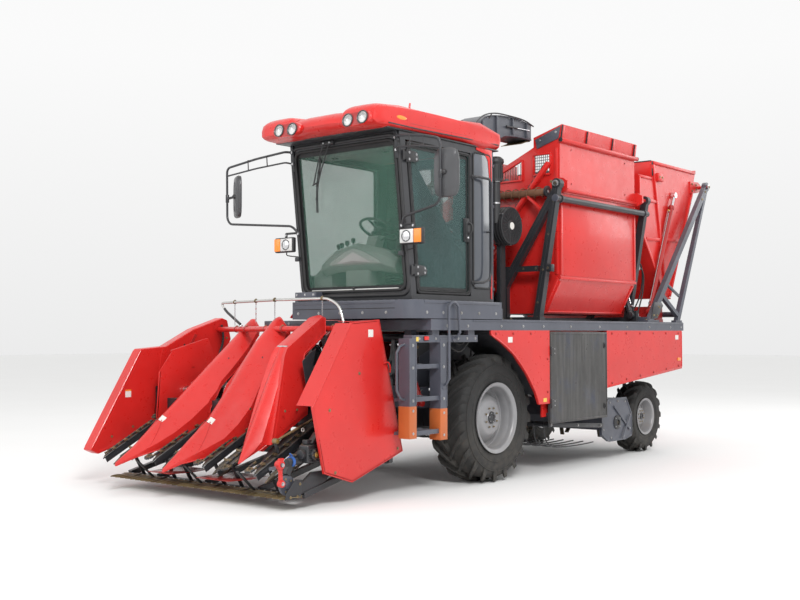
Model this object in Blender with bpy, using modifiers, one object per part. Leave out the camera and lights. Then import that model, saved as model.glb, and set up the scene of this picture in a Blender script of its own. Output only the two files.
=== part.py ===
"""Self-propelled four-row corn harvester: ear header, cab, side-tipping stalk bin and rear-tipping ear bin.

Metres. X runs forward from the front axle, Y to the machine's left from the chassis centreline, Z up
from the ground. The empty corn_harvester carries every piece and puts the whole box's bottom centre at the
world origin.
"""

import math

import bmesh
import bpy
from mathutils import Matrix, Vector

for old in list(bpy.data.objects):
    bpy.data.objects.remove(old, do_unlink=True)

# ---------------------------------------------------------------- driving dimensions
BOX_CENTRE = (-0.981, -0.146)  # X and Y of the whole box's centre, from the front axle and the centreline
GAP = 0.0003  # left between faces that rest on each other

WHEELBASE = 3.494
FRONT_WHEEL = {"r": 0.6325, "y": 0.864, "steps": 24}
REAR_WHEEL = {"r": 0.434, "y": 0.750, "steps": 24}
KINGPIN_Y = 0.56

SIDE_Y = 1.18  # outer face of the body sides
RAIL_Y = (0.34, 0.46)
RAIL_Z = (0.92, 1.12)
DECK_Z = 1.600
FLOOR_Z = 1.7665  # cab platform's top
ROOF_Z = 3.260  # cab frame's top
CAB_X = (0.12, 1.37)  # rear wall, and the front at the floor
CAB_Y = (-0.28, 1.08)
LEAN = 0.1172  # the front pillars' forward lean, metres per metre

HEADER_HINGE = (0.35, 1.42)  # X, Z
HEADER_Y = (-1.82, 0.84)
DIVIDERS = (-1.16, -0.47, 0.22)  # Y of the three inner row dividers
DIVIDER_REACH = 2.90
AUGER = (1.68, 0.88)  # X, Z

BIN_HINGE = (1.14, 3.05)  # Y, Z
BIN_X = (-2.86, -1.16)
REAR_BIN_HINGE = (-4.80, 3.40)  # X, Z
REAR_BIN_Y = 1.00
SPOUT_AXIS = (-0.25, 0.59)  # X, Y
ROTOR_AXIS = (-2.50, 0.43)  # X, Z

# cylinder: base pin and rod eye, in its own plane (u, Z), the plane's place, and sizes
#               base pin         rod eye         plane   barrel  bore    rod     barrel len  rod from
LIFT_LEFT = {"base": (0.66, 0.80), "eye": (0.95, 1.36), "at": 0.610, "barrel": 0.035, "bore": 0.0195, "rod": 0.018, "long": 0.42, "start": 0.12}
LIFT_RIGHT = {"base": (0.66, 0.80), "eye": (0.95, 1.36), "at": -0.460, "barrel": 0.035, "bore": 0.0195, "rod": 0.018, "long": 0.42, "start": 0.12}
BIN_RAM = {"base": (0.98, 1.68), "eye": (0.68, 2.70), "at": -2.935, "barrel": 0.030, "bore": 0.0205, "rod": 0.019, "long": 0.97, "start": 0.08}
REAR_RAM = {"base": (-3.30, 1.72), "eye": (-4.01, 3.22), "at": 1.040, "barrel": 0.030, "bore": 0.0205, "rod": 0.019, "long": 1.50, "start": 0.16}

# material: base colour, roughness, metallic, alpha
PAINTS = {
    "red_paint": ((0.66, 0.035, 0.03), 0.30, 0.0, 1.0),
    "grey_paint": ((0.105, 0.115, 0.145), 0.42, 0.0, 1.0),
    "dark_paint": ((0.035, 0.037, 0.042), 0.45, 0.0, 1.0),
    "silver_paint": ((0.55, 0.55, 0.58), 0.38, 0.3, 1.0),
    "steel": ((0.50, 0.50, 0.52), 0.30, 1.0, 1.0),
    "worn_iron": ((0.16, 0.13, 0.09), 0.60, 0.6, 1.0),
    "tyre_rubber": ((0.025, 0.025, 0.026), 0.85, 0.0, 1.0),
    "tinted_glass": ((0.30, 0.52, 0.47), 0.06, 0.0, 0.35),
    "seat_cloth": ((0.045, 0.05, 0.055), 0.90, 0.0, 1.0),
    "black_plastic": ((0.02, 0.02, 0.022), 0.50, 0.0, 1.0),
}

parts = bpy.data.collections.new("corn_harvester")
bpy.context.scene.collection.children.link(parts)
machine = bpy.data.objects.new("corn_harvester_origin", None)
machine.location = (-BOX_CENTRE[0], -BOX_CENTRE[1], 0.0)
parts.objects.link(machine)


# ---------------------------------------------------------------- shapes
def from_bmesh(bm):
    bmesh.ops.recalc_face_normals(bm, faces=bm.faces)
    if bm.calc_volume(signed=True) < 0:
        bmesh.ops.reverse_faces(bm, faces=bm.faces)
    mesh = bpy.data.meshes.new("shape")
    bm.to_mesh(mesh)
    bm.free()
    shape = bpy.data.objects.new("shape", mesh)
    parts.objects.link(shape)
    return shape


def block(x, y, z):
    """A box between the low and high of each pair."""
    bm = bmesh.new()
    bmesh.ops.create_cube(bm, size=1.0)
    low = Vector((min(x), min(y), min(z)))
    high = Vector((max(x), max(y), max(z)))
    size = high - low
    place = Matrix.Translation((low + high) / 2) @ Matrix.Diagonal((*size, 1.0))
    bm.transform(place)
    return from_bmesh(bm)


def beam(p, q, wide, deep, side=(0, 1, 0)):
    """A square bar from p to q, wide along side and deep across it."""
    p, q = Vector(p), Vector(q)
    run = q - p
    w = run.normalized()
    s = Vector(side)
    s = (s - s.dot(w) * w).normalized()
    d = w.cross(s)
    frame = Matrix((s * wide, d * deep, w * run.length)).transposed().to_4x4()
    frame.translation = (p + q) / 2
    bm = bmesh.new()
    bmesh.ops.create_cube(bm, size=1.0)
    bm.transform(frame)
    return from_bmesh(bm)


def rod(p, q, r, sides=12, r_end=None):
    """A cylinder or cone from p to q."""
    p, q = Vector(p), Vector(q)
    run = q - p
    bm = bmesh.new()
    bmesh.ops.create_cone(bm, cap_ends=True, cap_tris=False, segments=sides, radius1=r,
                          radius2=r if r_end is None else r_end, depth=run.length)
    turn = run.to_track_quat("Z", "Y").to_matrix().to_4x4()
    bm.transform(Matrix.Translation((p + q) / 2) @ turn)
    return from_bmesh(bm)


def as_mesh(shape):
    """The evaluated object as a plain closed mesh in place."""
    bpy.context.view_layer.update()
    graph = bpy.context.evaluated_depsgraph_get()
    mesh = bpy.data.meshes.new_from_object(shape.evaluated_get(graph))
    bm = bmesh.new()
    bm.from_mesh(mesh)
    bm.transform(shape.matrix_world)
    bmesh.ops.remove_doubles(bm, verts=bm.verts, dist=1e-5)
    bmesh.ops.dissolve_degenerate(bm, dist=1e-6, edges=bm.edges)
    bpy.data.meshes.remove(mesh)
    bpy.data.objects.remove(shape, do_unlink=True)
    return from_bmesh(bm)


# plane: where the outline's own x, y and its thickness run
PLANES = {
    "XZ": ((1, 0, 0), (0, 0, 1), (0, -1, 0)),
    "YZ": ((0, 1, 0), (0, 0, 1), (1, 0, 0)),
    "XY": ((1, 0, 0), (0, 1, 0), (0, 0, 1)),
}


def plate(outline, plane, low, high):
    """A flat outline in a plane, thick from low to high on the third axis."""
    curve = bpy.data.curves.new("outline", "CURVE")
    curve.dimensions = "2D"
    curve.fill_mode = "BOTH"
    curve.extrude = abs(high - low) / 2
    spline = curve.splines.new("POLY")
    spline.points.add(len(outline) - 1)
    for point, (u, v) in zip(spline.points, outline):
        point.co = (u, v, 0, 1)
    spline.use_cyclic_u = True
    shape = bpy.data.objects.new("outline", curve)
    parts.objects.link(shape)
    u, v, n = (Vector(a) for a in PLANES[plane])
    place = Matrix((u, v, n)).transposed().to_4x4()
    place.translation = Vector([abs(c) for c in n]) * (low + high) / 2
    shape.matrix_world = place
    return as_mesh(shape)


def tube(points, r, smooth=1):
    """A round tube along the points, its corners cut once for each smooth."""
    points = [Vector(p) for p in points]
    for _ in range(smooth):
        cut = [points[0]]
        for a, b, c in zip(points, points[1:], points[2:]):
            reach = min((b - a).length, (c - b).length) * 0.3
            cut += [b + (a - b).normalized() * reach, b + (c - b).normalized() * reach]
        points = cut + [points[-1]]
    curve = bpy.data.curves.new("tube", "CURVE")
    curve.dimensions = "3D"
    curve.bevel_depth = r
    curve.bevel_resolution = 2
    curve.use_fill_caps = True
    spline = curve.splines.new("POLY")
    spline.points.add(len(points) - 1)
    for point, p in zip(spline.points, points):
        point.co = (*p, 1)
    shape = bpy.data.objects.new("tube", curve)
    parts.objects.link(shape)
    return as_mesh(shape)


def turned(profile, centre, steps, closed, flip=False):
    """A profile of (along Y, radius) turned about a line along Y through the centre. Flat facets face down."""
    bm = bmesh.new()
    side = -1 if flip else 1
    spin = math.pi / steps
    points = [bm.verts.new((r * math.cos(spin), r * math.sin(spin), side * a)) for a, r in profile]
    for a, b in zip(points, points[1:]):
        bm.edges.new((a, b))
    if closed:
        bm.edges.new((points[-1], points[0]))
    mesh = bpy.data.meshes.new("profile")
    bm.to_mesh(mesh)
    bm.free()
    shape = bpy.data.objects.new("profile", mesh)
    parts.objects.link(shape)
    screw = shape.modifiers.new("turn", "SCREW")
    screw.axis = "Z"
    screw.steps = steps
    screw.render_steps = steps
    screw.use_merge_vertices = True
    screw.merge_threshold = 1e-5
    shape.matrix_world = Matrix.Translation(centre) @ Matrix.Rotation(-math.pi / 2, 4, "X")
    return as_mesh(shape)


def loft(sections):
    """A closed skin through sections of equal point count."""
    bm = bmesh.new()
    rings = [[bm.verts.new(p) for p in section] for section in sections]
    for a, b in zip(rings, rings[1:]):
        count = len(a)
        for i in range(count):
            j = (i + 1) % count
            bm.faces.new((a[i], a[j], b[j], b[i]))
    bm.faces.new(rings[0])
    bm.faces.new(rings[-1])
    return from_bmesh(bm)


def boolean(target, other, operation):
    step = target.modifiers.new("step", "BOOLEAN")
    step.operation = operation
    step.solver = "EXACT"
    step.object = other
    bpy.context.view_layer.update()
    graph = bpy.context.evaluated_depsgraph_get()
    mesh = bpy.data.meshes.new_from_object(target.evaluated_get(graph))
    target.modifiers.remove(step)
    spent = target.data
    target.data = mesh
    bpy.data.meshes.remove(spent)
    bpy.data.objects.remove(other, do_unlink=True)
    return target


def join(first, *others):
    for other in others:
        boolean(first, other, "UNION")
    return first


def cut(first, *others):
    for other in others:
        boolean(first, other, "DIFFERENCE")
    return first


def mirrored(shape):
    """A copy on the other side of the centreline."""
    bm = bmesh.new()
    bm.from_mesh(shape.data)
    bm.transform(Matrix.Diagonal((1, -1, 1, 1)))
    return from_bmesh(bm)


def piece(name, shape, paint, pivot=(0.0, 0.0, 0.0)):
    """Names a finished shape, gives it its own material and puts its origin at the pivot."""
    colour, roughness, metallic, alpha = PAINTS[paint]
    material = bpy.data.materials.new(name + "_" + paint)
    material.use_nodes = True
    shader = material.node_tree.nodes["Principled BSDF"]
    shader.inputs["Base Color"].default_value = (*colour, 1.0)
    shader.inputs["Roughness"].default_value = roughness
    shader.inputs["Metallic"].default_value = metallic
    shader.inputs["Alpha"].default_value = alpha
    material.diffuse_color = (*colour, alpha)
    shape.data.materials.clear()
    shape.data.materials.append(material)
    shape.data.transform(Matrix.Translation(-Vector(pivot)))
    shape.location = pivot
    shape.name = name
    shape.data.name = name
    shape.parent = machine
    return shape


# ---------------------------------------------------------------- wheels
# profiles: place across the wheel (outboard positive), radius
FRONT_TYRE = [(-0.168, 0.312), (0.168, 0.312), (0.168, 0.360), (0.200, 0.440), (0.205, 0.520), (0.186, 0.600),
              (0.150, None), (-0.150, None), (-0.186, 0.600), (-0.205, 0.520), (-0.200, 0.440), (-0.168, 0.360)]
FRONT_RIM = [(0.135, 0), (0.135, 0.065), (0.112, 0.070), (0.112, 0.170), (0.050, 0.245), (0.030, 0.297), (0.165, 0.297),
             (0.192, 0.315), (0.192, 0.349), (0.176, 0.349), (0.172, 0.3115), (-0.172, 0.3115), (-0.176, 0.349),
             (-0.192, 0.349), (-0.192, 0.315), (-0.165, 0.297), (0.012, 0.297), (0.035, 0.235), (0.097, 0.160), (0.097, 0)]
REAR_TYRE = [(-0.116, 0.197), (0.116, 0.197), (0.116, 0.235), (0.145, 0.290), (0.150, 0.345), (0.136, 0.408),
             (0.105, None), (-0.105, None), (-0.136, 0.408), (-0.150, 0.345), (-0.145, 0.290), (-0.116, 0.235)]
REAR_RIM = [(0.085, 0), (0.085, 0.045), (0.065, 0.050), (0.065, 0.100), (0.030, 0.140), (0.015, 0.185), (0.115, 0.185),
            (0.135, 0.198), (0.135, 0.226), (0.124, 0.226), (0.120, 0.1955), (-0.120, 0.1955), (-0.124, 0.226),
            (-0.135, 0.226), (-0.135, 0.198), (-0.115, 0.185), (0.000, 0.185), (0.018, 0.130), (0.050, 0.090), (0.050, 0)]
# wheel: X, size, tyre profile, rim profile
for axle, x, size, tyre, rim in (("front", 0.0, FRONT_WHEEL, FRONT_TYRE, FRONT_RIM),
                                 ("rear", -WHEELBASE, REAR_WHEEL, REAR_TYRE, REAR_RIM)):
    tread = size["r"] / math.cos(math.pi / size["steps"])
    tyre = [(a, tread if r is None else r) for a, r in tyre]
    for side, sign in (("left", 1), ("right", -1)):
        hub = (x, sign * size["y"], size["r"])
        piece(f"{axle}_tyre_{side}", turned(tyre, hub, size["steps"], True, sign < 0), "tyre_rubber", hub)
        piece(f"{axle}_rim_{side}", turned(rim, hub, size["steps"], False, sign < 0), "silver_paint", hub)

# ---------------------------------------------------------------- chassis
cross = (-1.13, 1.13)
short = (-0.52, 1.13)
# block: X, Y, Z
frame_blocks = [
    ((-3.98, 0.60), RAIL_Y, RAIL_Z), ((-3.98, 0.60), (-RAIL_Y[1], -RAIL_Y[0]), RAIL_Z),
    ((-3.95, 1.22), (1.08, SIDE_Y), (1.495, 1.594)), ((-3.95, 0.62), (-SIDE_Y, -1.08), (1.495, 1.594)),
    ((1.12, 1.22), (-0.30, 1.13), (1.500, 1.590)), ((0.50, 0.60), short, (1.500, 1.590)),
    ((0.02, 0.08), short, (1.500, 1.592)), ((-0.50, -0.42), cross, (1.500, 1.590)),
    ((-1.07, -0.97), cross, (1.500, 1.590)), ((-2.00, -1.90), cross, (1.500, 1.590)),
    ((-3.02, -2.92), cross, (1.500, 1.590)), ((-3.94, -3.86), cross, (1.500, 1.590)),
    ((-3.95, 0.09), (-0.53, 1.17), (1.586, DECK_Z)), ((-3.95, -0.44), (-1.17, -0.50), (1.586, DECK_Z)),
    ((0.10, 1.17), (0.30, 0.38), (1.505, 1.588)),
    ((0.48, 0.62), (-0.60, 0.575), (0.74, 0.945)), ((-3.62, -3.37), (-0.38, 0.38), (0.86, 0.96)),
    ((-3.60, -3.39), (-0.12, 0.12), (0.56, 0.90)),
]
for x in ((0.505, 0.595), (-1.06, -0.98), (-3.01, -2.93), (-3.93, -3.87)):
    frame_blocks += [(x, (0.36, 0.44), (1.10, 1.52)), (x, (-0.44, -0.36), (1.10, 1.52))]
for y in ((0.38, 0.42), (-0.42, -0.38)):  # header hinge brackets
    frame_blocks.append(((0.26, 0.44), y, (1.10, 1.485)))
frame_blocks += [((0.59, 0.715), (0.550, 0.568), (0.745, 0.855)), ((0.59, 0.715), (-0.418, -0.400), (0.745, 0.855))]
chassis = join(*[block(*b) for b in frame_blocks])
cut(chassis, rod((HEADER_HINGE[0], -0.5, HEADER_HINGE[1]), (HEADER_HINGE[0], 0.5, HEADER_HINGE[1]), 0.046, 16),
    rod((0.66, 0.50, 0.80), (0.66, 0.576, 0.80), 0.0190, 12), rod((0.66, -0.44, 0.80), (0.66, -0.39, 0.80), 0.0190, 12))
piece("chassis_frame", chassis, "grey_paint")

hub_z = FRONT_WHEEL["r"]
axle = join(block((-0.12, 0.12), (-0.60, 0.60), (0.52, 0.75)), block((-0.24, 0.24), (-0.22, 0.22), (0.42, 0.86)),
            block((-0.13, 0.13), (0.35, 0.45), (0.70, RAIL_Z[0] - GAP)), block((-0.13, 0.13), (-0.45, -0.35), (0.70, RAIL_Z[0] - GAP)),
            rod((0, -0.82, hub_z), (0, -0.52, hub_z), 0.20, 20), rod((0, 0.52, hub_z), (0, 0.82, hub_z), 0.20, 20),
            rod((0, -0.953, hub_z), (0, 0.953, hub_z), 0.085, 14))
piece("front_axle", axle, "dark_paint")

rx, rz = -WHEELBASE, REAR_WHEEL["r"]
rear_axle = join(block((rx - 0.07, rx + 0.07), (-0.48, 0.48), (rz - 0.05, rz + 0.06)),
                 block((rx - 0.09, rx + 0.09), (-0.10, 0.10), (rz - 0.05, 0.56 - GAP)))
for sign in (1, -1):
    yoke = [(rx - 0.05, rx + 0.05), (sign * 0.44, sign * 0.61)]
    join(rear_axle, block(*yoke, (rz + 0.075, rz + 0.11)), block(*yoke, (rz - 0.11, rz - 0.075)),
         block((rx - 0.05, rx + 0.05), (sign * 0.44, sign * 0.485), (rz - 0.11, rz + 0.11)))
piece("rear_axle_beam", rear_axle, "dark_paint")
for side, sign in (("left", 1), ("right", -1)):
    pin = (rx, sign * KINGPIN_Y, rz)
    knuckle = join(rod((rx, sign * KINGPIN_Y, rz - 0.070), (rx, sign * KINGPIN_Y, rz + 0.070), 0.045, 14),
                   rod((rx, sign * KINGPIN_Y, rz), (rx, sign * 0.790, rz), 0.035, 12),
                   block((rx - 0.20, rx), (sign * 0.545, sign * 0.575), (rz - 0.04, rz - 0.02)))
    piece(f"steering_knuckle_{side}", knuckle, "dark_paint", pin)

# ---------------------------------------------------------------- body sides
# left side outline: X, Z, from the fender's front along the wheel arch
ARCH = [(0.28, 1.494), (0.27, 1.450), (0.10, 1.375), (-0.12, 1.250), (-0.34, 1.060), (-0.50, 0.870), (-0.57, 0.740)]
fender = plate(ARCH + [(-0.775, 0.740), (-0.775, 1.4947)], "XZ", 1.155, SIDE_Y)
tail = plate([(-1.985, 0.853), (-1.985, 1.4947), (-3.90, 1.4947), (-3.90, 1.024)], "XZ", 1.155, SIDE_Y)
left_side = join(fender, block((-2.05, -0.72), (1.10, 1.118), (0.60, 1.4947)),
                 block((-0.775, -0.755), (1.105, 1.17), (0.745, 1.4947)), block((-2.01, -1.985), (1.105, 1.17), (0.86, 1.4947)), tail)
piece("side_panel_left", left_side, "red_paint")
right_side = plate(ARCH + [(-0.60, 0.740), (-0.80, 0.740), (-2.0, 0.853), (-3.90, 1.024), (-3.90, 1.4947)], "XZ", -SIDE_Y, -1.155)
piece("side_panel_right", right_side, "red_paint")
DOOR_HINGE = (-0.790, 1.192)
door = join(block((-1.978, -0.782), (1.150, 1.184), (0.528, 1.478)), block((-0.83, -0.782), (1.17, 1.196), (0.70, 0.78)),
            block((-0.83, -0.782), (1.17, 1.196), (1.24, 1.32)))
piece("service_door", door, "dark_paint", (*DOOR_HINGE, 1.0))

# ---------------------------------------------------------------- cab
corner = [(1.34 + 0.15 * math.sin(a), 1.03 + 0.15 * math.cos(a)) for a in (1.5708, 1.178, 0.785, 0.393, 0.0)]
deck_line = [(0.10, -0.30), (1.49, -0.30)] + corner + [(0.10, 1.18)]
inset = [(0.13, -0.27), (1.46, -0.27)] + [(x - 0.03, y - 0.03) for x, y in corner] + [(0.13, 1.15)]
platform = cut(plate(deck_line, "XY", DECK_Z + GAP, 1.766), plate(inset, "XY", 1.55, 1.742))
join(platform, block((1.385, 1.475), (-0.28, 0.00), (1.75, 1.86)))
piece("cab_platform", platform, "grey_paint")


def cab_front(z, back=0.0):
    """X of the cab's leaning front at a height."""
    return CAB_X[1] + LEAN * (z - FLOOR_Z) - back


def cab_outline(low, high, rear, back):
    return [(rear, low), (cab_front(low, back), low), (cab_front(high, back), high), (rear, high)]


shell = plate(cab_outline(FLOOR_Z, ROOF_Z, CAB_X[0], 0.0), "XZ", *CAB_Y)
cut(shell, plate(cab_outline(FLOOR_Z + 0.045, ROOF_Z + 0.05, CAB_X[0] + 0.05, 0.052), "XZ", CAB_Y[0] + 0.05, CAB_Y[1] - 0.05),
    block((1.10, 1.80), (CAB_Y[0] + 0.06, CAB_Y[1] - 0.06), (1.86, 3.19)),
    plate(cab_outline(1.82, 3.19, 0.47, 0.076), "XZ", 1.00, 1.15),
    plate(cab_outline(2.02, 3.17, 0.30, 0.090), "XZ", -0.35, -0.20),
    block((0.05, 0.20), (0.00, 0.80), (2.35, 3.15)))
piece("cab_frame", shell, "dark_paint")

roof_line = [(0.00, -0.31), (1.62, -0.31), (1.76, -0.25), (1.86, -0.05), (1.90, 0.18), (1.90, 0.62), (1.86, 0.85), (1.76, 1.05), (1.62, 1.11), (0.00, 1.11)]
roof = plate(roof_line, "XY", ROOF_Z + GAP, 3.43)
pod = [(1.25, 3.30), (1.84, 3.265), (1.93, 3.33), (1.86, 3.455), (1.60, 3.475), (1.15, 3.44)]
join(roof, plate(pod, "XZ", -0.32, 0.08), plate(pod, "XZ", 0.72, 1.12),
     plate([(0.05, 3.40), (1.60, 3.40), (1.45, 3.455), (0.15, 3.455)], "XZ", 0.12, 0.68))
piece("cab_roof", roof, "red_paint")

pane = [(cab_front(1.862, 0.030), 1.862), (cab_front(1.862, 0.018), 1.862), (cab_front(3.188, 0.018), 3.188), (cab_front(3.188, 0.030), 3.188)]
piece("windshield", plate(pane, "XZ", CAB_Y[0] + 0.062, CAB_Y[1] - 0.062), "tinted_glass")
piece("right_window", plate(cab_outline(2.022, 3.168, 0.302, 0.092), "XZ", -0.262, -0.252), "tinted_glass")
piece("rear_window", block((0.14, 0.15), (0.002, 0.798), (2.352, 3.148)), "tinted_glass")

# the door hangs on the front pillar's outer face, on a line that leans with it
door_edge = 0.082
HINGE_LOW = (cab_front(2.0, 0.016), 1.096, 2.0)
door_frame = cut(plate(cab_outline(1.826, 3.184, 0.476, door_edge), "XZ", 1.037, 1.085),
                 plate(cab_outline(1.925, 3.130, 0.530, door_edge + 0.052), "XZ", 1.00, 1.12))
for z in (2.05, 3.02):
    x = cab_front(z, 0.016)
    join(door_frame, block((x - 0.10, x), (1.0815, 1.1035), (z - 0.03, z + 0.03)), rod((x, 1.096, z - 0.03), (x, 1.096, z + 0.03), 0.0085, 10))
join(door_frame, block((0.49, 0.52), (1.08, 1.118), (2.40, 2.58)))
cut(door_frame, block((0.40, 0.60), (1.0868, 1.105), (2.43, 2.55)))
piece("cab_door", door_frame, "black_plastic", HINGE_LOW)
piece("cab_door_window", plate(cab_outline(1.927, 3.128, 0.532, door_edge + 0.054), "XZ", 1.056, 1.066), "tinted_glass", HINGE_LOW)

floor = FLOOR_Z + 0.045 + GAP
seat = join(block((0.52, 0.82), (0.26, 0.54), (floor, 2.16)), block((0.44, 0.93), (0.16, 0.64), (2.14, 2.27)),
            plate([(0.44, 2.20), (0.56, 2.24), (0.46, 2.86), (0.34, 2.86)], "XZ", 0.17, 0.63))
piece("driver_seat", seat, "seat_cloth")
wheel_at = Vector((1.02, 0.40, 2.46))
ring = turned([(-0.012, 0.180), (0.012, 0.180), (0.012, 0.205), (-0.012, 0.205)], (0, 0, 0), 20, True)
ring.data.transform(Matrix.Translation(wheel_at) @ Matrix.Rotation(math.radians(-62), 4, "Y") @ Matrix.Rotation(math.radians(90), 4, "Z"))
spoke_u, spoke_v = Vector((0, 1, 0)), Vector((math.sin(math.radians(62)), 0, -math.cos(math.radians(62)))).cross(Vector((0, 1, 0)))
console = join(block((0.42, 1.28), (-0.21, 0.02), (floor, 2.20)), block((1.10, 1.28), (-0.05, 0.60), (floor, 1.90)),
               beam((1.20, 0.40, 1.85), (1.03, 0.40, 2.44), 0.10, 0.10))
for way in (spoke_u, -spoke_u, spoke_v, -spoke_v):
    join(console, beam(wheel_at, wheel_at + way * 0.19, 0.025, 0.016, (0.88, 0, 0.47)))
join(console, ring)
piece("steering_console", console, "black_plastic")

# ---------------------------------------------------------------- ladder and mirrors
ladder = join(block((0.45, 1.44), (1.04, 1.14), (1.385, 1.45)), block((0.50, 0.60), (1.09, 1.14), (1.44, 1.495 - GAP)),
              block((1.05, 1.15), (1.09, 1.14), (1.44, 1.495 - GAP)), block((0.94, 1.04), (1.02, 1.145), (0.50, 1.42)),
              block((1.39, 1.485), (1.02, 1.145), (0.54, 1.42)))
for z in (0.56, 0.86, 1.15):
    join(ladder, block((1.00, 1.43), (0.92, 1.13), (z, z + 0.028)))
join(ladder, tube([(0.99, 1.10, 0.98), (1.00, 1.215, 1.02), (1.00, 1.215, 1.75), (0.86, 1.215, 1.75), (0.83, 1.215, 1.44), (0.83, 1.10, 1.415)], 0.013),
     tube([(1.44, 1.08, 1.38), (1.585, 1.08, 1.34), (1.585, 1.08, 0.92), (1.44, 1.08, 0.86)], 0.012))
piece("ladder", ladder, "grey_paint")

mirror_arm = {  # side: mount Y, arm Y, glass Y, width direction
    "left": (1.045, 1.50, 1.53, (0.25, 0.97, 0)), "right": (-0.245, -1.235, -1.12, (0.675, 0.738, 0))}
for side, (root_y, arm_y, glass_y, way) in mirror_arm.items():
    out = 1 if side == "left" else -1
    mirror = join(beam((cab_front(3.24, -0.0135), root_y, 3.24), (cab_front(3.02, -0.0135), root_y, 3.02), 0.04, 0.020),
                  tube([(cab_front(3.20, -0.02), root_y, 3.20), (1.60, root_y + out * 0.05, 3.20), (1.50, arm_y, 3.14), (1.49, arm_y, 2.62),
                        (1.50, root_y + out * 0.06, 2.50), (cab_front(2.45, -0.0135), root_y, 2.45)], 0.011),
                  tube([(cab_front(3.08, -0.02), root_y, 3.08), (1.59, root_y + out * 0.05, 3.08), (1.495, arm_y, 3.03)], 0.009),
                  beam((1.47, glass_y, 2.66), (1.47, glass_y, 3.06), 0.25, 0.055, way),
                  beam((1.49, arm_y, 2.85), (1.47, glass_y, 2.85), 0.03, 0.03, (0, 0, 1)))
    piece(f"mirror_{side}", mirror, "black_plastic")

# ---------------------------------------------------------------- engine bay
engine = join(block((-0.92, -0.14), (-0.48, 0.30), (DECK_Z + GAP, 2.30)), block((-0.80, -0.26), (-0.36, 0.18), (2.25, 2.52)),
              rod((-0.53, -0.53, 1.95), (-0.53, -0.40, 1.95), 0.26, 20), block((-0.95, -0.11), (0.26, 0.32), (1.66, 2.40)))
piece("engine", engine, "worn_iron")
exhaust = join(rod((-0.66, -0.24, 2.52 + GAP), (-0.66, -0.24, 2.62), 0.045, 14), rod((-0.66, -0.24, 2.60), (-0.66, -0.24, 3.10), 0.085, 16),
               tube([(-0.66, -0.24, 3.05), (-0.66, -0.24, 3.30), (-0.66, -0.34, 3.40)], 0.035))
piece("exhaust", exhaust, "worn_iron")
cleaner = join(rod((-0.70, 0.62, 2.60), (-0.70, 0.76, 2.60), 0.20, 24), rod((-0.70, 0.56, 2.60), (-0.70, 0.64, 2.60), 0.12, 16),
               rod((-0.53, 0.68, 2.62), (-0.53, 0.68, 3.10), 0.050, 14), rod((-0.53, 0.68, 3.06), (-0.53, 0.68, 3.30), 0.075, 16),
               block((-0.74, -0.66), (0.60, 0.66), (DECK_Z + GAP, 2.50)))
piece("air_cleaner", cleaner, "black_plastic")

duct = cut(join(block((-0.40, -0.10), (0.44, 0.74), (1.64, 3.350)), block((-0.47, -0.04), (0.37, 0.81), (DECK_Z + GAP, 1.72))),
           block((-0.385, -0.115), (0.455, 0.725), (1.75, 3.50)))
piece("stalk_duct", duct, "grey_paint")
SPOUT_OUT = [(-0.10, 3.356), (-0.10, 3.500), (-0.17, 3.640), (-0.30, 3.720), (-0.55, 3.760), (-0.85, 3.775), (-1.13, 3.745), (-1.13, 3.565),
             (-0.85, 3.565), (-0.62, 3.543), (-0.47, 3.490), (-0.41, 3.420), (-0.40, 3.356)]
SPOUT_IN = [(-0.12, 3.200), (-0.12, 3.495), (-0.185, 3.625), (-0.31, 3.700), (-0.55, 3.740), (-0.85, 3.755), (-1.20, 3.718), (-1.20, 3.583),
            (-0.85, 3.585), (-0.61, 3.562), (-0.455, 3.505), (-0.39, 3.430), (-0.38, 3.200)]
spout = cut(plate(SPOUT_OUT, "XZ", 0.44, 0.74), plate(SPOUT_IN, "XZ", 0.458, 0.722))
piece("stalk_spout", spout, "grey_paint", (*SPOUT_AXIS, 3.40))

# ear elevator: a casing that climbs along the right side
low, high = Vector((1.15, 0, 0.95)), Vector((-2.76, 0, 3.42))
climb = (high - low).normalized()
rise = Vector((-climb.z, 0, climb.x)) * (-0.17)
casing = [low + rise, high + rise, high - rise, low - rise]
elevator = join(plate([(p.x, p.z) for p in casing], "XZ", -1.07, -0.61),
                block((-2.92, -2.60), (-1.06, -0.62), (3.34, 3.62)), block((-2.60, -2.52), (-1.00, -0.92), (DECK_Z + GAP, 3.20)),
                block((-1.56, -1.48), (-1.00, -0.92), (DECK_Z + GAP, 2.55)), block((0.62 + GAP, 1.00), (-0.64, -0.52), (0.80, 0.93)),
                block((0.94, 1.30), (-1.06, -0.62), (0.72, 0.90)))
piece("ear_elevator", elevator, "red_paint")

# ---------------------------------------------------------------- stalk chopper between the axles
hood = [(-2.15, 0.36), (-2.15, 0.50), (-2.30, 0.70), (-2.72, 0.70), (-2.85, 0.50), (-2.85, 0.30), (-2.82, 0.30), (-2.82, 0.49), (-2.705, 0.67),
        (-2.315, 0.67), (-2.18, 0.49), (-2.18, 0.36)]
cheek = [(-2.14, 0.30), (-2.14, 0.505), (-2.295, 0.71), (-2.725, 0.71), (-2.86, 0.505), (-2.86, 0.25), (-2.70, 0.22), (-2.30, 0.22)]
housing = join(plate(hood, "XZ", -1.005, 1.005), plate(cheek, "XZ", 0.99, 1.02), plate(cheek, "XZ", -1.02, -0.99),
               block((-2.60, -2.40), (0.35, 0.45), (0.68, RAIL_Z[0] - GAP)), block((-2.60, -2.40), (-0.45, -0.35), (0.68, RAIL_Z[0] - GAP)))
ax, az = ROTOR_AXIS
cut(housing, rod((ax, -1.1, az), (ax, 1.1, az), 0.026, 12))
piece("chopper_housing", housing, "grey_paint")
rotor = join(rod((ax, -0.975, az), (ax, 0.975, az), 0.06, 12), rod((ax, -1.03, az), (ax, 1.03, az), 0.020, 10))
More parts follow.
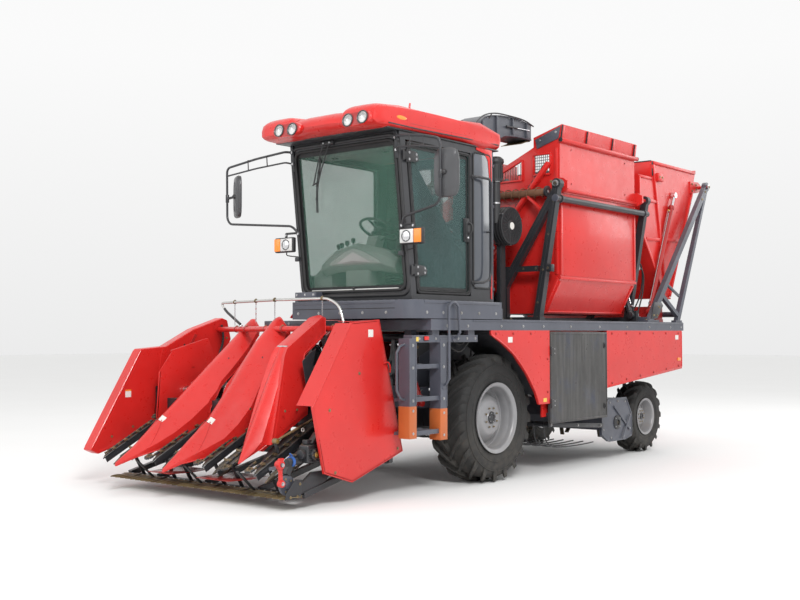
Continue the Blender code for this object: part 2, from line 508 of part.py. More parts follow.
for i in range(12):
    y = -0.935 + i * 0.17
    turn = math.radians(60 * (i % 3) + 15)
    way = Vector((math.cos(turn), 0, math.sin(turn))) * 0.195
    at = Vector((ax, y, az))
    join(rotor, beam(at - way, at + way, 0.05, 0.012))
piece("chopper_rotor", rotor, "worn_iron", (ax, 0, az))

# ---------------------------------------------------------------- main bin, its stand and its ram
hy, hz = BIN_HINGE
stand = None
foot = DECK_Z + GAP
root = foot + 0.012  # posts start inside their sills
for x in ((-1.06, -0.98), (-3.06, -2.99)):
    post = plate([(0.845, root), (0.925, root), (1.175, 3.07), (1.10, 3.07)], "YZ", *x)
    join(post, rod((x[0] + 0.002, hy, hz), (x[1] - 0.002, hy, hz), 0.055, 16))
    stand = post if stand is None else join(stand, post)
join(stand, plate([(0.17, root), (0.28, root), (1.115, 2.90), (1.075, 2.98)], "YZ", -1.055, -0.985),
     block((-1.05, -0.99), (0.49, 0.90), (2.13, 2.19)), block((-1.048, -0.992), (0.45, 0.51), (root, 2.17)),
     block((-1.07, -0.97), (0.15, 0.94), (foot, 1.64)), block((-3.07, -2.975), (0.25, 0.94), (foot, 1.64)),
     plate([(0.30, root), (0.38, root), (0.97, 2.46), (0.94, 2.54)], "YZ", -3.055, -2.995),
     rod((-0.972, 1.135, 2.895), (-3.072, 1.135, 2.895), 0.035, 14),
     block((-3.02, -2.973), (0.88, 1.035), (root, 1.735)),
     block((-3.03, -1.02), (0.30, 0.38), (foot + 0.003, 1.630)), block((-3.03, -1.02), (0.62, 0.70), (foot + 0.003, 1.630)))
cut(stand, rod((-0.9, hy, hz), (-3.2, hy, hz), 0.024, 14), rod((-3.10, *BIN_RAM["base"]), (-2.95, *BIN_RAM["base"]), 0.0190, 12))
piece("bin_stand", stand, "dark_paint")

OUTER = [(0.88, 1.68), (1.08, 2.06), (1.08, 3.53), (1.11, 3.71), (0.75, 3.60), (-0.42, 3.30), (-0.42, 2.45), (0.08, 1.68)]
INNER = [(0.868, 1.70), (1.06, 2.065), (1.06, 3.53), (1.088, 3.80), (-0.40, 3.80), (-0.40, 2.457), (0.092, 1.70)]
main_bin = cut(plate(OUTER, "YZ", *BIN_X), plate(INNER, "YZ", BIN_X[0] + 0.02, BIN_X[1] - 0.02),
               plate([(0.75, 3.495), (0.70, 3.47), (0.26, 3.27), (-0.50, 3.20), (-0.50, 3.90), (0.75, 3.90)], "YZ", -1.20, -1.10),
               plate([(0.31, 3.15), (0.60, 3.15), (0.60, 3.36), (0.31, 3.23)], "YZ", -1.20, -1.10),
               plate([(0.76, 3.19), (0.96, 3.19), (0.96, 3.40), (0.76, 3.40)], "YZ", -1.20, -1.10))
# rims and ribs on the left wall: Y, Z
for y, z in (((1.07, 1.110), (3.520, 3.560)), ((1.07, 1.100), (2.975, 3.025)), ((1.07, 1.092), (2.045, 2.075))):
    join(main_bin, block((BIN_X[0] - 0.01, BIN_X[1] + 0.01), y, z))
for x, far in ((BIN_X[1], -0.97), (BIN_X[0], -3.07)):
    out = 1 if far > x else -1
    join(main_bin, plate([(0.95, 2.97), (1.12, 2.97), (1.185, 3.01), (1.185, 3.09), (1.12, 3.13), (0.95, 3.13)], "YZ", *sorted((x - out * 0.01, x + out * 0.022))),
         rod((x, hy, hz), (far, hy, hz), 0.020, 12))
join(main_bin, rod((BIN_X[0] + 0.01, *BIN_RAM["eye"]), (BIN_X[0] - 0.035, *BIN_RAM["eye"]), 0.050, 12))
piece("main_bin", main_bin, "red_paint", (BIN_X[1], *BIN_HINGE))

# ---------------------------------------------------------------- rear bin and its stand
rhx, rhz = REAR_BIN_HINGE
rear_stand = None
for sign in (1, -1):
    y = sorted((sign * 1.08, sign * 1.14))
    near, far = (sign * 1.082, sign * 1.138)
    side = plate([(-3.106, root), (-3.212, root), (-4.8295, 3.373), (-4.7705, 3.427)], "XZ", *y)
    join(side, plate([(-3.868, root), (-3.944, root), (-4.812, 3.350), (-4.770, 3.372)], "XZ", *sorted((near, far))),
         rod((rhx, sign * 1.084, rhz), (rhx, sign * 1.136, rhz), 0.062, 16), rod((-3.30, near, 1.72), (-3.30, far, 1.72), 0.062, 14),
         beam((-3.50, sign * 1.11, 1.92), (-3.93, sign * 1.11, 1.68), 0.05, 0.05),
         block((-3.36, -3.06), (sign * 1.078, sign * 1.142), (foot, 1.625)), block((-3.99, -3.82), (sign * 1.078, sign * 1.142), (foot, 1.625)))
    rear_stand = side if rear_stand is None else join(rear_stand, side)
join(rear_stand, rod((-3.955, -1.11, 1.70), (-3.955, 1.11, 1.70), 0.035, 12), block((-3.20, -3.12), (-1.10, 1.10), (foot + 0.003, 1.66)))
cut(rear_stand, rod((rhx, -1.3, rhz), (rhx, 1.3, rhz), 0.026, 14), rod((-3.30, -1.3, 1.72), (-3.30, -1.05, 1.72), 0.0190, 12),
    rod((-3.30, 1.05, 1.72), (-3.30, 1.3, 1.72), 0.0190, 12))
piece("rear_bin_stand", rear_stand, "grey_paint")
saddle = join(block((-3.86, -3.30), (-0.95, 0.95), (foot, 1.64)), plate([(-3.60, 1.62), (-3.84, 1.62), (-3.84, 1.80), (-3.72, 1.80)], "XZ", -0.95, 0.95))
piece("rear_bin_saddle", saddle, "red_paint")

R_OUT = [(-3.12, 3.40), (-3.12, 2.75), (-3.80, 1.90), (-3.92, 1.90), (-4.66, 3.40), (-4.74, 3.61), (-3.49, 3.61), (-3.49, 3.40)]
R_IN = [(-3.14, 3.90), (-3.14, 2.757), (-3.81, 1.92), (-3.907, 1.92), (-4.64, 3.405), (-4.72, 3.615), (-4.72, 3.90)]
rear_bin = cut(plate(R_OUT, "XZ", -REAR_BIN_Y, REAR_BIN_Y), plate(R_IN, "XZ", -REAR_BIN_Y + 0.02, REAR_BIN_Y - 0.02))
for sign in (1, -1):
    join(rear_bin, plate([(-4.55, 3.30), (-4.78, 3.33), (-4.86, 3.36), (-4.86, 3.44), (-4.78, 3.47), (-4.55, 3.46)], "XZ", *sorted((sign * 0.985, sign * 1.018))),
         rod((rhx, sign * 1.00, rhz), (rhx, sign * 1.15, rhz), 0.022, 12),
         rod((*[-4.01], sign * 0.985, 3.22), (*[-4.01], sign * 1.005, 3.22), 0.050, 12))
piece("rear_bin", rear_bin, "red_paint", (rhx, 0, rhz))


# ---------------------------------------------------------------- hydraulic cylinders
def ram(size, plane, pin_side):
    """Barrel and rod of a cylinder in the XZ or YZ plane, bored for its rod, with its base pin out to pin_side."""
    across = Vector((0, 1, 0)) if plane == "XZ" else Vector((1, 0, 0))
    at = across * size["at"]

    def point(u, z):
        return at + (Vector((u, 0, z)) if plane == "XZ" else Vector((0, u, z)))

    base, eye = point(*size["base"]), point(*size["eye"])
    way = (eye - base).normalized()
    half = across * 0.027
    barrel = join(rod(base, base + way * size["long"], size["barrel"], 14), rod(base - half, base + half, 0.040, 14),
                  rod(base, base + across * pin_side * 0.075, 0.0165, 10))
    cut(barrel, rod(base + way * 0.06, base + way * (size["long"] + 0.05), size["bore"], 12))
    stem = join(rod(base + way * size["start"], eye, size["rod"], 12), rod(eye - half, eye + half, 0.036, 14))
    return barrel, stem, base


# cylinder: name, size, plane, side its base pin points to
for name, size, plane, pin_side, paint in (("header_lift_left", LIFT_LEFT, "XZ", -1, "red_paint"), ("header_lift_right", LIFT_RIGHT, "XZ", 1, "red_paint"),
                                           ("main_bin_ram", BIN_RAM, "YZ", -1, "dark_paint")):
    barrel, stem, base = ram(size, plane, pin_side)
    piece(name + "_barrel", barrel, paint, base)
    piece(name + "_rod", stem, "steel", base)
for side, sign in (("left", 1), ("right", -1)):
    barrel, stem, base = ram({**REAR_RAM, "at": sign * REAR_RAM["at"]}, "XZ", sign)
    piece(f"rear_bin_ram_{side}_barrel", barrel, "red_paint", base)
    piece(f"rear_bin_ram_{side}_rod", stem, "steel", base)

# ---------------------------------------------------------------- header
hx, hzz = HEADER_HINGE
pivot = (hx, 0, hzz)
y0, y1 = HEADER_Y
frame_parts = [rod((hx, -0.57, hzz), (hx, 0.57, hzz), 0.040, 14), block((1.36, 1.48), (y0, y1), (0.93, 1.07)), block((1.36, 1.44), (y0, y1), (0.30, 0.40)),
               cut(block((1.46, 1.93), (y0, y1), (0.64, 0.935)), block((1.45, 1.95), (y0 + 0.015, y1 - 0.015), (0.82, 1.05)),
                   rod((AUGER[0], y0 + 0.015, AUGER[1]), (AUGER[0], y1 - 0.015, AUGER[1]), 0.180, 20),
                   rod((AUGER[0], y0 - 0.1, AUGER[1]), (AUGER[0], y1 + 0.1, AUGER[1]), 0.034, 12))]
for y in (-1.79, -1.16, -0.47, 0.22, 0.81):
    frame_parts.append(block((1.37, 1.43), (y - 0.03, y + 0.03), (0.36, 0.97)))
# posts that carry the dividers: Y, top
for y, top in ((DIVIDERS[0], 1.215), (DIVIDERS[1], 1.395), (DIVIDERS[2], 1.445)):
    lean = 0.19 if y == DIVIDERS[2] else 0.03 if y == DIVIDERS[1] else -0.02
    frame_parts.append(beam((1.42, y, 1.04), (1.42 + lean, y, top), 0.06, 0.03))
for y in (-1.60, -1.16, -0.47, 0.22, 0.735):
    frame_parts.append(beam((1.40, y, 0.345), (2.40, y, 0.118), 0.05, 0.05))
frame_parts += [beam((hx, 0.53, hzz), (1.42, 0.53, 0.99), 0.06, 0.13), beam((hx, -0.53, hzz), (1.42, -0.53, 0.99), 0.06, 0.13),
                plate([(0.83, 1.18), (1.06, 1.10), (1.00, 1.405), (0.905, 1.405)], "XZ", 0.535, 0.573),
                plate([(0.83, 1.18), (1.06, 1.10), (1.00, 1.405), (0.905, 1.405)], "XZ", -0.535, -0.495),
                block((1.38, 1.46), (0.80, 0.865 - GAP), (0.95, 1.05)), block((1.38, 1.43), (0.80, 0.865 - GAP), (0.31, 0.39)),
                block((1.38, 1.46), (-1.83 + GAP, -1.79), (0.95, 1.05)),
                plate([(2.05, 0.30), (2.30, 0.30), (2.50, 0.16), (2.50, 0.135), (2.20, 0.135)], "XZ", 0.72, 0.75)]
piece("header_frame", join(*frame_parts), "dark_paint", pivot)

fingers = [block((1.93 + GAP, 2.00), (y0 + 0.001, y1 - 0.001), (0.64, 0.725))]
for y in ((y0, -1.62), (-1.41, -0.91), (-0.72, -0.22), (-0.03, 0.47), (0.66, y1)):
    fingers.append(plate([(1.99, 0.728), (2.80, 0.260), (2.80, 0.205), (1.99, 0.664)], "XZ", *y))
piece("row_units", join(*fingers), "worn_iron", pivot)

# inner row dividers: X, half width, bottom, shoulder and top heights, half width of the ridge
SNOUT_RIGHT = [(2.890, 0.012, 0.262, 0.278, 0.295, 0.006), (2.356, 0.150, 0.530, 0.600, 0.690, 0.035), (1.980, 0.178, 0.745, 0.850, 0.994, 0.045),
               (1.950, 0.178, 0.845, 0.900, 1.018, 0.045), (1.860, 0.176, 0.905, 0.965, 1.089, 0.045), (1.800, 0.174, 1.000, 1.035, 1.137, 0.045),
               (1.660, 0.170, 1.060, 1.120, 1.248, 0.045), (1.519, 0.160, 1.145, 1.230, 1.360, 0.045), (1.375, 0.140, 1.286, 1.350, 1.484, 0.040),
               (1.270, 0.115, 1.400, 1.460, 1.574, 0.035), (1.191, 0.100, 1.460, 1.530, 1.641, 0.030)]
SNOUT_MIDDLE = [(DIVIDER_REACH, 0.012, 0.262, 0.277, 0.293, 0.006), (2.570, 0.095, 0.420, 0.470, 0.545, 0.030), (2.366, 0.165, 0.530, 0.600, 0.697, 0.040),
                (2.065, 0.225, 0.700, 0.860, 1.035, 0.050), (1.980, 0.235, 0.750, 0.985, 1.142, 0.050), (1.950, 0.235, 0.845, 1.010, 1.180, 0.050),
                (1.860, 0.228, 0.960, 1.100, 1.290, 0.050), (1.773, 0.210, 1.070, 1.210, 1.398, 0.045), (1.600, 0.150, 1.250, 1.380, 1.560, 0.040),
                (1.515, 0.140, 1.360, 1.500, 1.639, 0.035), (1.460, 0.120, 1.400, 1.500, 1.600, 0.030)]
# left hood: X, Z and half width along its sides, then X and Z along its crown
HOOD = [(2.430, 0.515, 0.170, 2.440, 0.515), (2.164, 1.320, 0.080, 2.140, 1.348), (1.700, 1.610, 0.080, 1.650, 1.638), (1.665, 1.600, 0.080, 1.602, 1.622),
        (1.665, 1.468, 0.080, 1.602, 1.466), (1.965, 1.277, 0.100, 1.900, 1.272), (1.955, 0.900, 0.150, 1.950, 0.900), (1.955, 0.860, 0.150, 1.950, 0.860),
        (1.975, 0.748, 0.160, 1.975, 0.748)]
# cover in front of the hood: ridge X, Z and half width, then rear edge X, Z and half width
COVER = [(2.652, 0.362, 0.006, 2.600, 0.388, 0.020), (2.550, 0.555, 0.020, 2.400, 0.530, 0.110),
         (2.352, 0.940, 0.020, 2.240, 0.930, 0.095), (2.142, 1.346, 0.020, 2.090, 1.300, 0.060)]
dividers = tube([(1.09, -1.812, 1.51), (1.36, -1.16, 1.51), (1.60, -0.47, 1.51), (1.60, 0.50, 1.51)], 0.028)
for y, table in ((DIVIDERS[0], SNOUT_RIGHT), (DIVIDERS[1], SNOUT_MIDDLE)):
    join(dividers, loft([[(x, y + w, b), (x, y + w, s), (x, y + r, t), (x, y - r, t), (x, y - w, s), (x, y - w, b)] for x, w, b, s, t, r in table]))
y = DIVIDERS[2]
hood = [[(x, y + side * w, z) for x, z, w, _, _ in HOOD] for side in (-1, 1)]
crown = [[(x, y + side * 0.03, z) for _, _, _, x, z in HOOD] for side in (-1, 1)]
join(dividers, loft([hood[0], crown[0], crown[1], hood[1]]),
     loft([[(x, y + r, z), (x, y - r, z), (u, y - w, v), (u, y + w, v)] for x, z, r, u, v, w in COVER]))
piece("row_dividers", dividers, "red_paint", pivot)

wing = [(2.70, 0.345), (2.107, 1.314), (1.793, 1.338), (1.429, 1.514), (1.034, 1.637), (0.957, 1.612), (0.905, 1.408), (1.28, 0.62), (1.91, 0.50), (2.045, 0.456), (2.60, 0.300)]
piece("end_divider_right", plate(wing, "XZ", -1.95, -1.83), "red_paint", pivot)
shield = join(plate([(1.594, 1.590), (1.964, 1.561), (2.437, 0.861), (2.365, 0.559), (2.299, 0.297), (1.951, 0.190), (1.269, 0.402)], "XZ", 0.865, 0.892),
              plate([(1.60, 1.585), (1.955, 1.555), (2.430, 0.865), (2.335, 0.865), (1.90, 1.47), (1.61, 1.50)], "XZ", 0.69, 0.87))
piece("end_shield_left", shield, "red_paint", pivot)

knife = block((2.42, 2.53), (-1.614, 0.758), (0.098, 0.128))
for i in range(20):
    y = -1.56 + i * 0.119
    join(knife, plate([(2.50, y - 0.020), (2.50, y + 0.020), (2.65, y + 0.005), (2.65, y - 0.005)], "XY", 0.105, 0.121))
piece("cutter_bar", knife, "worn_iron", pivot)
piece("guard_rail", tube([(1.362, -1.18, 1.562), (1.345, -1.42, 1.70), (1.34, -1.50, 1.785), (1.58, -0.45, 1.79), (1.60, 0.28, 1.79), (1.60, 0.42, 1.72), (1.60, 0.47, 1.556)], 0.014), "silver_paint", pivot)

auger = join(rod((AUGER[0], y0 + 0.03, AUGER[1]), (AUGER[0], y1 - 0.03, AUGER[1]), 0.055, 12), rod((AUGER[0], y0 - 0.005, AUGER[1]), (AUGER[0], y1 + 0.005, AUGER[1]), 0.028, 10))
for i in range(10):
    y = -1.66 + i * 0.26
    lean = Vector((0.22, 1, 0)).normalized() * 0.006
    at = Vector((AUGER[0], y, AUGER[1]))
    join(auger, rod(at - lean, at + lean, 0.150, 14))
piece("header_auger", auger, "steel", (AUGER[0], 0, AUGER[1]))
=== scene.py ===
import math

import bmesh
import bpy
from mathutils import Matrix, Vector


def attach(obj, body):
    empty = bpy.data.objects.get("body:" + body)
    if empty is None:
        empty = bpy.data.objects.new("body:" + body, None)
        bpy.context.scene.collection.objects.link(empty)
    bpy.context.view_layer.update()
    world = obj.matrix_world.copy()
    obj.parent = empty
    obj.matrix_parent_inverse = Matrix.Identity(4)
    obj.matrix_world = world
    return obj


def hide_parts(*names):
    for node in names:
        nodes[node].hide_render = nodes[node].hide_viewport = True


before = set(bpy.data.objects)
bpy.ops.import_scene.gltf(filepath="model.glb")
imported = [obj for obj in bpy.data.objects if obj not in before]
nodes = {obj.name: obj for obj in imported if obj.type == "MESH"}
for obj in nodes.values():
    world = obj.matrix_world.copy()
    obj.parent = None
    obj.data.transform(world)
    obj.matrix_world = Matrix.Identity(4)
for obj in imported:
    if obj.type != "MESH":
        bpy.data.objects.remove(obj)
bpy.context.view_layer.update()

# the harvester's own frame: X forward from the front axle, Y left from the centreline, Z up
SHIFT = Vector((0.981, 0.146, 0.0))


def row(p):
    """A point of the harvester's own frame, in the row frame."""
    return Vector(p) + SHIFT


# ================================================================ camera, light and floor
camera_data = bpy.data.cameras.new("camera")
camera_data.sensor_width = 36.0
camera_data.lens = 49.24
camera_data.clip_end = 200.0
camera = bpy.data.objects.new("camera", camera_data)
bpy.context.scene.collection.objects.link(camera)
yaw, pitch, roll = math.radians(39.52), math.radians(1.731), math.radians(-0.07)
look = Vector((-math.cos(yaw) * math.cos(pitch), -math.sin(yaw) * math.cos(pitch), math.sin(pitch)))
camera.matrix_world = Matrix.Translation((9.9345, 7.3444, 1.4693)) @ look.to_track_quat("-Z", "Y").to_matrix().to_4x4() @ Matrix.Rotation(roll, 4, "Z")
bpy.context.scene.camera = camera

world = bpy.data.worlds.new("studio")
world.use_nodes = True
bpy.context.scene.world = world
bpy.context.scene.view_settings.view_transform = "Standard"
bpy.context.scene.view_settings.look = "None"
sky = world.node_tree
back = sky.nodes["Background"]
ramp = sky.nodes.new("ShaderNodeValToRGB")
ramp.color_ramp.elements[0].position = 0.42
ramp.color_ramp.elements[0].color = (0.80, 0.80, 0.80, 1)
ramp.color_ramp.elements[1].position = 0.62
ramp.color_ramp.elements[1].color = (1.0, 1.0, 1.0, 1)
split = sky.nodes.new("ShaderNodeSeparateXYZ")
where = sky.nodes.new("ShaderNodeTexCoord")
lift = sky.nodes.new("ShaderNodeMapRange")
lift.inputs["From Min"].default_value = -1.0
lift.inputs["From Max"].default_value = 1.0
sky.links.new(where.outputs["Generated"], split.inputs[0])
sky.links.new(split.outputs["Z"], lift.inputs["Value"])
sky.links.new(lift.outputs["Result"], ramp.inputs["Fac"])
sky.links.new(ramp.outputs["Color"], back.inputs["Color"])
back.inputs["Strength"].default_value = 0.96

# light: name, place, target, width, height, watts
for name, at, to, wide, tall, watts in (("key", (9.0, 9.5, 9.0), (0, 0.5, 1.3), 3.4, 2.8, 1150.0),
                                        ("fill", (11.0, -5.0, 5.5), (0, -0.5, 1.5), 7.0, 5.0, 120.0),
                                        ("top", (-3.0, 1.0, 11.0), (-1.0, 0.3, 1.5), 9.0, 7.0, 240.0),
                                        ("rear", (-11.0, 5.0, 6.0), (-2.0, 0.0, 1.5), 6.0, 5.0, 160.0)):
    lamp = bpy.data.lights.new(name, "AREA")
    lamp.shape = "RECTANGLE"
    lamp.size, lamp.size_y, lamp.energy = wide, tall, watts
    lamp_object = bpy.data.objects.new(name, lamp)
    bpy.context.scene.collection.objects.link(lamp_object)
    lamp_object.location = at
    lamp_object.rotation_euler = (Vector(to) - Vector(at)).to_track_quat("-Z", "Y").to_euler()


# ================================================================ materials
def node_material(name):
    material = bpy.data.materials.new(name)
    material.use_nodes = True
    tree = material.node_tree
    return material, tree, tree.nodes["Principled BSDF"]


def link(tree, a, b):
    tree.links.new(a, b)


def noise(tree, vector, scale, detail=3.0, rough=0.55, stretch=None):
    if stretch is not None:
        mapping = tree.nodes.new("ShaderNodeMapping")
        mapping.inputs["Scale"].default_value = stretch
        link(tree, vector, mapping.inputs["Vector"])
        vector = mapping.outputs["Vector"]
    texture = tree.nodes.new("ShaderNodeTexNoise")
    texture.inputs["Scale"].default_value = scale
    texture.inputs["Detail"].default_value = detail
    texture.inputs["Roughness"].default_value = rough
    link(tree, vector, texture.inputs["Vector"])
    return texture.outputs["Fac"]


def ranged(tree, value, a, b, to_a=0.0, to_b=1.0):
    box = tree.nodes.new("ShaderNodeMapRange")
    box.inputs["From Min"].default_value = a
    box.inputs["From Max"].default_value = b
    box.inputs["To Min"].default_value = to_a
    box.inputs["To Max"].default_value = to_b
    link(tree, value, box.inputs["Value"])
    return box.outputs["Result"]


def maths(tree, operation, a, b):
    box = tree.nodes.new("ShaderNodeMath")
    box.operation = operation
    for socket, value in zip(box.inputs, (a, b)):
        if isinstance(value, (int, float)):
            socket.default_value = value
        else:
            link(tree, value, socket)
    return box.outputs[0]


def mixed(tree, factor, a, b, blend="MIX"):
    box = tree.nodes.new("ShaderNodeMix")
    box.data_type = "RGBA"
    box.blend_type = blend
    for socket, value in ((box.inputs[0], factor), (box.inputs[6], a), (box.inputs[7], b)):
        if isinstance(value, (int, float)):
            socket.default_value = value
        elif isinstance(value, tuple):
            socket.default_value = (*value, 1.0) if len(value) == 3 else value
        else:
            link(tree, value, socket)
    return box.outputs[2]


def edges(tree, radius):
    """0 on flat faces, 1 on outer and inner edges."""
    bevel = tree.nodes.new("ShaderNodeBevel")
    bevel.samples = 4
    bevel.inputs["Radius"].default_value = radius
    geometry = tree.nodes.new("ShaderNodeNewGeometry")
    dot = tree.nodes.new("ShaderNodeVectorMath")
    dot.operation = "DOT_PRODUCT"
    link(tree, bevel.outputs["Normal"], dot.inputs[0])
    link(tree, geometry.outputs["Normal"], dot.inputs[1])
    return ranged(tree, dot.outputs["Value"], 0.995, 0.86)


def finish(name, colour, rough, metallic=0.0, second=None, vary=0.10, vary_scale=1.6, dust=0.12, dust_colour=(0.36, 0.31, 0.25),
           wear=0.35, wear_colour=(0.30, 0.28, 0.26), wear_radius=0.006, grain=220.0, grain_depth=0.0004, wave=0.0, coat=0.0,
           rough_vary=0.12, streak=None, alpha=None, low_dirt=0.0, sheen=0.0):
    """A surface with colour drift, dust on what faces up, worn edges, grain and a slow ripple."""
    material, tree, shader = node_material(name)
    coords = tree.nodes.new("ShaderNodeTexCoord").outputs["Object"]
    slow = noise(tree, coords, vary_scale, 4.0)
    fine = noise(tree, coords, 14.0, 5.0, 0.65)
    dark = tuple(c * (1.0 - 1.6 * vary) for c in colour)
    light = tuple(min(1.0, c * (1.0 + vary) + 0.02 * vary) for c in colour)
    tone = mixed(tree, ranged(tree, slow, 0.36, 0.66), dark, light)
    if second is not None:
        tone = mixed(tree, ranged(tree, noise(tree, coords, 3.1, 6.0, 0.7), 0.52, 0.68), tone, second)
    if streak is not None:
        runs = noise(tree, coords, 1.0, 5.0, 0.6, stretch=(26.0, 26.0, 1.3))
        tone = mixed(tree, ranged(tree, runs, 0.46, 0.70), tone, streak)
    geometry = tree.nodes.new("ShaderNodeNewGeometry")
    parts = tree.nodes.new("ShaderNodeSeparateXYZ")
    link(tree, geometry.outputs["Normal"], parts.inputs[0])
    up = ranged(tree, parts.outputs["Z"], 0.35, 1.0, 0.0, dust)
    film = maths(tree, "MULTIPLY", up, ranged(tree, fine, 0.30, 0.72))
    tone = mixed(tree, film, tone, dust_colour)
    if low_dirt > 0.0:
        place = tree.nodes.new("ShaderNodeSeparateXYZ")
        link(tree, coords, place.inputs[0])
        low = ranged(tree, place.outputs["Z"], 0.75, 0.05, 0.0, low_dirt)
        tone = mixed(tree, maths(tree, "MULTIPLY", low, ranged(tree, fine, 0.35, 0.65)), tone, dust_colour)
    if wear > 0.0:
        rim = edges(tree, wear_radius)
        chips = maths(tree, "MULTIPLY", rim, ranged(tree, noise(tree, coords, 38.0, 4.0, 0.7), 0.42, 0.66, 0.0, wear))
        tone = mixed(tree, chips, tone, wear_colour)
    link(tree, tone, shader.inputs["Base Color"])
    link(tree, ranged(tree, fine, 0.30, 0.70, max(0.03, rough - rough_vary / 2), min(1.0, rough + rough_vary)), shader.inputs["Roughness"])
    shader.inputs["Metallic"].default_value = metallic
    if coat > 0.0:
        shader.inputs["Coat Weight"].default_value = coat
        shader.inputs["Coat Roughness"].default_value = 0.08
    if sheen > 0.0:
        shader.inputs["Sheen Weight"].default_value = sheen
        shader.inputs["Sheen Roughness"].default_value = 0.4
    if alpha is not None:
        shader.inputs["Alpha"].default_value = alpha
    bump = tree.nodes.new("ShaderNodeBump")
    bump.inputs["Strength"].default_value = 1.0
    bump.inputs["Distance"].default_value = grain_depth
    link(tree, noise(tree, coords, grain, 2.0), bump.inputs["Height"])
    normal = bump.outputs["Normal"]
    if wave > 0.0:
        ripple = tree.nodes.new("ShaderNodeBump")
        ripple.inputs["Strength"].default_value = 1.0
        ripple.inputs["Distance"].default_value = wave
        link(tree, noise(tree, coords, 2.6, 2.0), ripple.inputs["Height"])
        link(tree, normal, ripple.inputs["Normal"])
        normal = ripple.outputs["Normal"]
    link(tree, normal, shader.inputs["Normal"])
    return material


RED = finish("red_enamel", (0.60, 0.019, 0.016), 0.30, coat=0.18, wave=0.008, vary=0.05, dust=0.05, wear=0.13, wear_colour=(0.42, 0.07, 0.05), grain_depth=0.00012)
# darker copy of the red enamel for parts that sit in shade: painted shade
RED_PAINTED_SHADE = finish("red_enamel_shaded", (0.36, 0.013, 0.011), 0.30, coat=0.25, wave=0.010, vary=0.08, dust=0.16, wear=0.35, wear_colour=(0.30, 0.05, 0.04), grain_depth=0.00012)
GREY = finish("slate_enamel", (0.070, 0.076, 0.098), 0.36, coat=0.15, wave=0.006, vary=0.10, dust=0.22, wear=0.45, wear_colour=(0.30, 0.30, 0.32), grain_depth=0.00015)
DARK = finish("black_enamel", (0.022, 0.023, 0.027), 0.38, coat=0.12, vary=0.14, dust=0.24, wear=0.40, wear_colour=(0.20, 0.19, 0.18), grain_depth=0.0002)
DOOR = finish("door_sheet", (0.036, 0.035, 0.034), 0.33, second=(0.030, 0.036, 0.060), streak=(0.075, 0.072, 0.070), wave=0.014, vary=0.12, dust=0.10, wear=0.5,
              wear_colour=(0.30, 0.28, 0.25), grain_depth=0.00015)
RIM = finish("wheel_silver", (0.28, 0.28, 0.29), 0.34, metallic=0.25, vary=0.06, dust=0.12, wear=0.25, wear_colour=(0.22, 0.20, 0.18), low_dirt=0.30, grain_depth=0.0002)
STEEL = finish("ground_steel", (0.56, 0.56, 0.57), 0.26, metallic=1.0, vary=0.05, dust=0.08, wear=0.2, wear_colour=(0.35, 0.33, 0.30), grain_depth=0.0001)
CHROME = finish("polished_rod", (0.78, 0.78, 0.80), 0.10, metallic=1.0, vary=0.03, dust=0.04, wear=0.0, grain_depth=0.00005, rough_vary=0.05)
RAIL = finish("rail_tube", (0.60, 0.60, 0.58), 0.28, metallic=0.85, vary=0.06, dust=0.12, wear=0.25, wear_colour=(0.25, 0.22, 0.18), grain_depth=0.0001)
IRON = finish("bare_iron", (0.095, 0.078, 0.058), 0.55, metallic=0.55, second=(0.20, 0.14, 0.075), vary=0.22, dust=0.25, wear=0.5, wear_colour=(0.42, 0.38, 0.30), grain=120.0, grain_depth=0.0008)
GOLD = finish("zinc_yellow", (0.30, 0.225, 0.115), 0.45, metallic=0.70, second=(0.11, 0.080, 0.045), vary=0.18, dust=0.15, wear=0.4, wear_colour=(0.60, 0.55, 0.42), grain_depth=0.0003)
KNIFE = finish("knife_brown", (0.22, 0.16, 0.085), 0.48, metallic=0.65, second=(0.06, 0.045, 0.03), vary=0.25, dust=0.20, wear=0.6, wear_colour=(0.62, 0.55, 0.40), grain=150.0, grain_depth=0.0005)
RUST = finish("rusted_exhaust", (0.16, 0.075, 0.040), 0.72, metallic=0.25, second=(0.07, 0.035, 0.022), vary=0.28, dust=0.2, wear=0.4, wear_colour=(0.30, 0.16, 0.09), grain=90.0, grain_depth=0.0012)
RUBBER = finish("tyre_rubber", (0.015, 0.015, 0.015), 0.74, second=(0.026, 0.025, 0.023), vary=0.20, dust=0.25, dust_colour=(0.12, 0.105, 0.088), wear=0.35, wear_colour=(0.075, 0.070, 0.062),
                wear_radius=0.010, grain=160.0, grain_depth=0.0008, low_dirt=0.45)
HOSE = finish("hose_rubber", (0.016, 0.016, 0.017), 0.48, vary=0.15, dust=0.25, wear=0.2, wear_colour=(0.07, 0.07, 0.07), grain=320.0, grain_depth=0.0003)
PLASTIC = finish("black_plastic", (0.020, 0.020, 0.022), 0.46, vary=0.14, dust=0.20, wear=0.3, wear_colour=(0.10, 0.10, 0.10), grain=420.0, grain_depth=0.0004)
SHELL = finish("mirror_shell", (0.055, 0.056, 0.060), 0.36, coat=0.1, vary=0.10, dust=0.16, wear=0.3, wear_colour=(0.16, 0.16, 0.16), grain=420.0, grain_depth=0.0003)
ORANGE = finish("orange_reflector", (0.46, 0.115, 0.028), 0.36, vary=0.10, dust=0.14, wear=0.4, wear_colour=(0.30, 0.11, 0.05), grain_depth=0.0003)
AMBER = finish("amber_lens", (0.90, 0.25, 0.02), 0.14, coat=0.6, vary=0.08, dust=0.05, wear=0.0, grain=150.0, grain_depth=0.0006)
ZINC = finish("zinc_grey", (0.42, 0.42, 0.42), 0.36, metallic=0.8, second=(0.22, 0.20, 0.17), vary=0.14, dust=0.14, wear=0.3, wear_colour=(0.50, 0.48, 0.44), grain_depth=0.0003)
LENS = finish("clear_lens", (0.62, 0.62, 0.61), 0.10, coat=0.8, vary=0.04, dust=0.05, wear=0.0, grain=130.0, grain_depth=0.0009)
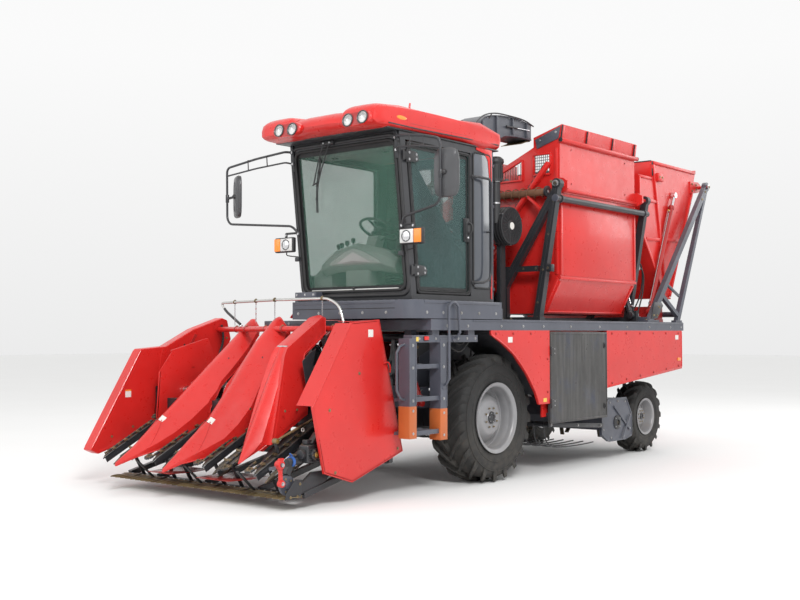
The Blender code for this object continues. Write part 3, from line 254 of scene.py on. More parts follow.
BRASS = finish("brass_cap", (0.55, 0.38, 0.12), 0.30, metallic=0.9, vary=0.12, dust=0.10, wear=0.3, wear_colour=(0.75, 0.65, 0.40), grain_depth=0.0002)
BLUE = finish("blue_band", (0.03, 0.12, 0.42), 0.35, vary=0.10, dust=0.10, wear=0.4, wear_colour=(0.20, 0.22, 0.25), grain_depth=0.0002)
PALE = finish("pale_label", (0.74, 0.72, 0.68), 0.42, vary=0.05, dust=0.12, wear=0.3, wear_colour=(0.40, 0.36, 0.32), grain_depth=0.0001)
YELLOW = finish("yellow_fitting", (0.70, 0.48, 0.08), 0.38, vary=0.10, dust=0.12, wear=0.3, wear_colour=(0.35, 0.28, 0.15), grain_depth=0.0002)
TRIM = finish("cab_lining", (0.22, 0.225, 0.215), 0.70, vary=0.10, dust=0.10, wear=0.0, grain=260.0, grain_depth=0.0008)
GASKET = finish("window_gasket", (0.012, 0.012, 0.013), 0.55, vary=0.12, dust=0.18, wear=0.0, grain=300.0, grain_depth=0.0002)
PAD = finish("grey_duct_paint", (0.075, 0.080, 0.098), 0.40, coat=0.10, vary=0.10, dust=0.25, wear=0.45, wear_colour=(0.26, 0.26, 0.27), grain_depth=0.0002, wave=0.006)


def glass(name, colour, alpha, rough=0.02):
    """A tinted pane that shows what is behind it, clearer face on than at a glance."""
    material, tree, shader = node_material(name)
    coords = tree.nodes.new("ShaderNodeTexCoord").outputs["Object"]
    haze = noise(tree, coords, 1.3, 4.0, 0.6)
    link(tree, mixed(tree, ranged(tree, haze, 0.35, 0.7), tuple(c * 0.85 for c in colour), colour), shader.inputs["Base Color"])
    link(tree, ranged(tree, noise(tree, coords, 2.2, 4.0, 0.6), 0.40, 0.75, rough, rough + 0.05), shader.inputs["Roughness"])
    glance = tree.nodes.new("ShaderNodeLayerWeight")
    glance.inputs["Blend"].default_value = 0.35
    link(tree, maths(tree, "ADD", ranged(tree, haze, 0.30, 0.75, alpha - 0.03, alpha + 0.05), ranged(tree, glance.outputs["Facing"], 0.3, 1.0, 0.0, 0.30)), shader.inputs["Alpha"])
    shader.inputs["Coat Weight"].default_value = 0.6
    shader.inputs["Coat Roughness"].default_value = 0.02
    bump = tree.nodes.new("ShaderNodeBump")
    bump.inputs["Strength"].default_value = 0.25
    bump.inputs["Distance"].default_value = 0.002
    link(tree, noise(tree, coords, 0.8, 1.0), bump.inputs["Height"])
    link(tree, bump.outputs["Normal"], shader.inputs["Normal"])
    return material


GLASS = glass("tinted_glass", (0.085, 0.215, 0.155), 0.24)
GLASS_SIDE = glass("tinted_side_glass", (0.055, 0.130, 0.125), 0.34)
GLASS_QUARTER = finish("quarter_pane", (0.085, 0.095, 0.115), 0.08, coat=0.7, vary=0.16, vary_scale=1.1, dust=0.04, wear=0.0, grain_depth=0.00003, wave=0.004)
MIRROR = finish("mirror_glass", (0.80, 0.82, 0.84), 0.03, metallic=1.0, vary=0.02, dust=0.02, wear=0.0, grain_depth=0.00002, rough_vary=0.03)


def cloth_material(name, colour):
    """Woven seat cloth."""
    material, tree, shader = node_material(name)
    coords = tree.nodes.new("ShaderNodeTexCoord").outputs["Object"]
    slow = noise(tree, coords, 6.0, 4.0)
    tone = mixed(tree, ranged(tree, slow, 0.35, 0.65), tuple(c * 0.75 for c in colour), tuple(c * 1.25 for c in colour))
    heights = []
    for direction in ("X", "Y"):
        wave = tree.nodes.new("ShaderNodeTexWave")
        wave.bands_direction = direction
        wave.inputs["Scale"].default_value = 95.0
        wave.inputs["Distortion"].default_value = 0.8
        link(tree, coords, wave.inputs["Vector"])
        heights.append(wave.outputs["Fac"])
    weave = maths(tree, "MAXIMUM", heights[0], heights[1])
    link(tree, mixed(tree, ranged(tree, weave, 0.2, 1.0, 0.0, 0.35), tone, tuple(c * 1.8 for c in colour)), shader.inputs["Base Color"])
    link(tree, ranged(tree, slow, 0.3, 0.7, 0.82, 0.95), shader.inputs["Roughness"])
    shader.inputs["Sheen Weight"].default_value = 0.35
    bump = tree.nodes.new("ShaderNodeBump")
    bump.inputs["Distance"].default_value = 0.0010
    link(tree, weave, bump.inputs["Height"])
    link(tree, bump.outputs["Normal"], shader.inputs["Normal"])
    return material


CLOTH = cloth_material("seat_cloth", (0.050, 0.056, 0.060))

# floor
bm = bmesh.new()
bmesh.ops.create_grid(bm, x_segments=1, y_segments=1, size=60.0)
floor_mesh = bpy.data.meshes.new("studio_floor")
bm.to_mesh(floor_mesh)
bm.free()
floor = bpy.data.objects.new("studio_floor", floor_mesh)
bpy.context.scene.collection.objects.link(floor)
floor_material, tree, shader = node_material("pale_floor")
link(tree, mixed(tree, noise(tree, tree.nodes.new("ShaderNodeTexCoord").outputs["Object"], 0.6), (0.80, 0.80, 0.79), (0.83, 0.83, 0.825)), shader.inputs["Base Color"])
shader.inputs["Roughness"].default_value = 0.85
floor_mesh.materials.append(floor_material)


# ================================================================ shapes
def box_shape(x, y, z, bevel=0.004, segments=2):
    bm = bmesh.new()
    bmesh.ops.create_cube(bm, size=1.0)
    low = Vector((min(x), min(y), min(z)))
    high = Vector((max(x), max(y), max(z)))
    size = high - low
    bm.transform(Matrix.Translation((low + high) / 2) @ Matrix.Diagonal((*size, 1.0)))
    return rounded(bm, min(bevel, min(size) * 0.45), segments)


def rounded(bm, bevel, segments=2, angle=20):
    if bevel > 0:
        sharp = [e for e in bm.edges if len(e.link_faces) == 2 and e.calc_face_angle(0) > math.radians(angle)]
        if sharp:
            bmesh.ops.bevel(bm, geom=sharp, offset=bevel, segments=segments, affect="EDGES", profile=0.5, clamp_overlap=True)
    return bm


def beam_shape(p, q, wide, deep, side=(0, 1, 0), bevel=0.004, segments=2):
    p, q = Vector(p), Vector(q)
    run = q - p
    w = run.normalized()
    s = Vector(side)
    s = (s - s.dot(w) * w).normalized()
    d = w.cross(s)
    bm = bmesh.new()
    bmesh.ops.create_cube(bm, size=1.0)
    bm.transform(Matrix.Diagonal((wide, deep, run.length, 1.0)))
    rounded(bm, min(bevel, wide * 0.45, deep * 0.45), segments)
    turn = Matrix((s, d, w)).transposed().to_4x4()
    turn.translation = (p + q) / 2
    bm.transform(turn)
    return bm


def rod_shape(p, q, r, sides=20, r_end=None, bevel=0.0):
    p, q = Vector(p), Vector(q)
    run = q - p
    bm = bmesh.new()
    bmesh.ops.create_cone(bm, cap_ends=True, cap_tris=False, segments=sides, radius1=r, radius2=r if r_end is None else r_end, depth=run.length)
    if bevel > 0:
        rounded(bm, min(bevel, r * 0.4, run.length * 0.4), 2, 40)
    bm.transform(Matrix.Translation((p + q) / 2) @ run.to_track_quat("Z", "Y").to_matrix().to_4x4())
    return bm


PLANES = {"XZ": ((1, 0, 0), (0, 0, 1), (0, 1, 0)), "YZ": ((0, 1, 0), (0, 0, 1), (1, 0, 0)), "XY": ((1, 0, 0), (0, 1, 0), (0, 0, 1))}


def plate_shape(outline, plane, low, high, bevel=0.0, segments=2):
    """A flat outline, thick from low to high on the third axis."""
    u, v, n = (Vector(a) for a in PLANES[plane])
    bm = bmesh.new()
    ends = []
    for level in (low, high):
        ends.append([bm.verts.new(u * a + v * b + n * level) for a, b in outline])
    bm.faces.new(ends[0])
    bm.faces.new(ends[1])
    count = len(outline)
    for i in range(count):
        j = (i + 1) % count
        bm.faces.new((ends[0][i], ends[0][j], ends[1][j], ends[1][i]))
    bmesh.ops.recalc_face_normals(bm, faces=bm.faces)
    return rounded(bm, bevel, segments)


def ring_shape(outer, inner, plane, low, high, bevel=0.0):
    """A flat frame between two outlines of equal point count."""
    u, v, n = (Vector(a) for a in PLANES[plane])
    bm = bmesh.new()
    rings = [[bm.verts.new(u * a + v * b + n * level) for a, b in line] for level in (low, high) for line in (outer, inner)]
    count = len(outer)
    for a, b in ((0, 1), (1, 3), (3, 2), (2, 0)):
        for i in range(count):
            j = (i + 1) % count
            bm.faces.new((rings[a][i], rings[a][j], rings[b][j], rings[b][i]))
    bmesh.ops.recalc_face_normals(bm, faces=bm.faces)
    return rounded(bm, bevel)


def curve_through(points, steps):
    """Points on a smooth line through the given ones."""
    points = [Vector(p) for p in points]
    if steps <= 1 or len(points) < 3:
        return points
    out = []
    for i in range(len(points) - 1):
        p0 = points[i - 1] if i else points[0] * 2 - points[1]
        p1, p2 = points[i], points[i + 1]
        p3 = points[i + 2] if i + 2 < len(points) else points[-1] * 2 - points[-2]
        for k in range(steps):
            t = k / steps
            out.append(0.5 * ((2 * p1) + (p2 - p0) * t + (2 * p0 - 5 * p1 + 4 * p2 - p3) * t * t + (3 * p1 - p0 - 3 * p2 + p3) * t ** 3))
    out.append(points[-1])
    return out


def bent(points, radius, steps=5):
    """A run of straight lines whose corners are arcs of about that radius."""
    points = [Vector(p) for p in points]
    out = [points[0]]
    for a, b, c in zip(points, points[1:], points[2:]):
        u, v = (a - b), (c - b)
        reach = min(radius, u.length * 0.48, v.length * 0.48)
        p, q = b + u.normalized() * reach, b + v.normalized() * reach
        for k in range(steps + 1):
            t = k / steps
            out.append(p * (1 - t) ** 2 + b * 2 * t * (1 - t) + q * t * t)
    out.append(points[-1])
    return out


def pipe_shape(points, r, sides=10, closed=False, flat=None):
    """A round tube along the points; flat makes it an oval that many times as deep."""
    points = [Vector(p) for p in points]
    bm = bmesh.new()
    rings = []
    count = len(points)
    normal = None
    for i, p in enumerate(points):
        if closed:
            way = (points[(i + 1) % count] - points[i - 1]).normalized()
        else:
            way = (points[min(i + 1, count - 1)] - points[max(i - 1, 0)]).normalized()
        if normal is None:
            normal = way.orthogonal().normalized() if abs(way.z) > 0.95 else (Vector((0, 0, 1)) - way * way.z).normalized()
        else:
            normal = (normal - way * normal.dot(way)).normalized()
        across = way.cross(normal)
        rings.append([bm.verts.new(p + normal * (math.cos(a) * r * (flat or 1.0)) + across * (math.sin(a) * r)) for a in (2 * math.pi * k / sides for k in range(sides))])
    pairs = list(zip(rings, rings[1:])) + ([(rings[-1], rings[0])] if closed else [])
    for a, b in pairs:
        for k in range(sides):
            j = (k + 1) % sides
            bm.faces.new((a[k], a[j], b[j], b[k]))
    if not closed:
        bm.faces.new(rings[0])
        bm.faces.new(rings[-1])
    bmesh.ops.recalc_face_normals(bm, faces=bm.faces)
    return bm


def lathe_shape(profile, centre, steps=48, flip=False, closed=False, axis="Y", start=0.0, sweep=2 * math.pi):
    """A profile of (along the axis, radius) turned about a line through the centre."""
    centre = Vector(centre)
    along = {"X": Vector((1, 0, 0)), "Y": Vector((0, 1, 0)), "Z": Vector((0, 0, 1))}[axis]
    u = {"X": Vector((0, 1, 0)), "Y": Vector((1, 0, 0)), "Z": Vector((1, 0, 0))}[axis]
    v = along.cross(u)
    side = -1.0 if flip else 1.0
    bm = bmesh.new()
    turns = []
    for k in range(steps):
        a = start + sweep * k / steps
        way = u * math.cos(a) + v * math.sin(a)
        turns.append([bm.verts.new(centre + along * (side * s) + way * r) if r > 1e-6 else None for s, r in profile])
    poles = {i: bm.verts.new(centre + along * (side * s)) for i, (s, r) in enumerate(profile) if r <= 1e-6}
    count = len(profile)
    pairs = [(i, i + 1) for i in range(count - 1)] + ([(count - 1, 0)] if closed else [])
    for k in range(steps):
        a, b = turns[k], turns[(k + 1) % steps]
        for i, j in pairs:
            ring = []
            for vert in (a[i] or poles[i], a[j] or poles[j], b[j] or poles.get(j), b[i] or poles.get(i)):
                if vert not in ring:
                    ring.append(vert)
            if len(ring) > 2:
                bm.faces.new(ring)
    bmesh.ops.recalc_face_normals(bm, faces=bm.faces)
    return bm


def loft_shape(sections, closed_ends=True):
    bm = bmesh.new()
    rings = [[bm.verts.new(p) for p in section] for section in sections]
    count = len(rings[0])
    for a, b in zip(rings, rings[1:]):
        for i in range(count):
            j = (i + 1) % count
            bm.faces.new((a[i], a[j], b[j], b[i]))
    if closed_ends:
        bm.faces.new(rings[0])
        bm.faces.new(rings[-1])
    bmesh.ops.recalc_face_normals(bm, faces=bm.faces)
    return bm


def bolt_shape(at, way, r, washer=True):
    """A hexagon head on its washer, standing on the point along the way."""
    at, way = Vector(at), Vector(way).normalized()
    bm = rod_shape(at - way * 0.001, at + way * (r * 0.75), r, 6, r * 0.94)
    if washer:
        merge(bm, rod_shape(at - way * 0.001, at + way * (r * 0.22), r * 1.45, 12))
    return bm


def merge(bm, other):
    mesh = bpy.data.meshes.new("merge")
    other.to_mesh(mesh)
    other.free()
    bm.from_mesh(mesh)
    bpy.data.meshes.remove(mesh)
    return bm


class Piece:
    """Shapes in the harvester's own frame, gathered into one object that rides on a body."""

    def __init__(self, name, body, slot=None, replaces=(), smooth=35):
        self.name, self.body, self.slot, self.stands, self.smooth = name, body, slot, replaces, smooth
        self.bm = bmesh.new()
        self.materials = []

    def add(self, material, *shapes):
        if material not in self.materials:
            self.materials.append(material)
        index = self.materials.index(material)
        for shape in shapes:
            for face in shape.faces:
                face.material_index = index
            merge(self.bm, shape)
        return self

    def box(self, material, x, y, z, bevel=0.004, segments=2):
        return self.add(material, box_shape(x, y, z, bevel, segments))

    def beam(self, material, p, q, wide, deep, side=(0, 1, 0), bevel=0.004):
        return self.add(material, beam_shape(p, q, wide, deep, side, bevel))

    def rod(self, material, p, q, r, sides=20, r_end=None, bevel=0.0):
        return self.add(material, rod_shape(p, q, r, sides, r_end, bevel))

    def plate(self, material, outline, plane, low, high, bevel=0.0):
        return self.add(material, plate_shape(outline, plane, low, high, bevel))

    def pipe(self, material, points, r, sides=10, radius=0.0, smooth=0, closed=False):
        if radius:
            points = bent(points, radius)
        if smooth:
            points = curve_through(points, smooth)
        return self.add(material, pipe_shape(points, r, sides, closed))

    def lathe(self, material, profile, centre, steps=48, flip=False, closed=False, axis="Y"):
        return self.add(material, lathe_shape(profile, centre, steps, flip, closed, axis))

    def bolts(self, material, points, way, r, washer=True):
        for p in points:
            self.add(material, bolt_shape(p, way, r, washer))
        return self

    def done(self):
        self.bm.transform(Matrix.Translation(SHIFT))
        mesh = bpy.data.meshes.new(self.name)
        for face in self.bm.faces:
            face.smooth = True
        self.bm.to_mesh(mesh)
        self.bm.free()
        for material in self.materials:
            mesh.materials.append(material)
        mesh.set_sharp_from_angle(angle=math.radians(self.smooth))
        piece = bpy.data.objects.new(self.name, mesh)
        bpy.context.scene.collection.objects.link(piece)
        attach(piece, self.body)
        if self.stands:
            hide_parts(*self.stands)
        return piece


def spaced(a, b, count):
    a, b = Vector(a), Vector(b)
    return [a + (b - a) * (i / (count - 1)) for i in range(count)]


# ================================================================ hydraulic hoses behind the main bin
# name, length along the line follows from the points: fitting, run, fitting
HOSES = (("bin_hose_outer", 0.018, [(-3.085, 1.015, 2.250), (-3.130, 1.015, 2.248), (-3.180, 1.014, 2.215), (-3.215, 1.010, 2.140), (-3.225, 1.000, 2.030), (-3.215, 0.985, 1.910),
                                    (-3.190, 0.970, 1.810), (-3.168, 0.962, 1.745), (-3.160, 0.960, 1.684)]),
         ("bin_hose_inner", 0.018, [(-3.085, 0.985, 2.330), (-3.130, 0.985, 2.328), (-3.200, 0.982, 2.290), (-3.262, 0.970, 2.190), (-3.285, 0.950, 2.050), (-3.270, 0.925, 1.910),
                                    (-3.220, 0.900, 1.800), (-3.175, 0.885, 1.745), (-3.160, 0.880, 1.684)]))
hose_jobs = []
for name, diameter, points in HOSES:
    line = [row(p) for p in curve_through(points, 4)]
    data = bpy.data.curves.new(name, "CURVE")
    data.dimensions = "3D"
    data.bevel_depth = diameter / 2
    data.bevel_resolution = 3
    data.use_fill_caps = True
    spline = data.splines.new("POLY")
    spline.points.add(len(line) - 1)
    for point, at in zip(spline.points, line):
        point.co = (*at, 1.0)
    data.materials.append(HOSE)
    hose = bpy.data.objects.new(name, data)
    bpy.context.scene.collection.objects.link(hose)
    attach(hose, "chassis")
    length = sum((b - a).length for a, b in zip(line, line[1:]))
fittings = Piece("hose_fittings", "chassis", "steel", smooth=30)
for name, diameter, points in HOSES:
    for a, b in ((points[0], Vector((1, 0, 0))), (points[-1], Vector((0, 0, -1)))):
        a = Vector(a)
        fittings.add(STEEL, rod_shape(a - b * 0.016, a + b * 0.012, 0.0125, 6), rod_shape(a + b * 0.010, a + b * 0.024, 0.0155, 6))
fittings.box(STEEL, (-3.074, -3.058), (0.965, 1.035), (2.225, 2.355), 0.003).box(STEEL, (-3.19, -3.13), (0.86, 0.98), (1.655, 1.668), 0.003)
fittings.done()


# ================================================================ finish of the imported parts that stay
def dress(name, material, bevel=0.004, segments=2, second=None):
    """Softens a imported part's edges and gives it its surface."""
    part = nodes[name]
    mesh = part.data
    for layer in ("custom_normal",):
        if layer in mesh.attributes:
            mesh.attributes.remove(mesh.attributes[layer])
    if not mesh.materials:
        mesh.materials.append(material)
    for slot in part.material_slots:
        slot.link = "OBJECT"
        slot.material = material
    mesh.polygons.foreach_set("use_smooth", [True] * len(mesh.polygons))
    weld = part.modifiers.new("weld", "WELD")
    weld.merge_threshold = 0.00005
    flat = part.modifiers.new("flat", "DECIMATE")
    flat.decimate_type = "DISSOLVE"
    flat.angle_limit = math.radians(0.4)
    soft = part.modifiers.new("edge", "BEVEL")
    soft.width = bevel
    soft.segments = segments
    soft.limit_method = "ANGLE"
    soft.angle_limit = math.radians(32)
    soft.harden_normals = True
    soft.use_clamp_overlap = True
    return part


# part: surface, edge radius
for name, material, bevel in (
        ("chassis_frame", GREY, 0.004), ("front_axle", DARK, 0.006), ("rear_axle_beam", DARK, 0.005), ("steering_knuckle_left", DARK, 0.003), ("steering_knuckle_right", DARK, 0.003),
        ("side_panel_left", RED, 0.003), ("side_panel_right", RED, 0.003), ("service_door", DOOR, 0.004), ("cab_platform", GREY, 0.004), ("cab_frame", DARK, 0.010),
        ("cab_roof", RED, 0.012), ("windshield", GLASS, 0.002), ("right_window", GLASS_SIDE, 0.002), ("rear_window", GLASS_SIDE, 0.002), ("cab_door", PLASTIC, 0.006),
        ("cab_door_window", GLASS_SIDE, 0.002), ("steering_console", TRIM, 0.008), ("ladder", GREY, 0.003), ("mirror_left", PLASTIC, 0.006),
        ("mirror_right", PLASTIC, 0.006), ("engine", IRON, 0.010), ("exhaust", RUST, 0.006), ("air_cleaner", PLASTIC, 0.006), ("stalk_duct", PAD, 0.004), ("stalk_spout", PAD, 0.004),
        ("ear_elevator", RED_PAINTED_SHADE, 0.005), ("chopper_housing", GREY, 0.003), ("chopper_rotor", IRON, 0.002), ("bin_stand", DARK, 0.004), ("main_bin", RED, 0.004),
        ("rear_bin_stand", GREY, 0.004), ("rear_bin_saddle", RED_PAINTED_SHADE, 0.005), ("rear_bin", RED, 0.004), ("header_frame", DARK, 0.004), ("row_units", DARK, 0.003),
        ("row_dividers", RED, 0.006), ("end_divider_right", RED, 0.012), ("end_shield_left", RED, 0.006), ("cutter_bar", KNIFE, 0.001), ("guard_rail", RAIL, 0.002),
        ("header_auger", STEEL, 0.002), ("main_bin_ram_barrel", DARK, 0.003), ("main_bin_ram_rod", CHROME, 0.002),
        ("header_lift_left_barrel", RED_PAINTED_SHADE, 0.003), ("header_lift_right_barrel", RED_PAINTED_SHADE, 0.003), ("header_lift_left_rod", CHROME, 0.002), ("header_lift_right_rod", CHROME, 0.002),
        ("rear_bin_ram_left_barrel", RED_PAINTED_SHADE, 0.003), ("rear_bin_ram_right_barrel", RED_PAINTED_SHADE, 0.003), ("rear_bin_ram_left_rod", CHROME, 0.002), ("rear_bin_ram_right_rod", CHROME, 0.002)):
    dress(name, material, bevel)


# ================================================================ wheels
def tyre(name, body, at, size, side, replaces):
    """A traction tyre: ribbed carcass and staggered slanting lugs."""
    outer, profile, rise, half, lugs, width = size["outer"], size["profile"], size["rise"], size["half"], size["lugs"], size["lug"]
    piece = Piece(name, body, "tyre_rubber", (replaces,), smooth=40)
    piece.lathe(RUBBER, [(a, r) for a, r in profile] + [(-a, r) for a, r in reversed(profile)], at, 96, closed=True)
    base = outer - rise
    lean = size["lean"]
    for sign in (1, -1):
        for i in range(lugs):
            turn = 2 * math.pi * (i + (0.5 if sign < 0 else 0.0)) / lugs
            sections = []
            for share, top_drop, foot_drop, broad in ((-0.04, 0.0, 0.0, 0.82), (0.20, 0.0, 0.0, 0.90), (0.48, 0.001, 0.004, 1.0), (0.74, 0.004, 0.012, 1.08), (0.90, 0.012, 0.030, 1.14), (0.985, 0.036, 0.066, 1.16)):
                y = sign * half * share
                middle = turn + lean * (share ** 0.85 if share > 0 else 0.0)
                top, foot = outer - top_drop, base - foot_drop - 0.012
                section = []
                for offset, r in ((-0.62, foot), (-0.40, top - 0.004), (-0.34, top), (0.34, top), (0.40, top - 0.004), (0.62, foot)):
                    a = middle + offset * width * broad / outer
                    section.append(Vector(at) + Vector((math.cos(a) * r, y, math.sin(a) * r)))
                sections.append(section)
            piece.add(RUBBER, loft_shape(sections))
    # moulded rings on both walls
    for a, r, thick in size["rings"]:
        for out in (1, -1):
            piece.add(RUBBER, lathe_shape([(a - thick, r - 0.006), (a + thick * 0.6, r - 0.003), (a + thick * 0.6, r + 0.003), (a - thick, r + 0.006)], at, 72, flip=out < 0, closed=True))
    return piece.done()


FRONT = {"outer": 0.632, "rise": 0.038, "half": 0.196, "lugs": 20, "lug": 0.060, "lean": 0.40,
         "profile": [(0.0, 0.594), (0.080, 0.593), (0.135, 0.588), (0.165, 0.575), (0.185, 0.548), (0.197, 0.505), (0.199, 0.460), (0.190, 0.405), (0.176, 0.366), (0.168, 0.352), (0.166, 0.318)],
         "rings": [(0.1985, 0.520, 0.004), (0.1960, 0.430, 0.004)]}
REAR = {"outer": 0.4335, "rise": 0.030, "half": 0.142, "lugs": 16, "lug": 0.050, "lean": 0.42,
        "profile": [(0.0, 0.404), (0.060, 0.403), (0.095, 0.398), (0.120, 0.386), (0.136, 0.362), (0.1445, 0.330), (0.1440, 0.295), (0.134, 0.255), (0.124, 0.236), (0.117, 0.226), (0.115, 0.202)],
        "rings": [(0.1435, 0.345, 0.003), (0.1415, 0.275, 0.003)]}


def wheel_rim(name, body, at, side, size, replaces):
    """A dished steel wheel with its studs, hub cap and valve."""
    piece = Piece(name, body, "silver_paint", (replaces,), smooth=38)
    flip = side < 0
    piece.add(RIM, lathe_shape(size["profile"], at, 80, flip=flip))
    centre = Vector(at)

    def out(a, r=0.0, turn=0.0):
        return centre + Vector((math.cos(turn) * r, side * a, math.sin(turn) * r))

    way = Vector((0, side, 0))
    face, circle = size["face"], size["circle"]
    for i in range(8):
        turn = math.radians(22.5 + 45 * i)
        p = out(face, circle, turn)
        piece.add(RIM, rod_shape(p - way * 0.004, p + way * 0.006, size["stud"] * 1.9, 16, size["stud"] * 1.5))
        piece.add(GOLD, rod_shape(p, p + way * (size["stud"] * 1.5), size["stud"] * 1.25, 6, size["stud"] * 1.05), rod_shape(p, p + way * (size["stud"] * 2.6), size["stud"] * 0.62, 10))
    hub = size["hub"]
    piece.add(DARK, lathe_shape([(face - 0.02, hub), (face + 0.010, hub), (face + 0.018, hub * 0.94), (face + 0.020, hub * 0.55), (face + 0.014, hub * 0.5), (face + 0.014, 0.0)], at, 40, flip=flip))
    for i in range(6):
        p = out(face + 0.018, hub * 0.74, math.radians(60 * i + 12))
        piece.add(STEEL, bolt_shape(p, way, hub * 0.085, False))
    if size["slots"]:
        for i in range(size["slots"]):  # raised pads round the disc's edge
            turn = math.radians(360 / size["slots"] * i)
            piece.add(RIM, rod_shape(out(size["slot_face"] - 0.012, size["slot_r"], turn), out(size["slot_face"] + 0.003, size["slot_r"], turn), size["slot"], 14, size["slot"] * 0.82))
    valve = out(size["valve"][0], size["valve"][1], math.radians(52))
    towards = (out(size["valve"][0] + 0.045, size["valve"][1] - 0.028, math.radians(52)) - valve)
    piece.add(DARK, rod_shape(valve - towards * 0.3, valve + towards, 0.0055, 10), rod_shape(valve + towards * 0.8, valve + towards * 1.25, 0.0075, 10))
    return piece.done()


FRONT_RIM = {"profile": [(0.122, 0.0), (0.122, 0.062), (0.113, 0.068), (0.112, 0.150), (0.108, 0.166), (0.100, 0.176), (0.062, 0.226), (0.048, 0.240), (0.030, 0.250), (0.026, 0.292), (0.030, 0.2965),
                         (0.108, 0.2965), (0.116, 0.301), (0.124, 0.312), (0.164, 0.313), (0.172, 0.318), (0.178, 0.342), (0.184, 0.3475), (0.190, 0.3475), (0.1935, 0.343), (0.190, 0.334), (0.184, 0.318),
                         (0.176, 0.306), (0.168, 0.303), (0.130, 0.300)][:13] + [(0.132, 0.303), (0.162, 0.304), (0.176, 0.310), (0.183, 0.320), (0.187, 0.338), (0.1915, 0.3485), (0.1840, 0.3490), (0.1765, 0.344),
                         (0.170, 0.3125), (0.0, 0.3120), (-0.170, 0.3125), (-0.1765, 0.344), (-0.1840, 0.3490), (-0.1915, 0.3485), (-0.187, 0.338), (-0.183, 0.320), (-0.172, 0.306),
                         (-0.060, 0.2965), (0.010, 0.2955), (0.014, 0.250), (0.034, 0.232), (0.082, 0.172), (0.098, 0.150), (0.098, 0.0)],
             "face": 0.112, "circle": 0.098, "stud": 0.0085, "hub": 0.062, "slots": 0, "slot_face": 0.03, "slot_r": 0.2, "slot": 0.02, "valve": (0.052, 0.282)}
REAR_RIM = {"profile": [(0.072, 0.0), (0.072, 0.044), (0.065, 0.048), (0.064, 0.092), (0.060, 0.102), (0.036, 0.130), (0.026, 0.144), (0.018, 0.152), (0.014, 0.182), (0.018, 0.1845), (0.080, 0.185), (0.090, 0.190),
                        (0.116, 0.192), (0.126, 0.199), (0.130, 0.216), (0.1345, 0.2250), (0.1290, 0.2258), (0.1242, 0.222), (0.119, 0.1965), (0.0, 0.1960), (-0.119, 0.1965), (-0.1242, 0.222), (-0.1290, 0.2258),
                        (-0.1345, 0.2250), (-0.130, 0.216), (-0.120, 0.194), (-0.040, 0.186), (0.002, 0.184), (0.004, 0.150), (0.022, 0.126), (0.048, 0.092), (0.050, 0.0)],
            "face": 0.064, "circle": 0.070, "stud": 0.0070, "hub": 0.042, "slots": 0, "slot_face": 0.03, "slot_r": 0.1, "slot": 0.01, "valve": (0.034, 0.172)}
for side, sign in (("left", 1), ("right", -1)):
    front_hub, rear_hub = (0.0, sign * 0.864, 0.6325), (-3.494, sign * 0.750, 0.434)
    tyre(f"drive_tyre_{side}", f"front_wheel_{side}", front_hub, FRONT, sign, f"front_tyre_{side}")
    tyre(f"steer_tyre_{side}", f"rear_wheel_{side}", rear_hub, REAR, sign, f"rear_tyre_{side}")
    wheel_rim(f"drive_wheel_{side}", f"front_wheel_{side}", front_hub, sign, FRONT_RIM, f"front_rim_{side}")
    wheel_rim(f"steer_wheel_{side}", f"rear_wheel_{side}", rear_hub, sign, REAR_RIM, f"rear_rim_{side}")


# ================================================================ header: dividers
SNOUT_RIGHT = [(2.890, 0.012, 0.262, 0.278, 0.295, 0.006), (2.700, 0.085, 0.335, 0.368, 0.415, 0.020), (2.520, 0.142, 0.385, 0.455, 0.560, 0.030), (2.356, 0.185, 0.430, 0.545, 0.690, 0.035),
               (2.180, 0.205, 0.495, 0.655, 0.830, 0.040), (1.980, 0.212, 0.620, 0.800, 0.994, 0.045),
               (1.950, 0.210, 0.740, 0.840, 1.018, 0.045), (1.860, 0.205, 0.860, 0.920, 1.089, 0.045), (1.800, 0.198, 0.950, 1.005, 1.137, 0.045),
               (1.660, 0.184, 1.050, 1.115, 1.248, 0.045), (1.519, 0.165, 1.145, 1.230, 1.360, 0.045), (1.375, 0.140, 1.286, 1.350, 1.484, 0.040),
               (1.270, 0.115, 1.400, 1.460, 1.574, 0.035), (1.215, 0.103, 1.445, 1.510, 1.616, 0.032), (1.191, 0.090, 1.475, 1.530, 1.618, 0.020)]
SNOUT_MIDDLE = [(2.899, 0.012, 0.262, 0.277, 0.293, 0.006), (2.740, 0.072, 0.325, 0.358, 0.412, 0.018), (2.570, 0.130, 0.355, 0.430, 0.545, 0.030), (2.366, 0.190, 0.395, 0.525, 0.697, 0.040),
                (2.220, 0.215, 0.450, 0.645, 0.861, 0.045), (2.065, 0.228, 0.580, 0.810, 1.035, 0.050), (1.980, 0.235, 0.715, 0.965, 1.142, 0.050), (1.950, 0.235, 0.835, 1.005, 1.180, 0.050),
                (1.860, 0.228, 0.960, 1.100, 1.290, 0.050), (1.773, 0.210, 1.070, 1.210, 1.398, 0.045), (1.600, 0.150, 1.250, 1.380, 1.560, 0.040),
                (1.540, 0.142, 1.325, 1.460, 1.615, 0.036), (1.500, 0.132, 1.370, 1.495, 1.630, 0.028), (1.462, 0.118, 1.402, 1.495, 1.598, 0.018)]


def snout_ring(x, y, w, low, shoulder, top, r):
    """One section of a snout: hemmed foot, slightly hollow flank, rounded ridge."""
    half = [(w * 0.955, low), (w * 0.998, low + (shoulder - low) * 0.30), (w * 0.985, shoulder), (r + (w - r) * 0.72, shoulder + (top - shoulder) * 0.24),
            (r + (w - r) * 0.40, shoulder + (top - shoulder) * 0.55), (r + (w - r) * 0.10, shoulder + (top - shoulder) * 0.86), (r * 0.82, top - (top - shoulder) * 0.045), (r * 0.32, top)]
    return [(x, y + a, z) for a, z in half] + [(x, y - a, z) for a, z in reversed(half)]


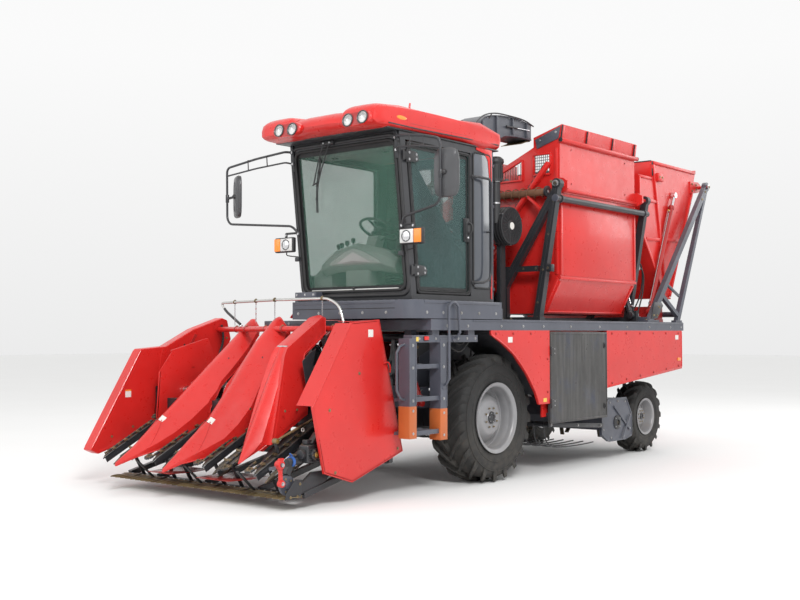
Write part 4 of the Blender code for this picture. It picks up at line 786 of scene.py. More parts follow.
def along(table, x, column):
    """A snout table's value at X."""
    rows = sorted(table)
    for a, b in zip(rows, rows[1:]):
        if a[0] <= x <= b[0]:
            t = (x - a[0]) / (b[0] - a[0])
            return a[column] * (1 - t) + b[column] * t
    return rows[-1][column]


snouts = Piece("row_snouts", "header", "red_paint", ("row_dividers",), smooth=32)
for y, table, label_x, hole_x in ((-1.16, SNOUT_RIGHT, 2.385, 1.62), (-0.47, SNOUT_MIDDLE, 2.385, 1.83)):
    snouts.add(RED, loft_shape([snout_ring(x, y, w, low, shoulder, top, r) for x, w, low, shoulder, top, r in table]))
    for side in (1, -1):
        hem = [(x, y + side * w * 0.975, low + 0.004) for x, w, low, shoulder, top, r in table[1:-1]]
        snouts.add(RED, pipe_shape(curve_through(hem, 2), 0.0065, 8))
        # crease from the ridge down to the foot, where the nose meets the flank
        fold = []
        for k in range(9):
            t = k / 8
            x = 2.40 + 0.235 * t
            w, low, shoulder, top, r = (along(table, x, c) for c in range(1, 6))
            fold.append((x, y + side * (r + (w - r) * t + 0.0005), top + (shoulder - top) * t * 1.02 - 0.002))
        snouts.add(RED, pipe_shape(fold, 0.0035, 6))
        x = hole_x
        w, low, shoulder, top, r = (along(table, x, c) for c in range(1, 6))
        at = Vector((x, y + side * (r + (w - r) * 0.40), shoulder + (top - shoulder) * 0.55))
        way = Vector((0.25, side * 0.75, 0.45)).normalized()
        snouts.add(DARK, rod_shape(at - way * 0.006, at + way * 0.0012, 0.009, 14))
        for share in (0.16, 0.34, 0.52, 0.70, 0.86):  # rivets along the foot
            x = table[3][0] + (table[-3][0] - table[3][0]) * share
            w, low = along(table, x, 1), along(table, x, 2)
            snouts.add(RED, bolt_shape((x, y + side * w * 0.99, low + 0.028), (0, side, 0), 0.0065, True))
    x = label_x
    w, low, shoulder, top, r = (along(table, x, c) for c in range(1, 6))
    slope = Vector((-0.76, 0.0, 0.65)).normalized()
    at = Vector((x, y + r * 0.9, top - 0.004))
    tilt = Vector((0.45, 0.62, 0.55))
    tilt = (tilt - slope * tilt.dot(slope)).normalized()
    snouts.add(PALE, beam_shape(at - slope * 0.032 + tilt * 0.001, at + slope * 0.032 + tilt * 0.001, 0.052, 0.004, slope.cross(tilt), 0.001, 1))

# left hood and the cover in front of it
HOOD = [(2.430, 0.515, 0.170, 2.440, 0.515), (2.300, 0.940, 0.132, 2.285, 0.940), (2.190, 1.270, 0.088, 2.170, 1.270), (2.150, 1.335, 0.080, 2.125, 1.362), (1.925, 1.478, 0.080, 1.890, 1.502),
        (1.715, 1.610, 0.080, 1.660, 1.636), (1.665, 1.600, 0.080, 1.604, 1.618), (1.665, 1.468, 0.080, 1.604, 1.468), (1.815, 1.372, 0.090, 1.750, 1.370), (1.950, 1.290, 0.100, 1.890, 1.285),
        (1.965, 1.255, 0.102, 1.905, 1.250), (1.957, 1.050, 0.128, 1.952, 1.050), (1.955, 0.865, 0.150, 1.952, 0.865), (1.975, 0.752, 0.160, 1.975, 0.752)]
y = 0.22
layers = []
for side, share in ((-1, 1.0), (-1, 0.955), (-1, 0.80), (-1, 0.55), (-1, 0.25), (1, 0.25), (1, 0.55), (1, 0.80), (1, 0.955), (1, 1.0)):
    bulge = math.cos(share * math.pi / 2) ** 0.8 if share < 1 else 0.0
    layers.append([(a + (c - a) * bulge, y + side * w * share, b + (d - b) * bulge) for a, b, w, c, d in HOOD])
snouts.add(RED, loft_shape(layers))
for side in (1, -1):
    cheek = [(a + (1.98 - a) * 0.10, y + side * (w + 0.0015), b + (1.10 - b) * 0.10) for a, b, w, c, d in HOOD]
    inner = [(a, y + side * (w - 0.012), b) for (a, _, b), (_, _, w, _, _) in zip(cheek, HOOD)]
    snouts.add(RED, loft_shape([inner, cheek]))
    edge = [(a, y + side * w, b) for a, b, w, c, d in HOOD]
    snouts.add(RED, pipe_shape(edge[6:13], 0.006, 8))
    snouts.bolts(GOLD, [(1.97 + 0.02 * k, y + side * (0.150 + 0.004 * k), 0.80) for k in (0, 8, 17)], (0, side, 0), 0.008)
COVER = [(2.652, 0.362, 0.006, 2.600, 0.388, 0.020), (2.600, 0.458, 0.014, 2.490, 0.462, 0.074), (2.550, 0.555, 0.020, 2.410, 0.535, 0.110), (2.440, 0.770, 0.020, 2.325, 0.755, 0.104),
         (2.352, 0.940, 0.020, 2.262, 0.930, 0.095), (2.240, 1.160, 0.020, 2.176, 1.130, 0.078), (2.142, 1.346, 0.020, 2.100, 1.305, 0.060)]
rings = []
for x, z, r, u, v, w in COVER:
    half = [(u, w, v), (u + (x - u) * 0.45, w * 0.92, v + (z - v) * 0.5), (u + (x - u) * 0.80, r + (w - r) * 0.42, v + (z - v) * 0.8), (x - (x - u) * 0.03, r * 1.0, z), (x, r * 0.4, z + 0.002)]
    rings.append([(a, y + b, c) for a, b, c in half] + [(a, y - b, c) for a, b, c in reversed(half)])
snouts.add(RED, loft_shape(rings))
for side in (1, -1):
    lip = [(u + 0.002, y + side * (w + 0.012), v + 0.004) for x, z, r, u, v, w in COVER[1:]]
    snouts.add(RED, pipe_shape(curve_through(lip, 3), 0.0055, 8))
    flange = [[(u - 0.004, y + side * (w + 0.004), v), (u - 0.004, y + side * (w + 0.016), v), (u - 0.034, y + side * (w + 0.022), v - 0.006), (u - 0.034, y + side * (w + 0.016), v - 0.006)] for x, z, r, u, v, w in COVER[1:]]
    snouts.add(RED_PAINTED_SHADE, loft_shape(flange))
    x, z, r, u, v, w = COVER[4]
    snouts.add(PALE, box_shape((u - 0.022, u + 0.004), sorted((y + side * (w + 0.0165), y + side * (w + 0.0190))), (v - 0.10, v - 0.04), 0.0005, 1))
# hinge at the cover's top
snouts.rod(STEEL, (2.128, y - 0.062, 1.352), (2.128, y + 0.062, 1.352), 0.008, 12).box(RED, (2.085, 2.128), (y - 0.045, y + 0.045), (1.338, 1.352), 0.002)
# cross tube and its clamps
TUBE = [(1.09, -1.812, 1.51), (1.36, -1.16, 1.51), (1.60, -0.47, 1.51), (1.60, 0.50, 1.51)]
snouts.pipe(RED, TUBE, 0.0275, 20, radius=0.10)
for p, way in (((1.40, -1.045, 1.51), (0.33, 0.94, 0)), ((1.30, -1.30, 1.51), (0.38, 0.92, 0)), ((1.55, -0.605, 1.51), (0.33, 0.94, 0)), ((1.60, -0.32, 1.51), (0, 1, 0)), ((1.60, 0.10, 1.51), (0, 1, 0)), ((1.60, 0.335, 1.51), (0, 1, 0))):
    p, way = Vector(p), Vector(way).normalized()
    snouts.add(RED_PAINTED_SHADE, rod_shape(p - way * 0.014, p + way * 0.014, 0.034, 20, bevel=0.003))
    snouts.add(GOLD, bolt_shape(p + Vector((0, 0, 0.034)), (0, 0, 1), 0.009))
snouts.add(DARK, rod_shape((1.60, 0.495, 1.51), (1.60, 0.506, 1.51), 0.0225, 16, bevel=0.002))
snouts.done()

# ---------------------------------------------------------------- right end divider
wing = Piece("end_divider_trim", "header", "red_paint")
for y in (-1.8305, -1.9495):
    out = 1 if y > -1.9 else -1
    # folded front edge, seam strip, foot rail
    wing.add(RED, pipe_shape([(2.672, y - out * 0.006, 0.370), (2.40, y - out * 0.004, 0.815), (2.108, y - out * 0.004, 1.292)], 0.010, 10))
    wing.add(RED, beam_shape((1.836, y + out * 0.0005, 1.325), (1.965, y + out * 0.0005, 0.52), 0.004, 0.014, (0, 1, 0), 0.001))
    wing.add(RED, beam_shape((2.60, y + out * 0.001, 0.322), (2.05, y + out * 0.001, 0.475), 0.005, 0.020, (0, 1, 0), 0.0015))
    wing.add(RED, beam_shape((2.04, y + out * 0.001, 0.475), (1.30, y + out * 0.001, 0.640), 0.005, 0.020, (0, 1, 0), 0.0015))
    wing.add(DARK, rod_shape((1.553, y - out * 0.003, 1.351), (1.553, y + out * 0.0012, 1.351), 0.010, 14))
    wing.bolts(GOLD, [(2.45, y, 0.46), (2.20, y, 0.54), (1.66, y, 0.66), (1.38, y, 0.74), (1.10, y, 1.12), (0.97, y, 1.42)], (0, out, 0), 0.009)
wing.add(PALE, box_shape((2.225, 2.295), (-1.8302, -1.8282), (0.835, 0.910), 0.0008, 1))
wing.add(AMBER, box_shape((2.225, 2.295), (-1.8300, -1.8278), (0.896, 0.910), 0.0004, 1))
# inner sheets that close the row off from the trough, and a stiffening rib
wing.add(RED, plate_shape([(2.06, 0.62), (2.02, 1.10), (1.86, 1.30), (1.40, 1.42), (1.33, 1.28), (1.33, 0.72), (1.42, 0.56), (1.92, 0.49)], "XZ", -1.640, -1.632, 0.001))
wing.add(RED, beam_shape((2.052, -1.640, 0.63), (2.020, -1.640, 1.09), 0.016, 0.016, (0, 1, 0), 0.003), beam_shape((1.88, -1.643, 1.29), (1.41, -1.643, 1.412), 0.016, 0.016, (0, 1, 0), 0.003))
for z in (0.80, 1.12):
    wing.add(RED_PAINTED_SHADE, beam_shape((1.60, -1.632, z), (1.60, -1.826, z), 0.040, 0.012, (1, 0, 0), 0.002))
wing.add(RED_PAINTED_SHADE, beam_shape((1.40, -1.826, 1.46), (1.84, -1.826, 0.80), 0.008, 0.030, (0, 1, 0), 0.002))
wing.pipe(DARK, [(1.05, -1.822, 1.56), (1.02, -1.816, 1.40), (1.10, -1.815, 1.22)], 0.012, 10, radius=0.08)
wing.done()

# ---------------------------------------------------------------- left shield
shield = Piece("end_shield_trim", "header", "red_paint")
EDGE = [(1.594, 1.590), (1.964, 1.561), (2.437, 0.861), (2.365, 0.559), (2.299, 0.297), (1.951, 0.190), (1.269, 0.402)]
shield.bolts(GOLD, [(1.862, 0.892, 1.121), (2.237, 0.892, 0.822), (2.167, 0.892, 0.294), (1.345, 0.892, 0.432)], (0, 1, 0), 0.010)
shield.box(PALE, (1.680, 1.745), (0.891, 0.8938), (1.435, 1.500), 0.0008, 1)
inner = [(a + (1.93 - a) * 0.02, b + (0.9 - b) * 0.02) for a, b in EDGE]
for a, b in zip(inner, inner[1:] + inner[:1]):
    shield.add(RED, beam_shape((a[0], 0.886, a[1]), (b[0], 0.886, b[1]), 0.012, 0.012, (0, 1, 0), 0.003))
shield.box(RED, (1.62, 1.93), (0.70, 0.864), (1.566, 1.572), 0.002)
shield.add(RED_PAINTED_SHADE, beam_shape((1.62, 0.875, 1.50), (1.36, 0.875, 0.55), 0.018, 0.03, (0, 1, 0), 0.003), beam_shape((2.25, 0.875, 0.62), (1.42, 0.875, 0.62), 0.018, 0.03, (0, 1, 0), 0.003))
shield.pipe(RED, [(1.545, 0.896, 1.20), (1.500, 0.915, 1.215), (1.470, 0.915, 1.17), (1.455, 0.896, 1.12)], 0.007, 8, radius=0.03)
shield.done()

# ---------------------------------------------------------------- row units: decks, rolls, gathering chains
deck_way, deck_up = Vector((-0.891, 0.0, 0.454)), Vector((0.454, 0.0, 0.891))


def on_deck(t, y, h=0.0):
    return Vector((2.80, y, 0.228)) + deck_way * t + deck_up * h


# the four rows: edges of the gap, then where each side's deck starts and how far it reaches outwards
GAPS = [(-1.62, -1.41, 0.14, 0.050, 0.17, 0.215), (-0.91, -0.72, 0.17, 0.215, 0.17, 0.215), (-0.22, -0.03, 0.17, 0.215, 0.14, 0.200), (0.47, 0.66, 0.14, 0.200, 0.30, 0.070)]
units = Piece("row_unit_parts", "header", "worn_iron", ("row_units",), smooth=30)
for low, high, low_start, low_reach, high_start, high_reach in GAPS:
    middle = (low + high) / 2
    for side, y, start, reach in ((-1, low, low_start, low_reach), (1, high, high_start, high_reach)):
        # deck plate: a narrow nose that widens under the snout, its folded flange, the stripper and its lip
        wide = [on_deck(t, y, 0.0) for t in (start, 1.055)] + [on_deck(1.055, y + side * reach, 0.0), on_deck(0.52, y + side * reach, 0.0), on_deck(start + 0.10, y + side * min(reach, 0.080), 0.0), on_deck(start, y + side * 0.030, 0.0)]
        units.add(DARK, loft_shape([[p + deck_up * h for p in wide] for h in (-0.006, 0.0)]))
        units.add(DARK, beam_shape(on_deck(start, y + side * 0.004, -0.028), on_deck(1.05, y + side * 0.004, -0.028), 0.008, 0.056, (0, 1, 0), 0.001))
        units.add(IRON, beam_shape(on_deck(start + 0.02, y + side * 0.022, 0.003), on_deck(0.90, y + side * 0.022, 0.003), 0.040, 0.006, (0, 1, 0), 0.0015))
        units.add(DARK, pipe_shape([on_deck(start - 0.015, y + side * 0.020, -0.010), on_deck(start + 0.03, y + side * 0.006, 0.004), on_deck(0.90, y + side * 0.006, 0.004)], 0.006, 8))
        units.bolts(DARK, [on_deck(t, y + side * 0.030, 0.003) for t in (0.30, 0.46, 0.62, 0.78)], deck_up, 0.009)
        # snapping roll with ribs, and its pointed tip
        ry = middle + side * 0.047
        a, b = on_deck(start + 0.12, ry, -0.085), on_deck(0.93, ry, -0.085)
        units.add(IRON, rod_shape(a, b, 0.026, 16), rod_shape(on_deck(start + 0.02, ry, -0.085), a, 0.006, 16, 0.026))
        for k in range(4):
            turn = math.radians(90 * k + 20)
            off = Vector((0, math.cos(turn), 0)) * 0.030 + deck_up * (math.sin(turn) * 0.030)
            units.add(STEEL, beam_shape(a + off, b + off, 0.008, 0.006, (0, 1, 0), 0.001))
        # chain: run along the gap, turn round the front idler, start of the return run
        cy = y + side * (0.058 if reach > 0.1 else 0.030)
        begin = start + 0.035
        path = [on_deck(t, cy, 0.022) for t in [begin + 0.0385 * k for k in range(int((0.865 - begin) / 0.0385))]]
        if reach > 0.1:
            for k in range(1, 6):
                turn = math.pi * k / 6
                path.insert(0, on_deck(begin - math.sin(turn) * 0.040, cy + side * (0.040 - math.cos(turn) * 0.040), 0.022))
            for k in range(1, 4):
                path.insert(0, on_deck(begin + 0.0385 * k, cy + side * 0.080, 0.022))
        for k, (p, q) in enumerate(zip(path, path[1:])):
            way = (q - p).normalized()
            mid = (p + q) / 2
            units.add(DARK if k % 2 else KNIFE, beam_shape(mid - way * 0.021, mid + way * 0.021, 0.020 if k % 2 else 0.013, 0.017, deck_up.cross(way), 0.003, 1))
            units.add(IRON, rod_shape(p - deck_up * 0.012, p + deck_up * 0.012, 0.0062, 8))
            if k % 4 == 2 and (k > 8 or reach < 0.1):  # gathering finger
                out = Vector((0, -side, 0))
                units.add(KNIFE, loft_shape([
                    [mid + out * 0.006 + way * a + deck_up * b for a, b in ((-0.017, -0.004), (0.017, -0.004), (0.017, 0.006), (-0.017, 0.006))],
                    [mid + out * 0.045 + way * a + deck_up * b for a, b in ((-0.015, -0.002), (0.009, -0.002), (0.009, 0.010), (-0.015, 0.010))],
                    [mid + out * 0.062 + way * a + deck_up * b for a, b in ((-0.012, 0.004), (0.000, 0.004), (0.000, 0.022), (-0.012, 0.022))]]))
        if reach > 0.1:
            idler = on_deck(begin, cy + side * 0.040, 0.022)
            units.add(KNIFE, rod_shape(idler - deck_up * 0.006, idler + deck_up * 0.006, 0.030, 20), rod_shape(idler - deck_up * 0.014, idler + deck_up * 0.014, 0.013, 14))
            units.add(IRON, bolt_shape(idler + deck_up * 0.014, deck_up, 0.009))
        # drive sprocket at the top
        top = on_deck(0.865, cy + side * 0.040, 0.022)
        units.add(IRON, rod_shape(top - deck_up * 0.005, top + deck_up * 0.005, 0.036, 11), rod_shape(top - deck_up * 0.02, top + deck_up * 0.02, 0.018, 14))
    # gear case under the rear of each pair of rolls
    units.add(DARK, beam_shape(on_deck(0.86, middle, -0.10), on_deck(1.03, middle, -0.10), 0.175, 0.085, (0, 1, 0), 0.012))
    units.bolts(GOLD, [on_deck(0.86, middle + dy, -0.10) + deck_up * dz for dy in (-0.07, 0.07) for dz in (-0.028, 0.028)], -deck_way, 0.008)
# bars that carry the deck noses, from the cross beam behind the knife
for y in (-1.39, -0.93, -0.70, -0.24, -0.01, 0.45):
    units.add(DARK, beam_shape((2.39, y, 0.120), on_deck(0.30, y, -0.03), 0.020, 0.030, (0, 1, 0), 0.003))
# dark throat sheets beside the left row
for y, outline in ((0.432, [(2.10, 1.225), (2.00, 1.300), (1.930, 1.330), (1.975, 1.160), (1.790, 1.290), (1.690, 1.250), (1.700, 0.905), (1.955, 0.83), (2.02, 0.868)]),
                   (0.672, [(2.02, 1.20), (1.80, 1.34), (1.66, 1.36), (1.66, 0.95), (1.94, 0.84), (2.05, 0.90)])):
    units.plate(DARK, outline, "XZ", y, y + 0.006, 0.001)
units.done()

# ---------------------------------------------------------------- knife
knife = Piece("knife_bar", "header", "worn_iron", ("cutter_bar",), smooth=30)
knife.box(KNIFE, (2.425, 2.470), (-1.612, 0.756), (0.100, 0.127), 0.003)
knife.add(IRON, plate_shape([(2.465, -1.60), (2.500, -1.60), (2.500, 0.745), (2.465, 0.745)], "XY", 0.110, 0.122, 0.001))
count = 31
for i in range(count):
    y = -1.572 + i * 0.0762
    # guard: rooted on the bar, pointed at the front
    rings = []
    for x, half, low, high in ((2.432, 0.026, 0.098, 0.118), (2.480, 0.020, 0.098, 0.116), (2.510, 0.011, 0.099, 0.121), (2.575, 0.0095, 0.101, 0.125), (2.620, 0.007, 0.104, 0.122), (2.649, 0.002, 0.108, 0.115)):
        rings.append([(x, y - half, low), (x, y + half, low), (x, y + half * 0.8, high), (x, y - half * 0.8, high)])
    knife.add(GOLD if i % 4 else KNIFE, loft_shape(rings))
    knife.add(STEEL, bolt_shape((2.447, y, 0.127), (0, 0, 1), 0.0075, False))
    # section: a toothed blade between two guards
    c = y + 0.0381
    knife.add(KNIFE if i % 2 else GOLD, plate_shape([(2.470, c - 0.036), (2.500, c - 0.036), (2.562, c - 0.008), (2.562, c + 0.008), (2.500, c + 0.036), (2.470, c + 0.036)], "XY", 0.1165, 0.1195))
    if i % 5 == 2:
        knife.add(IRON, beam_shape((2.44, c, 0.133), (2.515, c, 0.124), 0.03, 0.006, (0, 1, 0), 0.001))
# beam brackets and cross beam behind
knife.box(DARK, (2.33, 2.425), (-1.60, 0.75), (0.112, 0.122), 0.002)
# drive end: end plate, disc, lever, band and gear case
knife.plate(DARK, [(2.62, 0.100), (2.44, 0.100), (2.42, 0.250), (2.50, 0.262), (2.60, 0.160)], "XZ", 0.748, 0.757, 0.002)
knife.bolts(GOLD, [(2.56, 0.757, 0.118), (2.48, 0.757, 0.118), (2.45, 0.757, 0.22)], (0, 1, 0), 0.009)
knife.done()
drive = Piece("knife_drive", "header", "grey_paint", smooth=30)
drive.add(GREY, lathe_shape([(-0.010, 0.0), (-0.010, 0.082), (0.004, 0.086), (0.012, 0.080), (0.012, 0.030), (0.022, 0.028), (0.022, 0.0)], (2.555, 0.700, 0.215), 36))
drive.bolts(GOLD, [(2.555 + 0.055 * math.cos(math.radians(72 * k)), 0.712, 0.215 + 0.055 * math.sin(math.radians(72 * k))) for k in range(5)], (0, 1, 0), 0.007)
lever = [[(2.628 + a, 0.715 + b, 0.445) for a, b in ((-0.024, -0.012), (0.024, -0.012), (0.024, 0.014), (-0.024, 0.014))],
         [(2.650 + a, 0.718 + b, 0.40) for a, b in ((-0.030, -0.014), (0.030, -0.014), (0.030, 0.016), (-0.030, 0.016))],
         [(2.640 + a, 0.718 + b, 0.33) for a, b in ((-0.016, -0.010), (0.016, -0.010), (0.016, 0.012), (-0.016, 0.012))],
         [(2.636 + a, 0.716 + b, 0.27) for a, b in ((-0.018, -0.010), (0.018, -0.010), (0.018, 0.012), (-0.018, 0.012))],
         [(2.634 + a, 0.716 + b, 0.222) for a, b in ((-0.026, -0.012), (0.026, -0.012), (0.026, 0.014), (-0.026, 0.014))]]
drive.add(RED, rounded(loft_shape(lever), 0.004))
drive.add(RED, rod_shape((2.648, 0.690, 0.392), (2.648, 0.746, 0.392), 0.036, 20, bevel=0.004), rod_shape((2.634, 0.700, 0.236), (2.634, 0.742, 0.236), 0.030, 20, bevel=0.004))
drive.add(GREY, rod_shape((2.70, 0.716, 0.372), (2.755, 0.716, 0.368), 0.016, 14, bevel=0.003), rod_shape((2.648, 0.742, 0.392), (2.648, 0.758, 0.392), 0.018, 14, bevel=0.003))
drive.add(STEEL, bolt_shape((2.648, 0.758, 0.392), (0, 1, 0), 0.011), bolt_shape((2.634, 0.742, 0.236), (0, 1, 0), 0.012))
drive.add(DARK, beam_shape((2.56, 0.70, 0.30), (2.46, 0.69, 0.45), 0.06, 0.05, (0, 1, 0), 0.008), rod_shape((2.20, 0.70, 0.42), (2.55, 0.70, 0.40), 0.034, 20, bevel=0.003))
drive.add(BLUE, lathe_shape([(-0.012, 0.036), (-0.012, 0.046), (0.012, 0.046), (0.012, 0.036)], (2.50, 0.70, 0.403), 28, closed=True, axis="X"), rod_shape((2.488, 0.70, 0.452), (2.512, 0.70, 0.470), 0.008, 8))
# gear case with ribs and a brass cap
drive.add(DARK, rounded(box_shape((2.255, 2.405), (0.690, 0.800), (0.385, 0.535), 0.016, 3), 0.0))
for z in (0.42, 0.46, 0.50):
    drive.add(DARK, box_shape((2.262, 2.398), (0.796, 0.808), (z - 0.004, z + 0.004), 0.002, 1))
drive.add(DARK, rod_shape((2.33, 0.80, 0.455), (2.33, 0.830, 0.455), 0.050, 28, bevel=0.004), rod_shape((2.405, 0.745, 0.46), (2.445, 0.745, 0.46), 0.040, 24, bevel=0.004))
drive.add(BRASS, rod_shape((2.33, 0.830, 0.455), (2.33, 0.842, 0.455), 0.026, 24, bevel=0.003), bolt_shape((2.33, 0.842, 0.455), (0, 1, 0), 0.011))
drive.bolts(GOLD, [(2.33 + 0.040 * math.cos(math.radians(60 * k)), 0.830, 0.455 + 0.040 * math.sin(math.radians(60 * k))) for k in range(6)], (0, 1, 0), 0.006, False)
drive.add(DARK, beam_shape((2.32, 0.75, 0.53), (2.22, 0.74, 0.62), 0.07, 0.05, (0, 1, 0), 0.008), box_shape((2.31, 2.37), (0.70, 0.76), (0.535, 0.575), 0.006))
# tan tie bar with its eyes, and a clip
drive.add(GOLD, rod_shape((2.520, 0.540, 0.565), (2.060, 0.575, 0.742), 0.011, 14), rod_shape((2.520, 0.515, 0.565), (2.520, 0.565, 0.565), 0.024, 18, bevel=0.003), rod_shape((2.060, 0.550, 0.742), (2.060, 0.600, 0.742), 0.024, 18, bevel=0.003))
drive.add(BRASS, bolt_shape((2.520, 0.565, 0.565), (0, 1, 0), 0.012), bolt_shape((2.060, 0.600, 0.742), (0, 1, 0), 0.012))
drive.add(DARK, beam_shape((2.52, 0.54, 0.545), (2.47, 0.52, 0.46), 0.03, 0.02, (0, 1, 0), 0.004), beam_shape((2.06, 0.575, 0.725), (2.00, 0.62, 0.66), 0.03, 0.02, (0, 1, 0), 0.004))
drive.add(PALE, lathe_shape([(-0.003, 0.012), (-0.003, 0.018), (0.003, 0.018), (0.003, 0.012)], (2.26, 0.60, 0.645), 18, closed=True))
# idler arms and a chain case behind them
drive.add(DARK, plate_shape([(1.98, 0.50), (2.20, 0.46), (2.24, 0.60), (2.06, 0.90), (1.95, 0.98), (1.90, 0.80)], "XZ", 0.700, 0.735, 0.006), rod_shape((2.02, 0.735, 0.86), (2.02, 0.765, 0.86), 0.070, 28, bevel=0.004))
drive.bolts(GOLD, [(1.99, 0.735, 0.56), (2.18, 0.735, 0.53), (2.10, 0.735, 0.70), (1.95, 0.735, 0.90), (2.02, 0.765, 0.86)], (0, 1, 0), 0.010)
drive.add(RED_PAINTED_SHADE, plate_shape([(1.74, 1.30), (1.66, 1.42), (1.72, 1.44), (1.86, 1.12), (1.82, 1.08)], "XZ", 0.640, 0.652, 0.002))
drive.bolts(GOLD, [(1.72, 0.652, 1.38), (1.78, 0.652, 1.24), (1.82, 0.652, 1.14)], (0, 1, 0), 0.009)
drive.add(DARK, box_shape((1.62, 1.72), (0.56, 0.66), (1.32, 1.53), 0.01), rod_shape((1.66, 0.50, 1.48), (1.66, 0.68, 1.48), 0.022, 16))
drive.bolts(GOLD, [(1.72, 0.61, z) for z in (1.36, 1.42, 1.48)], (1, 0, 0), 0.010)
drive.done()

# red guards under the front of the decks
low = Piece("row_lower_guards", "header", "red_paint")
for a, b in ((-1.04, -0.72), (-0.36, 0.06)):
    low.add(RED_PAINTED_SHADE, plate_shape([(2.62, a), (2.62, b), (2.40, b + 0.05), (2.16, b), (2.16, a), (2.36, a - 0.05)], "XY", 0.196, 0.201, 0.0008))
for y in (-1.16, -0.47, 0.22):
    low.add(DARK, beam_shape((2.47, y, 0.128), (2.66, y, 0.300), 0.035, 0.012, (0, 1, 0), 0.002))
low.done()

# ---------------------------------------------------------------- guard rail
rail = Piece("hand_rail", "header", "silver_paint", ("guard_rail",), smooth=40)
RAIL_LINE = [(1.362, -1.18, 1.562), (1.345, -1.42, 1.70), (1.34, -1.50, 1.785), (1.58, -0.45, 1.79), (1.60, 0.28, 1.79), (1.60, 0.42, 1.72), (1.60, 0.47, 1.556)]
dark_part = bent(RAIL_LINE, 0.07)
rail.add(RAIL, pipe_shape(dark_part[4:], 0.0135, 14))
rail.add(DARK, pipe_shape(dark_part[:6], 0.0138, 14))
rail.add(RAIL, rod_shape((1.60, 0.47, 1.540), (1.60, 0.47, 1.550), 0.030, 18, bevel=0.002), rod_shape((1.362, -1.18, 1.541), (1.362, -1.18, 1.551), 0.028, 18, bevel=0.002))
CHAINS = ((1.400, -1.22, 1.787, 0.20), (1.500, -0.80, 1.789, 0.18), (1.580, -0.45, 1.790, 0.16), (1.60, 0.20, 1.790, 0.14))
for x, y, z, drop in CHAINS:
    rail.add(KNIFE, rod_shape((x, y - 0.010, z), (x, y + 0.010, z), 0.0195, 16, bevel=0.002), bolt_shape((x, y, z + 0.019), (0, 0, 1), 0.007))
rail.done()
hanging = Piece("pin_chains", "header", "steel", smooth=60)
for n, (x, y, z, drop) in enumerate(CHAINS):
    links = int(drop / 0.0165)
    for k in range(links):
        top = z - 0.020 - 0.0165 * k
        turn = Vector((1, 0, 0)) if k % 2 else Vector((0, 1, 0))
        loop = [Vector((x, y, top)) + turn * (math.cos(a) * 0.0055) + Vector((0, 0, 1)) * (math.sin(a) * 0.0105 - 0.008) for a in (2 * math.pi * m / 8 for m in range(8))]
        hanging.add(RED_PAINTED_SHADE if n == 1 and k % 3 == 0 else STEEL, pipe_shape(loop, 0.0021, 5, closed=True))
    hanging.add(STEEL, rod_shape((x, y, z - 0.020 - 0.0165 * links + 0.002), (x, y, z - 0.045 - 0.0165 * links), 0.0045, 10, 0.003))
hanging.done()

# ---------------------------------------------------------------- header back: brackets, pins and pipes
hitch = Piece("header_back_parts", "header", "dark_paint")
for y in (0.53, -0.53):
    for t in (0.25, 0.55, 0.85):
        p = Vector((0.35, y, 1.42)).lerp(Vector((1.42, y, 0.99)), t)
        hitch.bolts(GOLD, [p + Vector((0.025, 0.031 if y > 0 else -0.031, 0.02))], (0, 1 if y > 0 else -1, 0), 0.011)
    hitch.add(STEEL, rod_shape((0.95, y - 0.055, 1.36), (0.95, y + 0.055, 1.36), 0.016, 16, bevel=0.003))
hitch.add(DARK, beam_shape((1.42, -1.70, 0.80), (1.42, 0.74, 0.80), 0.05, 0.05, (0, 0, 1), 0.004))
for y in (-1.45, -0.82, -0.13, 0.56):
    hitch.add(DARK, plate_shape([(1.40, 0.42), (1.47, 0.42), (1.47, 0.68), (1.40, 0.92)], "XZ", y - 0.006, y + 0.006, 0.001))
hitch.add(DARK, box_shape((1.36, 1.46), (-1.76, 0.78), (1.069, 1.078), 0.002))
hitch.bolts(GOLD, [(1.43, y, 1.078) for y in (-1.6, -1.3, -1.0, -0.7, -0.4, -0.1, 0.2, 0.5)], (0, 0, 1), 0.011)
hitch.add(RED_PAINTED_SHADE, plate_shape([(1.50, 0.66), (1.90, 0.66), (1.90, 0.62), (1.52, 0.60)], "XZ", -1.80, 0.82, 0.002))
hitch.done()


# ================================================================ cab
def cab_front(z, out=0.0):
    """X of the cab's leaning front at a height."""
    return 1.37 + 0.1172 * (z - 1.7665) + out


def oval_shape(at, way, up, half_wide, half_high, deep, power=3.0, steps=32, crown=0.0, draft=0.0):
    """A rounded-square plate that stands on a point, facing the way, with an optional crowned front."""
    at, way = Vector(at), Vector(way).normalized()
    up = (Vector(up) - way * way.dot(Vector(up))).normalized()
    side = up.cross(way)
    layers = [(0.0, 1.0), (deep * 0.75, 1.0 - draft * 0.5), (deep, 0.955 - draft)]
    if crown > 0:
        layers += [(deep + crown * 0.6, 0.72 - draft), (deep + crown * 0.9, 0.40), (deep + crown, 0.12)]
    sections = []
    for level, share in layers:
        ring = []
        for k in range(steps):
            a = 2 * math.pi * k / steps
            c, s = math.cos(a), math.sin(a)
            x = math.copysign(abs(c) ** (2 / power), c) * half_wide * share
            z = math.copysign(abs(s) ** (2 / power), s) * half_high * share
            ring.append(at + way * level + side * x + up * z)
        sections.append(ring)
    return loft_shape(sections)


def turned_shape(profile, at, way, steps=32):
    """A profile of (along, radius) turned about the way, from the point."""
    bm = lathe_shape(profile, (0, 0, 0), steps, axis="Z")
    bm.transform(Matrix.Translation(Vector(at)) @ Vector(way).to_track_quat("Z", "Y").to_matrix().to_4x4())
    return bm


